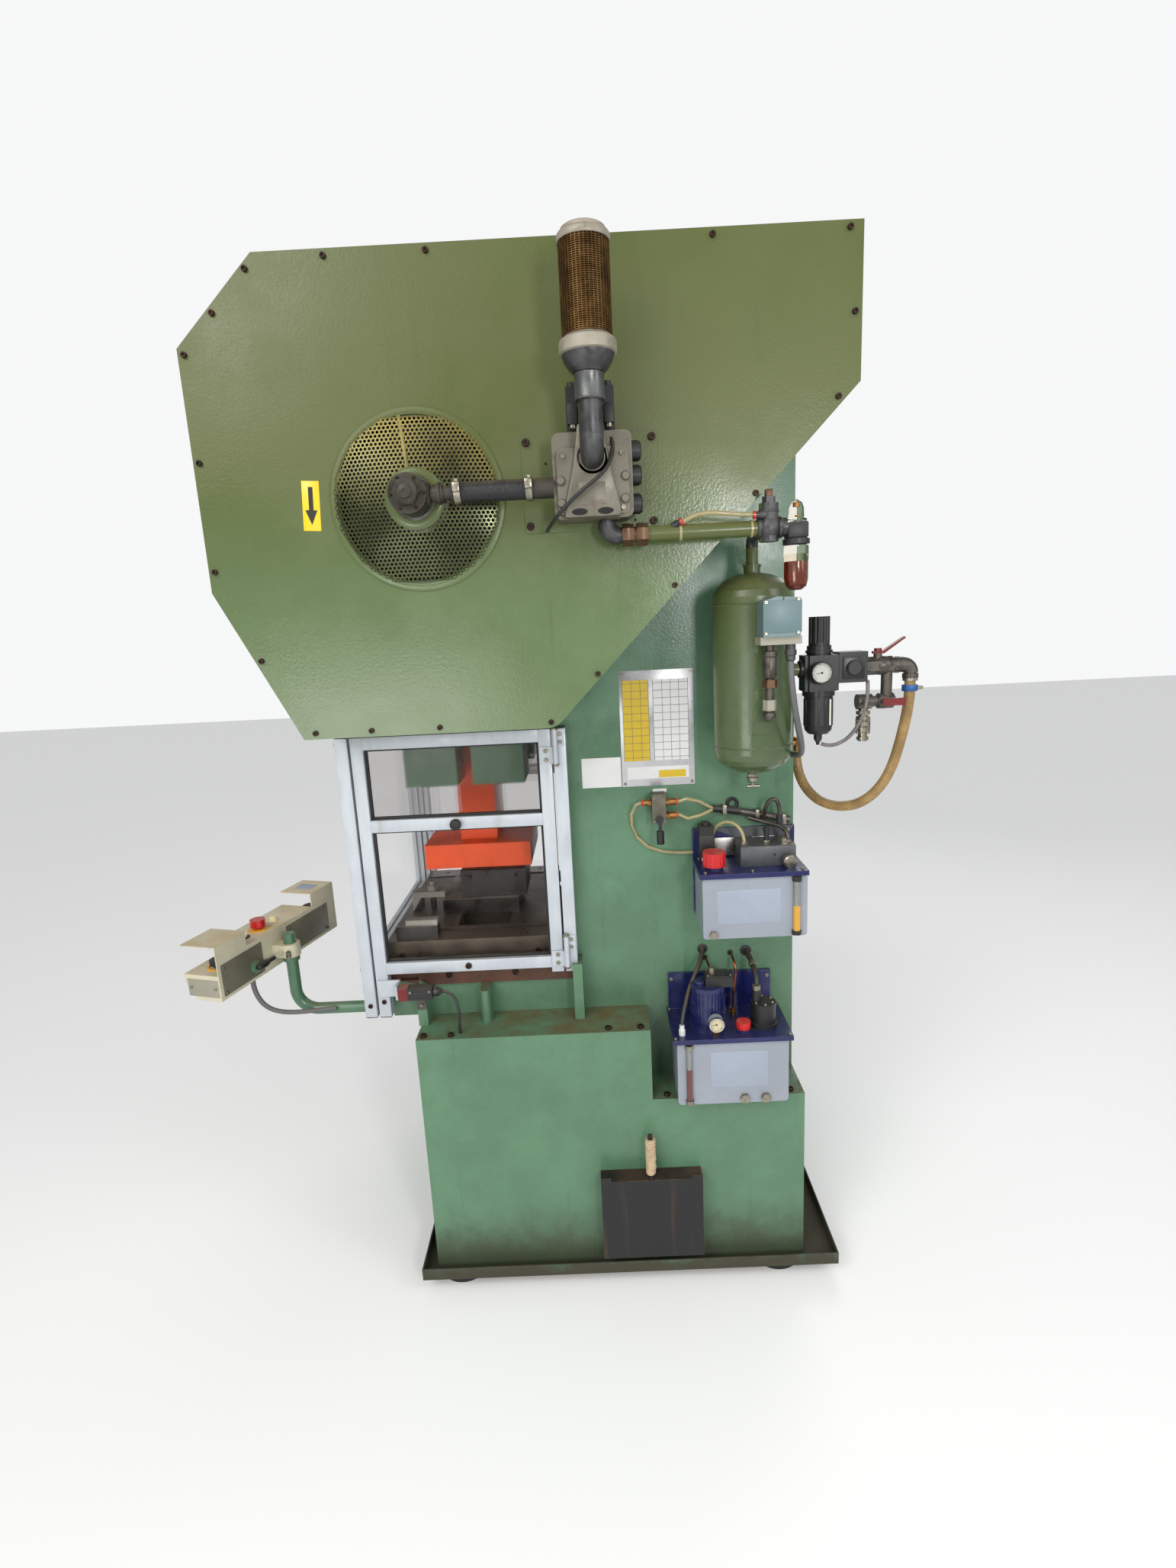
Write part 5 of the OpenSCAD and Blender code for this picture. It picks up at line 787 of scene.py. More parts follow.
# Parts of a node with a finish of their own, as boxes between layout points
ZONES = (
    ("air_valve", "black plastic", ((425.3, -FAR, 0), (FAR, FAR, FAR)), ((0, -FAR, 2035.3), (FAR, FAR, FAR))),
    ("filter_regulator", "brass", ((0, -FAR, 0), (793.8, FAR, FAR))),
    ("pressure_switch", "galvanised", ((0, -FAR, 0), (FAR, FAR, 1622.8))),
    ("pressure_switch", "light grey plastic", ((0, -FAR, 1487), (FAR, FAR, 1510)),
     ((0, -FAR, 1623), (FAR, FAR, 1639.2))),
    ("pressure_switch", "old brass", ((0, -FAR, 1535), (FAR, FAR, 1551.2))),
    ("pressure_switch", "dark iron", ((731, -541, 1595), (753, -518, 1623))),
    ("inlet_pipework", "black plastic", ((860, -FAR, 1500), (930.2, FAR, 1700))),
    ("inlet_pipework", "zinc screw", ((915, -FAR, 1390), (947, FAR, 1474))),
    ("inlet_pipework", "brass", ((812, -250, 1300), (870, -200, 1400))),
    ("air_line", "dark iron", ((0, -FAR, 0), (402, FAR, FAR)), ((675, -FAR, 1820), (FAR, FAR, 1930))),
    ("air_line", "old brass", ((402, -FAR, 0), (460, FAR, FAR))),
    ("upper_lube_unit", "navy enamel", ((0, -FAR, 1088), (FAR, FAR, 1100.2)),
     ((0, -302.2, 0), (FAR, FAR, FAR)),
     ((580, -411, 1100), (618, -373, 1109))),
    ("upper_lube_unit", "black plastic", ((572, -343, 1100.3), (608, -301.5, FAR))),
    ("upper_lube_unit", "machined block", ((662, -393, 1100.3), (793, -301.5, FAR))),
    ("upper_lube_unit", "zinc screw", ((755, -385, 1149), (781, -355, FAR)),
     ((575, -445, 935), (602, -432.3, 965))),
    ("lower_lube_unit", "navy enamel", ((0, -FAR, 680), (FAR, FAR, 692.2)),
     ((0, -300.2, 680), (FAR, FAR, FAR)),
     ((530, -430, 692), (621, -340, 802.5))),
    ("lower_lube_unit", "black plastic", ((571, -407, 800), (641, -361, 830)),
     ((684, -423, 692), (746, -361, 790)),
     ((645, -437, 692), (675, -408, 701))),
    ("lower_lube_unit", "brass", ((584, -440, 692), (598, -424, 718))),
    ("lower_lube_unit", "zinc screw", ((640, -462, 510), (725, -450.3, 545))),
    ("hand_valve", "brass", ((494.2, -FAR, 0), (FAR, FAR, FAR)), ((0, -FAR, 0), (460.8, FAR, FAR))),
    ("lube_lines", "black cable", ((611, -312, 0), (690, FAR, FAR))),
    ("lube_lines", "braided sleeve", ((690, -312, 0), (FAR, FAR, FAR))),
    ("guard_panes", "clear pane", ((-FAR, -FAR, 0), (FAR, FAR, 1230))),
    ("fixed_panes", "tinted pane", ((-255, 0, 1230), (FAR, FAR, FAR))),
    ("safety_switch", "lever red", ((-190, -FAR, 780), (-161.8, FAR, FAR))),
    ("safety_switch", "galvanised", ((-151, -360.2, 700), (-125, -354, 820))),
    ("bed_table", "rusty plate", ((-FAR, -FAR, TABLE_Z), (THROAT_X, FAR, FAR))),
    ("lower_tooling", "ground steel", ((-FAR, -FAR, 938), (FAR, FAR, FAR))),
    ("scrap_hopper", "pale tape", ((408, -471, 332), (432, -447, 428))),
    ("adjusting_screw", "cast iron", ((-FAR, -FAR, 1500), (FAR, FAR, FAR))),
)


def zone(node, finish, *boxes):
    """Gives another finish to the faces of a node whose middle lies in one of the layout boxes."""
    mesh = NODES[node].data
    mesh.materials.append(material(finish))
    number = len(mesh.materials) - 1
    edge = 0.2 * MM
    limits = [(at(*low), at(*high)) for low, high in boxes]
    for face in mesh.polygons:
        spot = face.center
        if any(all(a - edge <= b <= c + edge for a, b, c in zip(low, spot, high)) for low, high in limits):
            face.material_index = number


# Stage

class StageSettings(bpy.types.PropertyGroup):
    camera_x: FloatProperty(name="Camera behind the ram", default=0.328, subtype="DISTANCE", unit="LENGTH",
                            description="Distance of the camera behind the ram's axis")
    camera_y: FloatProperty(name="Camera before the press", default=2.140, subtype="DISTANCE", unit="LENGTH",
                            description="Distance of the camera from the frame's middle")
    camera_z: FloatProperty(name="Camera height", default=1.690, subtype="DISTANCE", unit="LENGTH",
                            description="Height of the camera over the floor")
    pitch: FloatProperty(name="Pitch", default=radians(11.97), subtype="ANGLE",
                         description="How far the camera looks down")
    yaw: FloatProperty(name="Yaw", default=radians(-0.602), subtype="ANGLE",
                       description="Turn of the camera to the back of the press")
    roll: FloatProperty(name="Roll", default=radians(-2.845), subtype="ANGLE",
                        description="Tilt of the camera about its own axis")
    lens: FloatProperty(name="Lens", default=17.685, subtype="DISTANCE_CAMERA",
                        description="Focal length over a 36 mm high frame")
    floor_colour: FloatVectorProperty(name="Floor", default=(0.88, 0.875, 0.86), subtype="COLOR", min=0,
                                      max=1, description="Colour of the plain floor")
    lamp_power: FloatProperty(name="Lamps", default=0.82, min=0.0,
                              description="Strength of all the lamps together")


class ColourSettings(bpy.types.PropertyGroup):
    green: FloatVectorProperty(name="Guard green", default=srgb(90, 108, 72)[:3], subtype="COLOR", min=0,
                               max=1, description="Paint of the belt guard and the air tank")
    # The guard's and the tank's upper parts blend into this colour: partly paint dulled by oil, partly a
    # painted warm reflection
    olive: FloatVectorProperty(name="Aged green with painted warm sheen", default=srgb(79, 87, 38)[:3], subtype="COLOR", min=0, max=1,
                               description="Paint of the guard's upper part, dulled by oil and lit by a painted warm sheen")
    base_green: FloatVectorProperty(name="Frame green", default=srgb(80, 115, 88)[:3], subtype="COLOR", min=0,
                                    max=1, description="Paint of the frame and base")
    cream: FloatVectorProperty(name="Console cream", default=srgb(192, 186, 162)[:3], subtype="COLOR", min=0,
                               max=1, description="Paint of the console's hoods")
    orange: FloatVectorProperty(name="Ram orange", default=srgb(226, 76, 12)[:3], subtype="COLOR", min=0,
                                max=1, description="Paint of the ram and its tool plate")


class FittingSettings(bpy.types.PropertyGroup):
    hole_pitch: FloatProperty(name="Hole pitch", default=0.0087, subtype="DISTANCE", unit="LENGTH", min=0.006,
                              description="Distance between the vent cone's holes")
    guard_screw: FloatProperty(name="Guard screw head", default=0.0115, subtype="DISTANCE", unit="LENGTH",
                               description="Diameter of the guard's screw heads")
    silencer_ribs: IntProperty(name="Silencer ribs", default=44, min=8, max=80,
                               description="Number of fine ribs round the silencer's screen")


def settings(context):
    """The stage's, the colours' and the fittings' settings."""
    return context.scene.press_stage, context.scene.press_colours, context.scene.press_fittings


def area_lamp(name, place, target, power, size, colour):
    """A soft lamp that looks at a point."""
    lamp = bpy.data.lights.new(name, "AREA")
    lamp.shape = "RECTANGLE"
    lamp.size, lamp.size_y = size
    lamp.energy = power
    lamp.color = colour
    holder = bpy.data.objects.new(name, lamp)
    bpy.context.scene.collection.objects.link(holder)
    holder.location = place
    holder.rotation_euler = (Vector(target) - Vector(place)).to_track_quat("-Z", "Y").to_euler()


class PRESS_OT_stage(bpy.types.Operator):
    """Sets the camera, the plain floor, the soft lamps and the pale background"""

    bl_idname = "press.stage"
    bl_label = "Stage"

    def execute(self, context):
        stage = settings(context)[0]
        scene = context.scene
        camera = bpy.data.cameras.new("camera")
        camera.sensor_fit = "VERTICAL"
        camera.sensor_height = camera.sensor_width = 36
        camera.lens = stage.lens
        camera.clip_start = 0.05
        holder = bpy.data.objects.new("camera", camera)
        scene.collection.objects.link(holder)
        look = Vector((math.sin(stage.yaw) * math.cos(stage.pitch),
                       math.cos(stage.yaw) * math.cos(stage.pitch), -math.sin(stage.pitch)))
        right = Vector((math.cos(stage.yaw), -math.sin(stage.yaw), 0))
        up = right.cross(look)
        tilted_right = math.cos(stage.roll) * right + math.sin(stage.roll) * up
        tilted_up = -math.sin(stage.roll) * right + math.cos(stage.roll) * up
        turn = Matrix((tilted_right, tilted_up, -look)).transposed().to_4x4()
        place = at(stage.camera_x / MM, -stage.camera_y / MM, stage.camera_z / MM)
        holder.matrix_world = Matrix.Translation(place) @ turn
        scene.camera = holder

        floor_half = 14
        form = bmesh.new()
        bmesh.ops.create_grid(form, x_segments=1, y_segments=1, size=floor_half)
        floor_mesh = bpy.data.meshes.new("floor")
        form.to_mesh(floor_mesh)
        form.free()
        floor = bpy.data.objects.new("floor", floor_mesh)
        scene.collection.objects.link(floor)
        floor_finish = bpy.data.materials.new("floor")
        floor_finish.use_nodes = True
        shader = floor_finish.node_tree.nodes["Principled BSDF"]
        shader.inputs["Base Color"].default_value = (*stage.floor_colour, 1)
        shader.inputs["Roughness"].default_value = 0.85
        floor_mesh.materials.append(floor_finish)

        power = stage.lamp_power
        for name, turn, strength, spread in (("sun_front", (50, 6, -32), 1.25, 40),
                                             ("sun_right", (56, 0, 48), 0.75, 60)):
            sun = bpy.data.lights.new(name, "SUN")
            sun.energy = strength * power
            sun.angle = radians(spread)
            holder = bpy.data.objects.new(name, sun)
            holder.rotation_euler = [radians(value) for value in turn]
            scene.collection.objects.link(holder)
        for name, spot, target, strength, size, colour in (
            ("lamp_front", (-1.8, -2.6, 3.3), (0.1, 0, 1.5), 34, (1.4, 1.0), (1.0, 0.98, 0.94)),
            ("lamp_right", (2.6, -1.8, 2.4), (0.1, 0, 1.3), 16, (0.8, 1.6), (0.96, 0.98, 1.0)),
            ("lamp_back", (1.4, 2.8, 3.0), (0, 0, 1.2), 30, (2.0, 1.6), (1.0, 1.0, 1.0)),
            ("lamp_low", (-0.9, -2.6, 1.15), (-0.15, -0.1, 1.0), 16, (1.2, 0.7), (1.0, 0.98, 0.95)),
            ("lamp_glare", (1.2, -3.4, 2.0), (0.35, -0.4, 1.75), 42, (0.4, 0.8), (1.0, 1.0, 1.0)),
        ):
            area_lamp(name, spot, target, strength * power, size, colour)

        world = bpy.data.worlds.new("backdrop")
        scene.world = world
        world.use_nodes = True
        tree = Tree(world.node_tree)
        light = world.node_tree.nodes["Background"]
        light.inputs["Color"].default_value = (0.95, 0.97, 1.0, 1)
        light.inputs["Strength"].default_value = 0.44
        seen = tree.node("Background", Color=(0.93, 0.935, 0.94, 1), Strength=1.0)
        path = world.node_tree.nodes.new("ShaderNodeLightPath")
        direct = tree.math("MAXIMUM", path.outputs["Is Camera Ray"], path.outputs["Is Transmission Ray"])
        mixed = tree.node("MixShader")
        tree.feed(mixed, 0, direct)
        tree.feed(mixed, 1, light.outputs[0])
        tree.feed(mixed, 2, seen.outputs[0])
        tree.feed(world.node_tree.nodes["World Output"], 0, mixed.outputs[0])

        scene.view_settings.view_transform = "Standard"
        return {"FINISHED"}


# Supply hose's route, in metres from the ram's axis: as long as the frame's own hose, and rounder below
HOSE_ROUTE = [
    (1.033, -0.425, 1.528), (1.033, -0.425, 1.500), (1.031, -0.421, 1.459), (1.026, -0.415, 1.417),
    (1.019, -0.408, 1.374), (1.009, -0.402, 1.332), (0.993, -0.394, 1.292), (0.971, -0.380, 1.258),
    (0.946, -0.361, 1.235), (0.919, -0.337, 1.224), (0.895, -0.312, 1.223), (0.872, -0.285, 1.232),
    (0.853, -0.258, 1.254), (0.842, -0.239, 1.282), (0.837, -0.229, 1.310), (0.836, -0.226, 1.334),
    (0.836, -0.226, 1.346),
]


# Small cords: name, finish, slot, radius, lay and layout points
CORDS = (
    ("switch_cable", "grey cable", "hose_rubber", 7, "hanging", [
        (742, -529.5, 1588), (743, -530, 1560), (747, -528, 1525), (754, -520, 1488), (764, -507, 1450),
        (775, -488, 1418), (784, -464, 1393), (790, -436, 1376), (792, -405, 1367), (792, -375, 1362),
        (790, -345, 1358), (787, -318, 1355), (785, -300, 1353), (784, -291, 1352)]),
    ("filter_drain", "grey tube", "clear_hose", 4.2, "loose", [
        (838, -427, 1394), (850, -432, 1391), (864, -437, 1392), (878, -442, 1398), (891, -447, 1408),
        (903, -451, 1423), (913, -454, 1441), (921, -455, 1461), (927, -454, 1482), (931, -450, 1502),
        (933, -445, 1519), (934, -440, 1532)]),
    ("signal_tube", "clear tube", "clear_hose", 4.5, "taut", [
        (521, -568, 1868), (530, -571, 1873), (542, -573, 1878), (556, -574, 1881), (572, -574, 1882),
        (590, -574, 1881), (608, -573, 1879), (626, -573, 1877), (642, -572, 1876), (658, -572, 1875)]),
    ("motor_hose", "black cable", "hose_rubber", 6, "hanging", [
        (581, -291, 852), (578, -303, 846), (572, -318, 836), (563, -336, 823), (551, -356, 808),
        (538, -376, 791),
        (527, -395, 772), (518, -411, 752), (512, -423, 734), (509, -430, 720)]),
    ("pump_hose", "air hose", "hose_rubber", 7, "hanging", [
        (692, -291, 842), (693, -304, 841), (695, -321, 838), (697, -339, 833), (699, -357, 825),
        (700, -373, 814),
        (700, -384, 802), (699, -390, 792)]),
    ("door_switch_cable", "black cable", "hose_rubber", 3.5, "hanging", [
        (-81, -371, 806), (-72, -371, 805), (-61, -373, 801), (-51, -376, 793), (-44, -381, 782),
        (-40, -386, 769),
        (-38, -390, 755), (-38, -393, 740), (-38, -394, 725), (-38, -394, 712), (-38, -394, 703)]),
    ("coil_cable", "black cable", "hose_rubber", 3.4, "loose", [
        (385, -584, 2041), (387, -592, 2026), (389, -604, 2010), (388, -616, 1994), (383, -625, 1978),
        (374, -629, 1963), (361, -630, 1950), (346, -630, 1939), (330, -629, 1928), (314, -628, 1916),
        (299, -625, 1903), (285, -619, 1890), (274, -608, 1880), (266, -592, 1873), (261, -573, 1870),
        (258, -553, 1869), (256, -536, 1869), (255, -525, 1869)]),
    ("manifold_tube", "clear tube", "clear_hose", 4, "loose", [
        (675, -372, 1151), (674, -371, 1163), (670, -366, 1179), (661, -356, 1192), (647, -343, 1198),
        (631, -331, 1195), (619, -323, 1185), (612, -318, 1172), (607, -316, 1160)]),
)

# The console's conduit, in layout points from the console down to its post's arm
CONDUIT = [
    (-612, -236, 800), (-612, -237, 784), (-609, -238, 764), (-602, -238, 743), (-591, -236, 723),
    (-575, -231, 706), (-554, -224, 694), (-529, -215, 686), (-502, -205, 681), (-474, -196, 678),
    (-446, -188, 676), (-420, -181, 675),
]

# Bent metal tubes: name, finish, slot, radius and layout points
TUBES = (
    ("copper_pipe_front", "copper", "bearing_bronze", 3, [
        (587, -290.2, 828), (588, -304, 828), (590, -320, 826), (592, -335, 820), (593, -347, 815),
        (594, -361, 812)]),
    ("copper_pipe_rear", "copper", "bearing_bronze", 3, [
        (652, -290.2, 838), (653, -304, 837), (655, -318, 832), (657, -330, 820), (657, -336, 800),
        (654, -337, 770),
        (651, -336, 740), (650, -335, 705)]),
    ("loop_pipe", "galvanised", "galvanised", 5, [
        (734, -308, 1190), (734, -318, 1205), (735, -330, 1226), (740, -338, 1243), (751, -342, 1250),
        (761, -341, 1243), (766, -339, 1225), (767, -337, 1205)]),
    ("manifold_pipe", "galvanised", "galvanised", 5, [
        (778, -372, 1150), (779, -371, 1162), (777, -364, 1174), (768, -352, 1183), (753, -338, 1187),
        (735, -325, 1190), (716, -314, 1194), (698, -306, 1198)]),
)


class PRESS_OT_cords(bpy.types.Operator):
    """Hangs the supply hose and the small cables and tubes that only their ends hold"""

    bl_idname = "press.cords"
    bl_label = "Cords and hoses"

    def execute(self, context):
        points = [tuple(value / MM for value in point) for point in HOSE_ROUTE]
        hose = free_cord("supply_hose_run", points, 12, "supply hose", "frame")
        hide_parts("supply_hose")
        for name, finish, slot, radius, lay, points in CORDS:
            free_cord(name, points, radius, finish, "frame")
        turning_cord("console_conduit", CONDUIT, 6.5, "grey cable")
        for name, finish, slot, radius, points in TUBES:
            line_piece(name, points, radius, finish, "frame")
        return {"FINISHED"}


class PRESS_OT_guard(bpy.types.Operator):
    """Adds the belt guard's screws, bolts and arrow label"""

    bl_idname = "press.guard"
    bl_label = "Guard fittings"

    def execute(self, context):
        radius = settings(context)[2].guard_screw / MM / 2
        left, right = PANEL.x0 + 13, PANEL.x1
        top, toe = PANEL.z1 - 13, PANEL.z0 + 13
        spots = [(left, 1822), (left, 2030), (left, 2226), (-360, 2296), (-287, 2368), (-137, top), (56, top),
                 (308, top), (594, top), (right - 26, top), (right - 14, 2240), (834, 2092), (673, 1922),
                 (508, 1752), (343, 1580), (240, toe), (4, toe), (-141, toe), (-260, toe), (-354, 1640)]
        screws("guard_screws", [(x, PANEL.y0, z) for x, z in spots], -Y, "screw black", radius, 6)
        screws("guard_top_bolts", [(x, PANEL.y0 + 34, PANEL.z1) for x in (-137, 56)], Z, "screw black",
               radius * 1.1, 9, washer_screw_form)
        label = Shape()
        place = (-213.5, PANEL.y0, 1940)
        tilt = radians(-3.5)
        label.plate((35, 95, 1.2), 0.3, place, -Y, 0, tilt)
        arrow = [(-4.5, 36), (-4.5, -8), (-12, -8), (0, -36), (12, -8), (4.5, -8), (4.5, 36)]
        label.put(moved(sheet_form(arrow, 0.4), (0, 0, 0.7)), place, -Y, 1, tilt)
        label.done("turning_arrow", ["label yellow", "label black"])
        return {"FINISHED"}


class PRESS_OT_vent(bpy.types.Operator):
    """Makes the clutch's perforated cover: a fine sheet, its rims and its seam"""

    bl_idname = "press.vent"
    bl_label = "Vent cover"

    def execute(self, context):
        pitch = settings(context)[2].hole_pitch / MM
        rim = CONE.x1 - 11
        hub, rise = 56.0, CONE.y1 - CONE.y0 - 8
        sheet = bmesh.new()
        cell = bmesh.ops.create_circle(sheet, cap_ends=True, segments=6, radius=pitch / math.sqrt(3))["verts"]
        first = list(cell)
        row_step, count = pitch * math.sqrt(3) / 2, int(rim / pitch) + 2
        for row in range(-count, count + 1):
            for column in range(-count, count + 1):
                spot = Vector(((column + 0.5 * (row % 2)) * pitch, row * row_step, 0))
                if not hub - 4 < spot.length < rim:
                    continue
                faces = list({face for vert in first for face in vert.link_faces})
                copy = bmesh.ops.duplicate(sheet, geom=first + faces)["geom"]
                bmesh.ops.translate(sheet, vec=spot,
                                    verts=[v for v in copy if isinstance(v, bmesh.types.BMVert)])
        bmesh.ops.delete(sheet, geom=first, context="VERTS")
        bmesh.ops.remove_doubles(sheet, verts=sheet.verts, dist=pitch * 0.05)
        cells = sheet.faces[:]
        bmesh.ops.inset_individual(sheet, faces=cells, thickness=pitch * 0.145, use_even_offset=True)
        bmesh.ops.delete(sheet, geom=cells, context="FACES")
        for vert in sheet.verts:
            share = (rim + 6 - vert.co.xy.length) / (rim + 6 - hub)
            vert.co.z = 2 + rise * max(0.0, min(1.0, share)) ** 0.8
        for face in sheet.faces:
            if face.normal.z < 0:
                face.normal_flip()
        cover = Shape()
        middle_place = (0, PANEL.y0, CRANK_Z)
        cover.put(sheet, middle_place, -Y, 0)
        # The sheet turns gold towards the top: a painted glint
        mesh = cover.done("vent_sheet", ["vent sheet with painted glint"], angle=80)
        smooth = mesh.modifiers.new("round holes", "SUBSURF")
        smooth.levels = smooth.render_levels = 1
        thick = mesh.modifiers.new("sheet", "SOLIDIFY")
        thick.thickness = 1.5 * MM
        thick.offset = 0
        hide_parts("vent_cone")
        rims = Shape()
        edge = CONE.x1
        rims.lathe([(edge - 15, 0.2), (edge, 0.2), (edge, 2.4), (edge - 1, 3.2), (edge - 13, 4.6),
                    (edge - 15, 3.6)], 96, middle_place, -Y, 0)
        rims.lathe([(42, rise - 2), (hub + 3, rise - 2), (hub + 3, rise + 3.5), (hub, rise + 6),
                    (45, rise + 8), (42, rise + 7)], 64, middle_place, -Y, 0)
        seam = moved(box_form((edge - 14 - hub, 7, 1.6), 0.4), ((edge - 14 + hub) / 2, 0, 0))
        slope = math.atan2(rise, edge - 14 - hub)
        bmesh.ops.rotate(seam, verts=seam.verts, cent=((edge - 14 + hub) / 2, 0, 0),
                         matrix=Matrix.Rotation(slope, 3, "Y"))
        bmesh.ops.translate(seam, vec=(0, 0, 5.4 + rise / 2), verts=seam.verts)
        rims.put(seam, middle_place, -Y, 1, radians(98))
        # The rims take the guard paint with its olive top, partly a painted warm reflection; the seam takes
        # the vent finish with its painted gold glint
        rims.done("vent_rims", ["guard paint", "vent sheet with painted glint"])
        return {"FINISHED"}


class PRESS_OT_clutch_air(bpy.types.Operator):
    """Adds the rotary union's details, the hose clamps, the air valve's fittings and the silencer"""

    bl_idname = "press.clutch_air"
    bl_label = "Clutch air fittings"

    def execute(self, context):
        hose_y = -589
        union = Shape()
        union.lathe([(0, 0), (20, 0), (22, 2), (22, 6), (13, 6), (12, 9), (5, 10), (4, 8), (0, 8)], 24,
                    (0, -629, CRANK_Z), -Y, 0)
        for k in range(6):
            union.put(moved(cap_screw_form(3.2, 4), (31, 0, 0)), (0, -616, CRANK_Z), -Y, 1, radians(60 * k))
        for x in (32, 52):
            union.lathe([(17, 0), (20, 1), (20.5, 4), (20, 7), (17, 8)], 28, (x, hose_y, CRANK_Z), X, 0)
        union.done("union_details", ["union iron", "screw black"])

        clamps = Shape()
        for x in (86, 222):
            clamps.lathe([(21.9, 0.3), (22.7, 0), (22.7, 12), (21.9, 11.7)], 36, (x, hose_y, CRANK_Z), X)
            clamps.block(x - 1, x + 13, hose_y - 29, hose_y - 21.5, CRANK_Z - 2, CRANK_Z + 15, 1.5)
            clamps.nut(5, 6, (x + 6, hose_y - 25.5, CRANK_Z + 15), Z)
            clamps.plate((7.5, 1.2, 0.8), 0, (x + 6, hose_y - 25.5, CRANK_Z + 21), Z)
            for k in range(14):
                clamps.plate((0.6, 1.6, 7), 0, (x, hose_y, CRANK_Z), X, 0, radians(20 + 12 * k),
                             shift=(22.8, 0, 6))
        clamps.done("hose_clamps", ["zinc screw"])

        ridges = Shape()
        for k in range(34):
            ridges.lathe([(18.6, -0.9), (19.5, 0), (18.6, 0.9)], 28, (102 + 3.5 * k, hose_y, CRANK_Z), X,
                         closed=False)
        ridges.done("hose_weave", ["air hose"])

        plate = [(x, VALVE_PLATE.y0, z) for x in (VALVE_PLATE.x0 + 11, VALVE_PLATE.x1 - 11)
                 for z in (VALVE_PLATE.z0 + 13, VALVE_PLATE.z1 - 11)]
        screws("valve_plate_screws", plate, -Y, "screw black", 7.5, 7)

        x0, x1, z0, y0 = 275, 425, 1880, -609
        valve = Shape()
        for x in (x0 + 20, x1 - 20):
            for z in (z0 + 16, z0 + 112):
                valve.screw(5, 4, (x, y0, z), -Y, 1)
        flare = [(-24, 72), (24, 72), (30, 30), (36, -4), (52, -76), (52, -92), (-54, -92), (-54, -76),
                 (-36, -4), (-30, 30)]
        valve.put(sheet_form(flare, 13, 3.5), (348, y0 + 2, 1972), -Y, 0)
        valve.plate((50, 40, 2.4), 0.8, (347, y0 - 11, 1922), -Y, 0)
        valve.plate((42, 32, 1), 0.4, (347, y0 - 12, 1922), -Y, 0)
        # Two flat dark ovals on the valve's face: painted shade where its ports open
        for x in (322, 371):
            port = rod_form(15, 1.2, 28)
            bmesh.ops.scale(port, vec=(1, 0.42, 1), verts=port.verts)
            valve.put(port, (x, y0 - 10.4, 1890), -Y, 3)
        for x, z in ((289, 1948), (289, 1908), (411, 1952), (409, 1912)):
            valve.lathe([(0, 0), (9, 0), (8, 5), (6, 6.5), (0, 6.5)], 24, (x, y0, z), -Y, 0)
        # Small dark discs on the valve plate: painted shade for its holes
        for x, z in ((259, 1996), (431, 1997), (432, 1882)):
            valve.put(rod_form(2.6, 0.5, 16), (x, VALVE_PLATE.y0, z), -Y, 3)
        valve.lathe([(27, 0), (32, 0), (32, 8), (29, 11), (24, 11), (24, 4)], 32, (350, y0, 1985), -Y, 0)
        for z in (26, 78, 122):
            valve.lathe([(0, 0), (17, 0), (17, 3), (12, 5), (5, 5), (5, 2), (0, 2)], 28,
                        (x1 + 14, -569, z0 + z), X, 2)
        for x in (316, 385):
            valve.lathe([(0, 0), (9, 0), (9, 5), (7, 6), (7, 11), (0, 12)], 20, (x, -559, 2119), Z, 2)
            valve.block(x - 9, x + 9, -592, -575, 2050, 2086, 2, 2)
            valve.lathe([(0, 0), (6, 0), (6, 6), (4.5, 8), (0, 8)], 16, (x, -584, 2050), -Z, 1)
        valve.done("valve_details", ["cast aluminium", "zinc screw", "black plastic", "painted hole shade and seam line"])

        ribs = settings(context)[2].silencer_ribs
        x, y, z, bend, pipe = 350, -649, 1985, 30, 22
        silencer = Shape()
        silencer.put(rod_form(pipe, 11, 32, 1.0), (x, -609, z), -Y, 0)
        arc = bmesh.new()
        ring = bmesh.ops.create_circle(arc, cap_ends=False, segments=28, radius=pipe)["verts"]
        bmesh.ops.rotate(arc, verts=ring, cent=(0, 0, 0), matrix=Matrix.Rotation(math.pi / 2, 3, "X"))
        bmesh.ops.translate(arc, verts=ring, vec=(0, bend, 0))
        bmesh.ops.spin(arc, geom=arc.verts[:] + arc.edges[:], cent=(0, bend, bend), axis=X, dvec=(0, 0, 0),
                       angle=-math.pi / 2, steps=10, use_merge=False, use_duplicate=False)
        bmesh.ops.recalc_face_normals(arc, faces=arc.faces)
        silencer.put(arc, (x, y, z), Z, 0)
        silencer.put(rod_form(pipe, 112, 32, 1.0), (x, y, z + bend), Z, 0)
        silencer.lathe([(pipe, 0), (pipe + 5, 0), (pipe + 6, 2), (pipe + 5, 5), (pipe + 5, 40),
                        (pipe + 6, 43), (pipe + 4, 46), (pipe, 46)], 32, (x, y, 2074), Z, 3)
        silencer.lathe([(0, 2119), (29, 2119), (36, 2126), (43, 2136), (47, 2147), (48, 2152), (0, 2152)],
                       48, (x, y, 0), Z, 0)
        silencer.lathe([(47, 2148), (51, 2150), (51.5, 2154), (51.5, 2167), (50, 2171), (47, 2172),
                        (43, 2177), (0, 2178), (0, 2150)], 48, (x, y, 0), Z, 1)
        screen = [(0, 2177)]
        step = 150 / ribs
        for k in range(ribs):
            low = 2177 + k * step
            screen += [(42.2, low), (44.6, low + step * 0.25), (44.6, low + step * 0.6),
                       (42.2, low + step * 0.85)]
        silencer.lathe(screen + [(42.2, 2327), (0, 2327)], 40, (x, y, 0), Z, 2)
        for k in range(40):
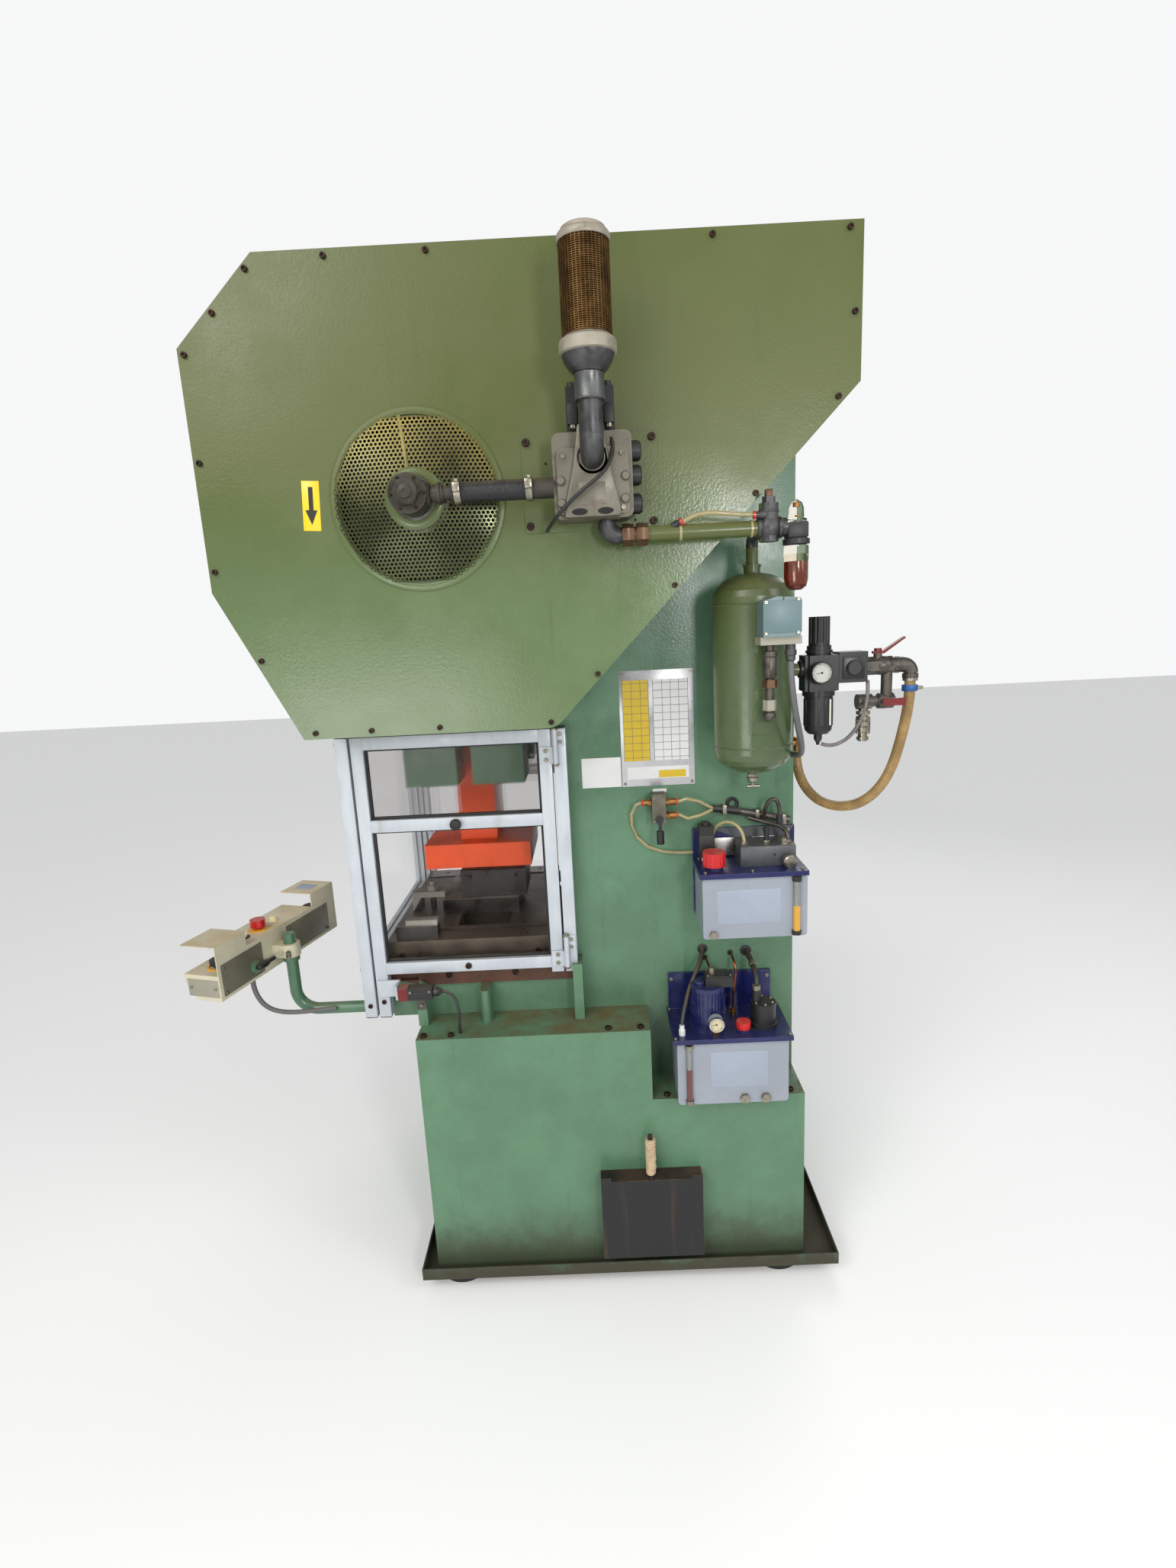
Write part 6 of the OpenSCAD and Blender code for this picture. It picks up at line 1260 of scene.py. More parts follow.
            silencer.plate((0.9, 1.3, 148), 0, (x, y, 2178), Z, 2, radians(9 * k), shift=(44.6, 0, 74))
        silencer.lathe([(0, 2325), (46, 2325), (47, 2327), (47, 2335), (45, 2338), (40, 2340), (39, 2346),
                        (36, 2348), (9, 2348), (9, 2344), (0, 2344)], 48, (x, y, 0), Z, 1)
        piece = silencer.done("silencer_body", ["dark iron", "pale casting", "bronze mesh", "grey casting"])
        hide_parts("silencer")
        return {"FINISHED"}


class PRESS_OT_supply(bpy.types.Operator):
    """Adds the details of the air line, lubricator, tank, pressure switch, regulator and inlet"""

    bl_idname = "press.supply"
    bl_label = "Air supply fittings"

    def execute(self, context):
        line_y, line_z, branch_x = -559, 1850, 690
        line = Shape()
        for x, radius, long in ((404, 22, 14), (432, 22, 16), (448, 18, 5)):
            line.nut(radius, long, (x, line_y, line_z), X, 0, bevel=1.0)
        for x in (514, 653):
            line.lathe([(15.2, 0), (16.4, 0.4), (16.4, 5), (15.2, 5.4)], 28, (x, line_y, line_z), X, 3)
        nipple = [(0, 0), (8, 0), (8, 12), (6.6, 13), (6.6, 20), (0, 20)]
        collar = [(0, 0), (8.2, 0), (8.2, 4), (5, 5), (0, 5)]
        for form, place, axis, paint in (
            (nipple, (502, line_y - 4, line_z + 11), (1, -0.35, 0.5), 1),
            (collar, (517, line_y - 9.5, line_z + 18), (1, -0.35, 0.5), 2),
            (nipple, (681, line_y - 13, line_z + 24), -X, 4),
            (collar, (661, line_y - 13, line_z + 24), -X, 2),
        ):
            line.lathe(form, 20, place, axis, paint)
        bead = [(15, 0), (19, 1), (21, 5), (19, 9), (15, 10)]
        line.lathe([(0, 1826), (14, 1828), (21, 1837), (24, 1850), (21, 1863), (14, 1872), (0, 1874)], 32,
                   (branch_x, line_y, 0), Z, 4)
        for place, axis in (((666, line_y, line_z), X), ((707, line_y, line_z), X),
                            ((branch_x, line_y, 1876), Z)):
            line.lathe(bead, 28, place, axis, 4)
        line.block(683, 697, line_y - 7, line_y + 7, 1907, 1922, 1.5, 0)
        line.done("air_line_fittings", ["old brass", "black plastic", "red plastic", "clear tube",
                                        "dark iron"])

        lube = Shape()
        x, y, z = 744, line_y, line_z
        lube.lathe([(0, 10), (20, 10), (20, 14), (15, 17), (14.5, 34), (11, 44), (4, 50), (0, 50.5)], 28,
                   (x, y, z), Z, 1)
        lube.lathe([(0, 36), (6, 36), (6, 44), (0, 45)], 16, (x, y, z), Z, 3)
        lube.lathe([(19.4, -36), (23.6, -36), (24, -40), (24, -62), (23.4, -66), (23.4, -100), (20, -114),
                    (11, -120.5), (0, -121), (0, -119), (10, -118), (18.4, -112), (21.6, -98), (21.6, -60),
                    (19.4, -52)], 32, (x, y, z), Z, 1, closed=False)
        lube.lathe([(0, -66), (21.4, -66), (21.4, -98), (18.2, -111), (10, -117.5), (0, -118)], 32,
                   (x, y, z), Z, 2)
        lube.lathe([(20, -34), (26, -33), (26, -24), (22, -22), (20, -22)], 32, (x, y, z), Z, 0)
        lube.put(rod_form(5, 4, 16, 0.5), (x, y - 8, z + 16), Z, 3)
        lube.block(x - 20, x + 20, y - 18.5, y + 18.5, z - 22, z + 8, 3, 0)
        piece = lube.done("lubricator_details", ["black plastic", "clear bowl", "red oil", "brass"])
        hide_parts("lubricator")

        tank = Shape()
        tank_x, tank_y = 690, -400
        tank.put(arc_patch(88.4, 94, radians(34), 1.2), (tank_x, tank_y, 1431), Z, 0)
        tank.lathe([(16, 0), (20, 0), (20, 5), (16, 6)], 28, (tank_x, tank_y, 1786), Z, 0)
        tank.lathe([(10, 0), (13, 1), (13, 9), (10, 10)], 24, (tank_x, tank_y, 1310), Z, 1)
        tank.nut(12, 8, (tank_x, tank_y, 1320), Z, 1)
        tank.done("tank_details", ["tank paint", "zinc screw"])

        box = Shape()
        box.plate((78, 2.4, 64), 0.6, (718, -558, 1679), (0.0, -0.02, 1), 0, 0)
        for x, z in ((685, 1646), (750, 1646), (685, 1708), (750, 1712)):
            box.screw(3.4, 2.4, (x, -557.5, z), -Y, 2)
        box.lathe([(0, 0), (12, 0), (12, 10), (10, 12), (10, 20), (7, 24), (0, 24)], 20,
                  (742, -529.5, 1611), -Z, 1)
        box.lathe([(9, 1553), (13, 1555), (14.5, 1561), (14.5, 1594), (13, 1597), (15.5, 1600),
                   (15.5, 1609), (9, 1611)], 28, (700, -523.5, 0), Z, 3)
        box.plate((1.2, 54, 0.8), 0, (716, -558, 1692), -Y, 4, radians(-6), shift=(2, 0, 0))
        box.plate((26, 6, 0.8), 0, (700, -558, 1658), -Y, 5)
        box.done("switch_details", ["blue grey plastic", "dark iron", "zinc screw", "galvanised",
                                    "painted hole shade and seam line", "plate white"])

        gauge = Shape()
        put_dial(gauge, (823, -474, 1556), -Y, 24, (0, 1, 2, 3))
        gauge.bar(10, 6, 20, (823, -470, 1556), Y, 0)
        gauge.done("regulator_gauge", ["black plastic", "dial white", "label black", "clear glass"])

        filter_unit = Shape()
        x, y, z = 831, -425, 1562
        filter_unit.plate((3, 4, 58), 1, (x, y, z - 95), Z, 1, radians(-53), shift=(31.5, 0, 0))
        for k in range(12):
            filter_unit.plate((2.2, 4, 60), 0.6, (x, y, z - 96), Z, 0, radians(15 + 30 * k),
                              shift=(30.8, 0, 0))
        filter_unit.lathe([(31, 0), (35, 1), (35, 13), (31, 14)], 36, (x, y, z - 60), Z, 0)
        filter_unit.lathe([(25, 0), (29, 1), (29, 7), (25, 8)], 36, (x, y, z + 33), Z, 0)
        filter_unit.lathe([(0, 0), (7, 0), (7, 4), (4, 6), (4, 12), (0, 12)], 20, (x, y, z - 158), -Z, 0)
        for side in (-1, 1):
            filter_unit.lathe([(13, 0), (20, 0), (20, 6), (18, 8), (13, 8)], 28, (x + side * 37, y, z),
                              (side, 0, 0), 0)
        filter_unit.nut(17, 12, (786, y, z), X, 2)
        for side in (-24, 24):
            filter_unit.screw(4, 3, (x + side, y - 26, z + 18), -Y, 3)
        filter_unit.done("regulator_details", ["black plastic", "dial white", "brass", "zinc screw"])

        inlet = Shape()
        lock_x, coupler_x, elbow_x = 899, 931, 1033
        inlet.block(lock_x - 24, lock_x + 24, y - 29, y - 25, z - 24, z + 24, 2, 0)
        inlet.lathe([(0, 0), (17, 0), (17, 5), (14, 8), (0, 8)], 28, (lock_x, y - 29, z), -Y, 0)
        inlet.nut(19, 14, (932, y, z), X, 1)
        for x0 in (942, 996):
            inlet.nut(18, 12, (x0, y, z), X, 1)
        inlet.lathe([(12, 0), (19, 3), (21, 9), (21, 19), (19, 25), (12, 28)], 32, (956, y, z), X, 1)
        inlet.put(rod_form(7, 10, 20, 0.8), (960, y, z + 20), Z, 2)
        inlet.lathe([(12, 0), (17, 2), (17.5, 8), (17.5, 14), (17, 20), (12, 22)], 32, (962, y, 1484), X, 1)
        inlet.lathe([(12, 0), (16, 0), (17, 2), (17, 12), (16, 14), (12, 14)], 28, (elbow_x, y, 1503), Z, 3)
        inlet.screw(4, 12, (1048, y - 4, 1510), X, 2)
        inlet.lathe([(0, 0), (16, 0), (16, 8), (13, 10), (0, 10)], 28, (elbow_x, y, 1526), Z, 2)
        inlet.lathe([(12, 0), (15.5, 0), (15.5, 9), (12, 9)], 28, (elbow_x, y, 1531), Z, 3)
        for k in range(18):
            inlet.plate((1.6, 1.5, 34), 0, (coupler_x, y, 1430), Z, 2, radians(20 * k), shift=(15.2, 0, 0))
        inlet.lathe([(9, 0), (13, 0), (13, 7), (9, 7)], 24, (coupler_x, y, 1399), Z, 2)
        inlet.done("inlet_details", ["black plastic", "galvanised", "zinc screw", "clamp blue"])
        return {"FINISHED"}


class PRESS_OT_plates(bpy.types.Operator):
    """Fixes the bare plates to the column: the data plate with its table, and a small white one"""

    bl_idname = "press.plates"
    bl_label = "Plates"

    def execute(self, context):
        plate = Shape()
        y = SIDE.y0
        place = (482, y, 1427)
        plate.plate((178, 282, 1.6), 0.5, place, -Y, 0)
        plate.plate((62, 196, 0.5), 0, place, -Y, 1, shift=(-50, 20, 1.0))
        plate.plate((84, 196, 0.5), 0, place, -Y, 2, shift=(34, 20, 1.0))
        plate.plate((150, 30, 0.5), 0, place, -Y, 2, shift=(0, -108, 1.0))
        for k in range(11):
            level = -70 + k * 18
            plate.plate((84, 0.9, 0.5), 0, place, -Y, 3, shift=(34, level, 1.3))
            plate.plate((62, 0.8, 0.5), 0, place, -Y, 3, shift=(-50, level, 1.3))
        plate.plate((66, 18, 0.5), 0, place, -Y, 1, shift=(34, -112, 1.2))
        for x in (-8, 14, 34, 54, 76):
            plate.plate((0.9, 196, 0.5), 0, place, -Y, 3, shift=(x, 20, 1.3))
        for x in (-81, -60, -38, -19):
            plate.plate((0.8, 196, 0.5), 0, place, -Y, 3, shift=(x, 20, 1.3))
        for x in (-82, 82):
            for z in (-134, 134):
                plate.put(moved(cap_screw_form(3.4, 2), (x, z, 0.8)), place, -Y, 4)
        plate.done("data_plate", ["plate silver", "plate yellow", "plate white", "plate line",
                                  "zinc screw"])
        small = Shape()
        small.plate((96, 74, 1.4), 0.5, (343, y, 1324), -Y, 0)
        small.plate((34, 9, 1.2), 0.3, (484, y, 1273), -Y, 0)
        small.done("small_plates", ["plate white"])
        return {"FINISHED"}


class PRESS_OT_lubrication(bpy.types.Operator):
    """Adds the details of the two oil units, their gauge and sight glasses, and the hand valve's fittings"""

    bl_idname = "press.lubrication"
    bl_label = "Lubrication fittings"

    def execute(self, context):
        upper = Shape()
        x0, x1, y0, z0, z1, top = 565, 810, -432, 938, 1088, 1100
        upper.plate((150, 84, 1), 0.4, (x0 + 108, y0, z0 + 78), -Y, 0)
        for x in (x0 + 8, x0 + 118, x1 - 10):
            for y in (y0 + 6, -316):
                upper.screw(4, 4, (x, y, top), Z, 1)
        for x in (x0 + 14, x1 - 14):
            upper.screw(5, 4, (x, -302, 1162), -Y, 1)
        sight_x, sight_y = x1 - 26, y0 - 4
        upper.bar(8.6, 62, 24, (sight_x, sight_y, z0 + 16), Z, 2)
        upper.bar(8.5, 66, 24, (sight_x, sight_y, z0 + 78), Z, 3)
        for z in (z0 + 6, z1 - 12):
            upper.bar(11, 10, 24, (sight_x, sight_y, z), Z, 4)
        upper.block(x0 + 97, x1 - 17, y0 + 39, y0 + 42, top, z1 + 60, 1.5, 8)
        upper.lathe([(0, 0), (12, 0), (12, 8), (16, 9), (17, 12), (17, 20), (14, 23), (0, 23)], 24,
                    (772, y0 + 39, 1116), (0.15, -1, -0.1), 1)
        upper.put(rod_form(3.4, 0.6, 16), (742, y0 + 39, 1128), -Y, 4)
        for x, size in ((633, 58), (733, 56)):
            upper.plate((size, 5, 46), 1, (x, -309, 1128), Z, 5)
        for x, y in ((675, -372), (778, -372), (729, -366)):
            upper.nut(7.5, 9, (x, y, 1148), Z, 1)
        upper.lathe([(0, 0), (6, 0), (6, 22), (8, 23), (8, 32), (0, 34)], 20, (729, -366, 1156), Z, 4)
        upper.lathe([(0, 0), (8, 0), (8, 26), (0, 28)], 20, (767, -337, 1182), Z, 4)
        upper.plate((26, 0.8, 9), 0, (590, -343.2, 1108), Z, 7)
        upper.lathe([(0, 0), (10, 0), (10, 8), (7, 10), (0, 10)], 20, (x0 + 25, -322, z1 + 100), Z, 4)
        upper.block(x0 + 6, x0 + 44, -345, -338, z1 + 30, z1 + 80, 2, 4)
        upper.lathe([(18, 0), (21, 0), (21, 4), (18, 8)], 32, (x0 + 34, y0 + 40, top), Z, 6)
        upper.done("upper_unit_details", ["bare label", "zinc screw", "amber oil", "clear bowl",
                                          "black plastic", "bright steel", "navy enamel", "plate white",
                                          "machined block"])

        lower = Shape()
        x0, x1, y0, z0, z1, top = 494, 764, -450, 514, 680, 692
        lower.plate((140, 96, 1), 0.4, (x0 + 150, y0, z0 + 92), -Y, 0)
        for x in (x0 - 3, x1 + 3):
            for y in (y0, -302):
                lower.screw(4, 4, (x, y, top), Z, 1)
        sight_x, sight_y = x0 + 28, y0 - 4
        lower.bar(7.6, 84, 24, (sight_x, sight_y, z0 + 16), Z, 2)
        lower.bar(7.5, 58, 24, (sight_x, sight_y, z0 + 100), Z, 3)
        for z in (z0 + 6, z1 - 12):
            lower.bar(10, 10, 24, (sight_x, sight_y, z), Z, 1)
        motor = (x0 + 84, y0 + 66, top)
        for k in range(28):
            lower.plate((4, 1.6, 88), 0, motor, Z, 6, radians(360 / 28 * k), shift=(39, 0, 54))
        lower.lathe([(38, 0), (46, 0), (46, 7), (38, 8)], 40, motor, Z, 6)
        lower.lathe([(0, 0), (15, 0), (15, 6), (12, 9), (0, 9)], 32, (motor[0] - 18, motor[1], top + 110),
                    Z, 6)
        lower.plate((66, 42, 3), 1.2, (x0 + 112, y0 + 66, top + 135), Z, 4)
        for dx, dy in ((-27, -16), (27, -16), (-27, 16), (27, 16)):
            lower.screw(3, 3, (x0 + 112 + dx, y0 + 66 + dy, top + 136), Z, 1)
        lower.lathe([(0, 0), (9, 0), (9, 8), (7, 10), (7, 16), (0, 16)], 20, (x0 + 96, y0 + 66, top + 136),
                    Z, 1)
        put_dial(lower, (591, -444, 724), -Y, 19, (7, 8, 9, 3))
        lower.nut(9, 10, (591, y0 + 18, top), Z, 10)
        pump = (x0 + 221, y0 + 58, top)
        lower.lathe([(30, 0), (34, 0), (34, 8), (30, 9)], 40, pump, Z, 4)
        for k in range(6):
            lower.put(moved(cap_screw_form(3.4, 4), (23, 0, 60)), pump, Z, 1, radians(30 + 60 * k))
        lower.lathe([(0, 92), (10, 92), (10, 104), (7, 106), (0, 106)], 20, (x0 + 204, y0 + 58, top), Z, 1)
        lower.nut(9, 13, (697, -339, 833), (0.1, -0.88, -0.4), 1)
        lower.lathe([(0, 0), (8, 0), (8, 14), (6, 16), (6, 26), (0, 26)], 20, (509, -430, top), Z, 11)
        lower.nut(7, 8, (593, -362, 806), (0.1, 0.95, 0.3), 10)
        lower.lathe([(13, 0), (16, 0), (16, 5), (13, 6)], 28, (x0 + 166, y0 + 28, top), Z, 6)
        lower.lathe([(0, 0), (8, 0), (8, 8), (6, 9), (6, 14), (0, 14)], 20, (650, -335, top), Z, 10)
        for x in (x0 + 4, x1 - 20):
            lower.screw(5, 4, (x, -300, top + 84), -Y, 1)
        lower.done("lower_unit_details", ["bare label", "zinc screw", "brown oil", "clear bowl",
                                          "black plastic", "bright steel", "navy enamel", "chrome",
                                          "dial white", "label black", "brass", "plate white"])

        valve = Shape()
        for x, z, side in ((520, 1250, 1), (520, 1216, 1), (440, 1250, -1)):
            valve.lathe([(4.3, 0), (9, 0), (9, 3), (4.3, 4)], 20, (x, -316, z), (side, 0, 0), 0)
            valve.nut(9.6, 8, (x - side * 24 if side > 0 else x + 13, -316, z), X, 1)
        for x, z in ((466, 1206), (489, 1206), (466, 1264), (489, 1264)):
            valve.screw(3.2, 3, (x, -332, z), -Y, 2)
        valve.done("hand_valve_details", ["red plastic", "brass", "zinc screw"])

        grommet = Shape()
        grommet.lathe([(8, 0), (15, 0), (16, 2), (16, 5), (12, 8), (8, 6)], 28, (661, SIDE.y0, 1233), -Y, 0)
        for place, radius in (((581, SIDE.y0, 852), 13), ((692, SIDE.y0, 842), 14), ((652, SIDE.y0, 838), 7),
                              ((587, SIDE.y0, 828), 7)):
            grommet.lathe([(radius * 0.4, 0), (radius, 0), (radius, 2), (radius * 0.7, 4),
                           (radius * 0.4, 4)], 24, place, -Y, 0)
        for x, z in ((640, 1220), (720, 1205), (785, 1190)):
            grommet.block(x - 5, x + 5, SIDE.y0 - 20.5, SIDE.y0 - 18.8, z - 12, z + 12, 0.6, 1)
            for side in (-1, 1):
                grommet.block(x - 5, x + 5, SIDE.y0 - 20, SIDE.y0 - 0.2, z + side * 11.5 - 1,
                              z + side * 11.5 + 1, 0.6, 1)
        grommet.done("tube_clips", ["black rubber", "zinc screw"])
        return {"FINISHED"}


class PRESS_OT_guards(bpy.types.Operator):
    """Adds the door's and screens' cover strips, end caps, gaskets, screws and knob"""

    bl_idname = "press.guards"
    bl_label = "Door and screen fittings"

    def execute(self, context):
        y0, left, right = -340, -250, 196
        # Lowest and highest ends of the profiles, and the hinges
        foot, top, hinges = 727, 1445, (847, 1363)
        caps = Shape()
        for x, y, low in ((left, y0, foot), (right, y0, 830)):
            caps.block(x + 0.5, x + 29.5, y + 0.5, y + 29.5, top, top + 3, 1, 0)
            caps.block(x + 0.5, x + 29.5, y + 0.5, y + 29.5, low - 3, low, 1, 0)
        for z, far in ((1247, 1410), (877, 1207)):
            for x in (left + 31, right - 5):
                caps.block(x - 1, x + 5, -330.5, -319.5, z - 5, far + 5, 1, 1)
            for level in (z - 4, far + 1):
                caps.block(left + 32, right - 2, -330.5, -319.5, level - 1, level + 5, 1, 1)
        caps.screw(6, 5, (left + 15, y0 + 1, 768), -Y, 4)
        for x, low in ((left, foot), (right, 830)):
            caps.block(x + 0.4, x + 29.6, y0 - 0.8, y0 + 0.6, low, top, 0.6, 5)
        for z in (842, 1212, 1415):
            caps.block(left + 29.8, right + 0.2, y0 - 0.6, y0 + 0.6, z + 0.4, z + 29.6, 0.6, 5)
        caps.lathe([(0, 0), (6, 0), (6, 6), (13, 9), (14, 13), (13, 20), (9, 23), (0, 24)], 28,
                   (-13, y0, 1227), -Y, 3)
        caps.screw(8, 6, (-13, y0, 857), -Y, 4)
        for z in hinges:
            for level in (z + 9, z + 31):
                caps.screw(5, 4, (213, y0 - 4, level), -Y, 2)
            caps.lathe([(0, 0), (8, 0), (8, 4), (6, 6), (0, 6)], 20, (236, -348, z), -Z, 2)
        caps.done("door_fittings", ["black plastic", "black rubber", "zinc screw", "black rubber",
                                    "screw black", "profile aluminium"], "door")

        still = Shape()
        for z in hinges:
            for level in (z + 50, z + 70):
                still.screw(5, 4, (248, y0 - 4, level), -Y, 2)
            still.lathe([(0, 0), (8, 0), (8, 4), (6, 6), (0, 6)], 20, (236, -348, z + 80), Z, 2)
        for x, y, low in ((231, y0, None), (-286, y0, foot), (-286, 310, foot), (left, 310, foot),
                          (right, 310, 817)):
            still.block(x + 0.5, x + 29.5, y + 0.5, y + 29.5, top, top + 3, 1, 0)
            if low:
                still.block(x + 0.5, x + 29.5, y + 0.5, y + 29.5, low - 3, low, 1, 0)
        for z in (1430, 852):
            for y in (y0 + 15, 325):
                still.screw(6, 5, (-286, y, z), -X, 2)
        for z in (882, 1405):
            still.screw(6, 5, (254, -300, z), -Y, 2)
        for x, z in ((left + 15, 857), (left + 15, 1227), (left + 15, 1430), (right + 15, 857),
                     (right + 15, 1227), (right + 15, 1430)):
            still.screw(6, 5, (x, 339, z), Y, 2)
        still.screw(6, 5, (-271, y0 + 1, 758), -Y, 3)
        for x, low in ((-286, foot), (231, 830)):
            still.block(x + 0.4, x + 29.6, y0 - 0.8, y0 + 0.6, low, top, 0.6, 4)
        still.done("screen_fittings", ["black plastic", "black rubber", "zinc screw", "screw black",
                                       "profile aluminium"])

        switch = Shape()
        for x in (-155, -108):
            switch.screw(3.4, 3, (x, -387, 814), -Y, 0)
        switch.plate((50, 20, 1.6), 0.5, (-132, -387, 802), -Y, 1)
        switch.lathe([(10, 0), (12, 0), (12, 8), (10, 9)], 20, (-98, -371, 806), X, 2)
        switch.nut(9, 6, (-86, -371, 806), X, 2)
        for z in (762, 786):
            switch.screw(4.5, 4, (-138, -355, z), -Y, 0)
        switch.done("door_switch_details", ["zinc screw", "black plastic", "black plastic"])
        return {"FINISHED"}


class PRESS_OT_tooling(bpy.types.Operator):
    """Adds the screws of the ram's plate, the tooling and the bed"""

    bl_idname = "press.tooling"
    bl_label = "Tooling fittings"

    def execute(self, context):
        moving = Shape()
        for x in (-34, 94):
            moving.screw(5.5, 5, (x, -95, 1008), -Y, 0)
        for y in (-70, 50):
            moving.screw(6, 5, (-60, y, 1004), -X, 0)
        moving.done("ram_screws", ["screw black"], "ram")
        bed = Shape()
        for x in (-73, 98):
            bed.screw(8, 6, (x, -300, 816), -Y, 0)
        for x in (-190, 160):
            bed.screw(7, 6, (x, -290, 870), -Y, 0)
        for x in (-90, 70):
            bed.screw(5.5, 5, (x, -110, 930), -Y, 0)
        bed.done("bed_screws", ["screw black"])
        return {"FINISHED"}


CONSOLE_TURN = radians(16)


def console_place(u, v, z):
    """A point of the turned console: u to the press, v away from the viewer."""
    c, n = math.cos(CONSOLE_TURN), math.sin(CONSOLE_TURN)
    return (-533 + u * c + v * n, -160 - u * n + v * c, z)


class PRESS_OT_console(bpy.types.Operator):
    """Adds the console's cover, screws, gland, button plates and clamp lever"""

    bl_idname = "press.console"
    bl_label = "Console fittings"

    def execute(self, context):
        turn = -CONSOLE_TURN
        side = Vector((math.cos(CONSOLE_TURN), -math.sin(CONSOLE_TURN), 0))
        near = Vector((-math.sin(CONSOLE_TURN), -math.cos(CONSOLE_TURN), 0))
        # The row of buttons, and the top that they stand on
        row, top = -83.5, 905
        shape = Shape()
        shape.plate((2, 190, 84), 0.7, console_place(-38, 135, 851), Z, 1, turn)
        shape.plate((2, 150, 84), 0.7, console_place(-38, -140, 851), Z, 1, turn)
        for v in (48, 222, -207, -73):
            for z in (817, 885):
                shape.screw(4, 3, console_place(-37, v, z), side, 2)
        shape.lathe([(0, 0), (17, 0), (17, 6), (12, 9), (12, 17), (8, 20), (0, 20)], 28,
                    console_place(-39, -100, 838), side, 3)
        shape.plate((92, 1.6, 46), 0.5, console_place(-90, -225.6, 833), Z, 4, turn)
        for u in (-125, -52):
            shape.screw(3.6, 3, console_place(u, -226.4, 834), near, 2)
        shape.lathe([(10, 0), (27, 0), (27, 2), (24, 2.6), (10, 2.6)], 40, console_place(row, -15, top), Z, 5)
        shape.lathe([(12.5, 0), (16.5, 0), (16.5, 2.2), (15, 3.2), (12.5, 3.2)], 32,
                    console_place(row, -75, top), Z, 6)
        shape.lathe([(0, 0), (12, 0), (12, 3), (10, 3.4), (9.5, 10), (7, 12.5), (0, 13)], 28,
                    console_place(row, 45, top), Z, 7)
        shape.plate((56, 42, 0.8), 0.3, console_place(-92, 216, 945.2), Z, 8, turn)
        for v in (-171, 216):
            shape.lathe([(24, 0), (30, 0), (30, 2), (28, 3), (24, 3)], 40, console_place(row, v, 868), Z, 5)
        shape.lathe([(0, 0), (5.6, 0), (5.6, 24), (9, 28), (10, 36), (9, 62), (6, 66), (0, 67)], 24,
                    console_place(-6, -60, 848), near, 6)
        for z in (848, 838):
            shape.nut(7, 6, console_place(14, -26, z), near, 2)
        shape.done("console_details", ["console cream", "console grey", "zinc screw", "post paint",
                                       "light grey plastic", "button yellow", "black plastic",
                                       "button pale", "bare label"], "console")
        return {"FINISHED"}


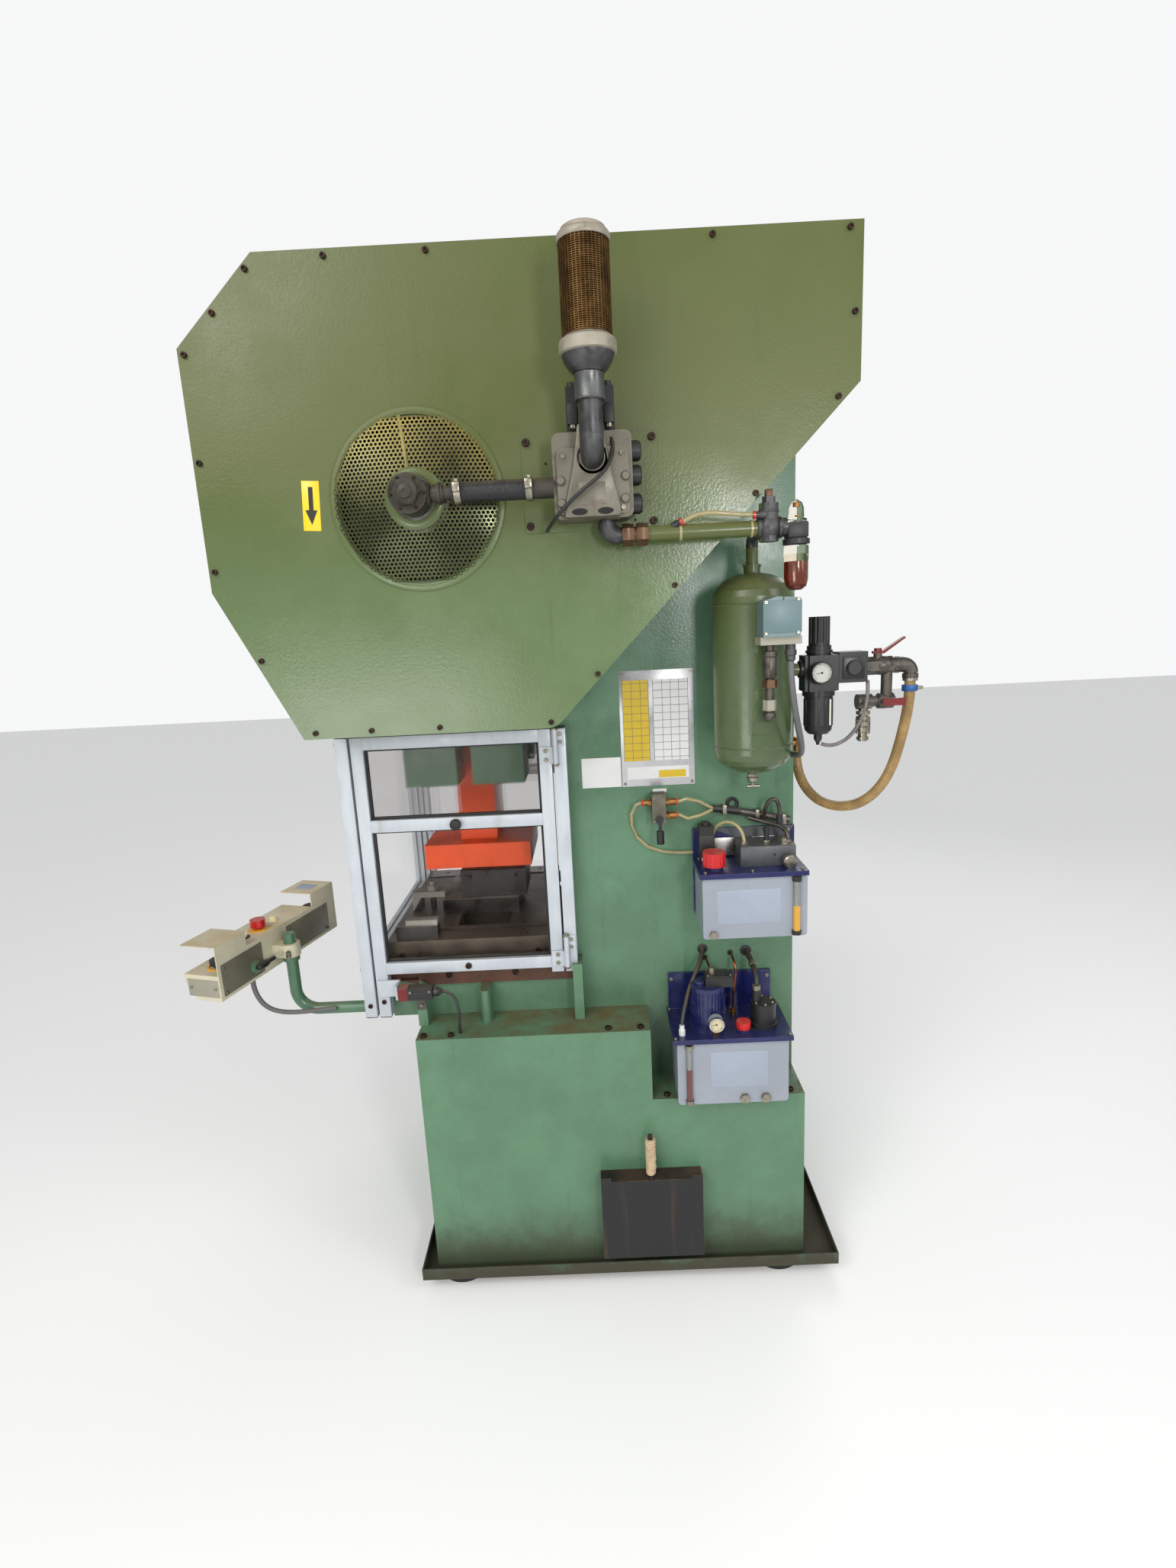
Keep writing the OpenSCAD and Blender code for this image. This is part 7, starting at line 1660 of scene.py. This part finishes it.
class PRESS_OT_base(bpy.types.Operator):
    """Adds the base's screws and nuts, the post's flange and the cloth round the hopper's pull rod"""

    bl_idname = "press.base"
    bl_label = "Base fittings"

    def execute(self, context):
        base = Shape()
        edge_y, flange = -404, (-160, 666)
        for x, y in ((-85, -360), (752, -360), (-85, 360), (752, 360)):
            base.nut(15, 10, (x, y, 42.5), Z, 0, bevel=1.0)
        for x in (-128, -60, 330, 410):
            base.screw(8, 7, (x, edge_y, 702), Z, 0)
        for x in (470, 780):
            base.screw(8, 7, (x, edge_y, 512), Z, 0)
        base.lathe([(0, 0), (34, 0), (34, 3), (30, 5), (0, 5)], 32, (-156, *flange), -X, 1)
        for k in range(4):
            base.put(moved(cap_screw_form(4, 4), (26, 0, 0)), (-157, *flange), -X, 0, radians(45 + 90 * k))
        base.done("base_fittings", ["screw black", "post paint"])

        wrap = Shape()
        random.seed(4)
        for k in range(13):
            size = 11.8 + random.uniform(0, 1.6)
            tilt = (random.uniform(-0.12, 0.12), random.uniform(-0.12, 0.12), 1)
            wrap.lathe([(6.5, 0), (size - 1.5, 0.2), (size, 2.5), (size, 7), (size - 1.2, 9.3), (6.5, 9.5)],
                       20, (420, -458, 333 + 7.2 * k), tilt)
        wrap.done("pull_rod_wrap", ["pale tape"], "hopper")
        return {"FINISHED"}


class PRESS_OT_finishes(bpy.types.Operator):
    """Paints every carried-over part of the frame"""

    bl_idname = "press.finishes"
    bl_label = "Finishes"

    def execute(self, context):
        for finish, names in FINISHED_NODES.items():
            for name in names.split():
                mesh = NODES[name].data
                mesh.materials.clear()
                mesh.materials.append(material(finish))
                for face in mesh.polygons:
                    face.material_index = 0
        for node, finish, *boxes in ZONES:
            zone(node, finish, *boxes)
        return {"FINISHED"}


class PRESS_PT_panel(bpy.types.Panel):
    """Lists the press's operators and the sizes and colours behind them"""

    bl_label = "Press"
    bl_idname = "PRESS_PT_panel"
    bl_space_type = "VIEW_3D"
    bl_region_type = "UI"
    bl_category = "Press"

    def draw(self, context):
        for group in settings(context):
            for name in group.bl_rna.properties.keys():
                if name not in ("rna_type", "name"):
                    self.layout.prop(group, name)
        for operator in OPERATORS:
            self.layout.operator(operator.bl_idname)


OPERATORS = (PRESS_OT_stage, PRESS_OT_cords, PRESS_OT_finishes, PRESS_OT_guard, PRESS_OT_vent,
             PRESS_OT_clutch_air, PRESS_OT_supply, PRESS_OT_plates, PRESS_OT_lubrication, PRESS_OT_guards,
             PRESS_OT_tooling, PRESS_OT_console, PRESS_OT_base)
CLASSES = (StageSettings, ColourSettings, FittingSettings, *OPERATORS, PRESS_PT_panel)
GROUPED = {"press_stage": StageSettings, "press_colours": ColourSettings, "press_fittings": FittingSettings}


def register():
    """Registers the classes and their settings."""
    for item in CLASSES:
        bpy.utils.register_class(item)
    for name, kind in GROUPED.items():
        setattr(bpy.types.Scene, name, PointerProperty(type=kind))


def unregister():
    """Takes the classes and their settings out again."""
    for name in GROUPED:
        delattr(bpy.types.Scene, name)
    for item in reversed(CLASSES):
        bpy.utils.unregister_class(item)


def main():
    register()
    for build in GROUPS:
        build()
    define_finishes(bpy.context.scene.press_colours)
    for operator in OPERATORS:
        family, name = operator.bl_idname.split(".")
        getattr(getattr(bpy.ops, family), name)()


if __name__ == "__main__":
    main()
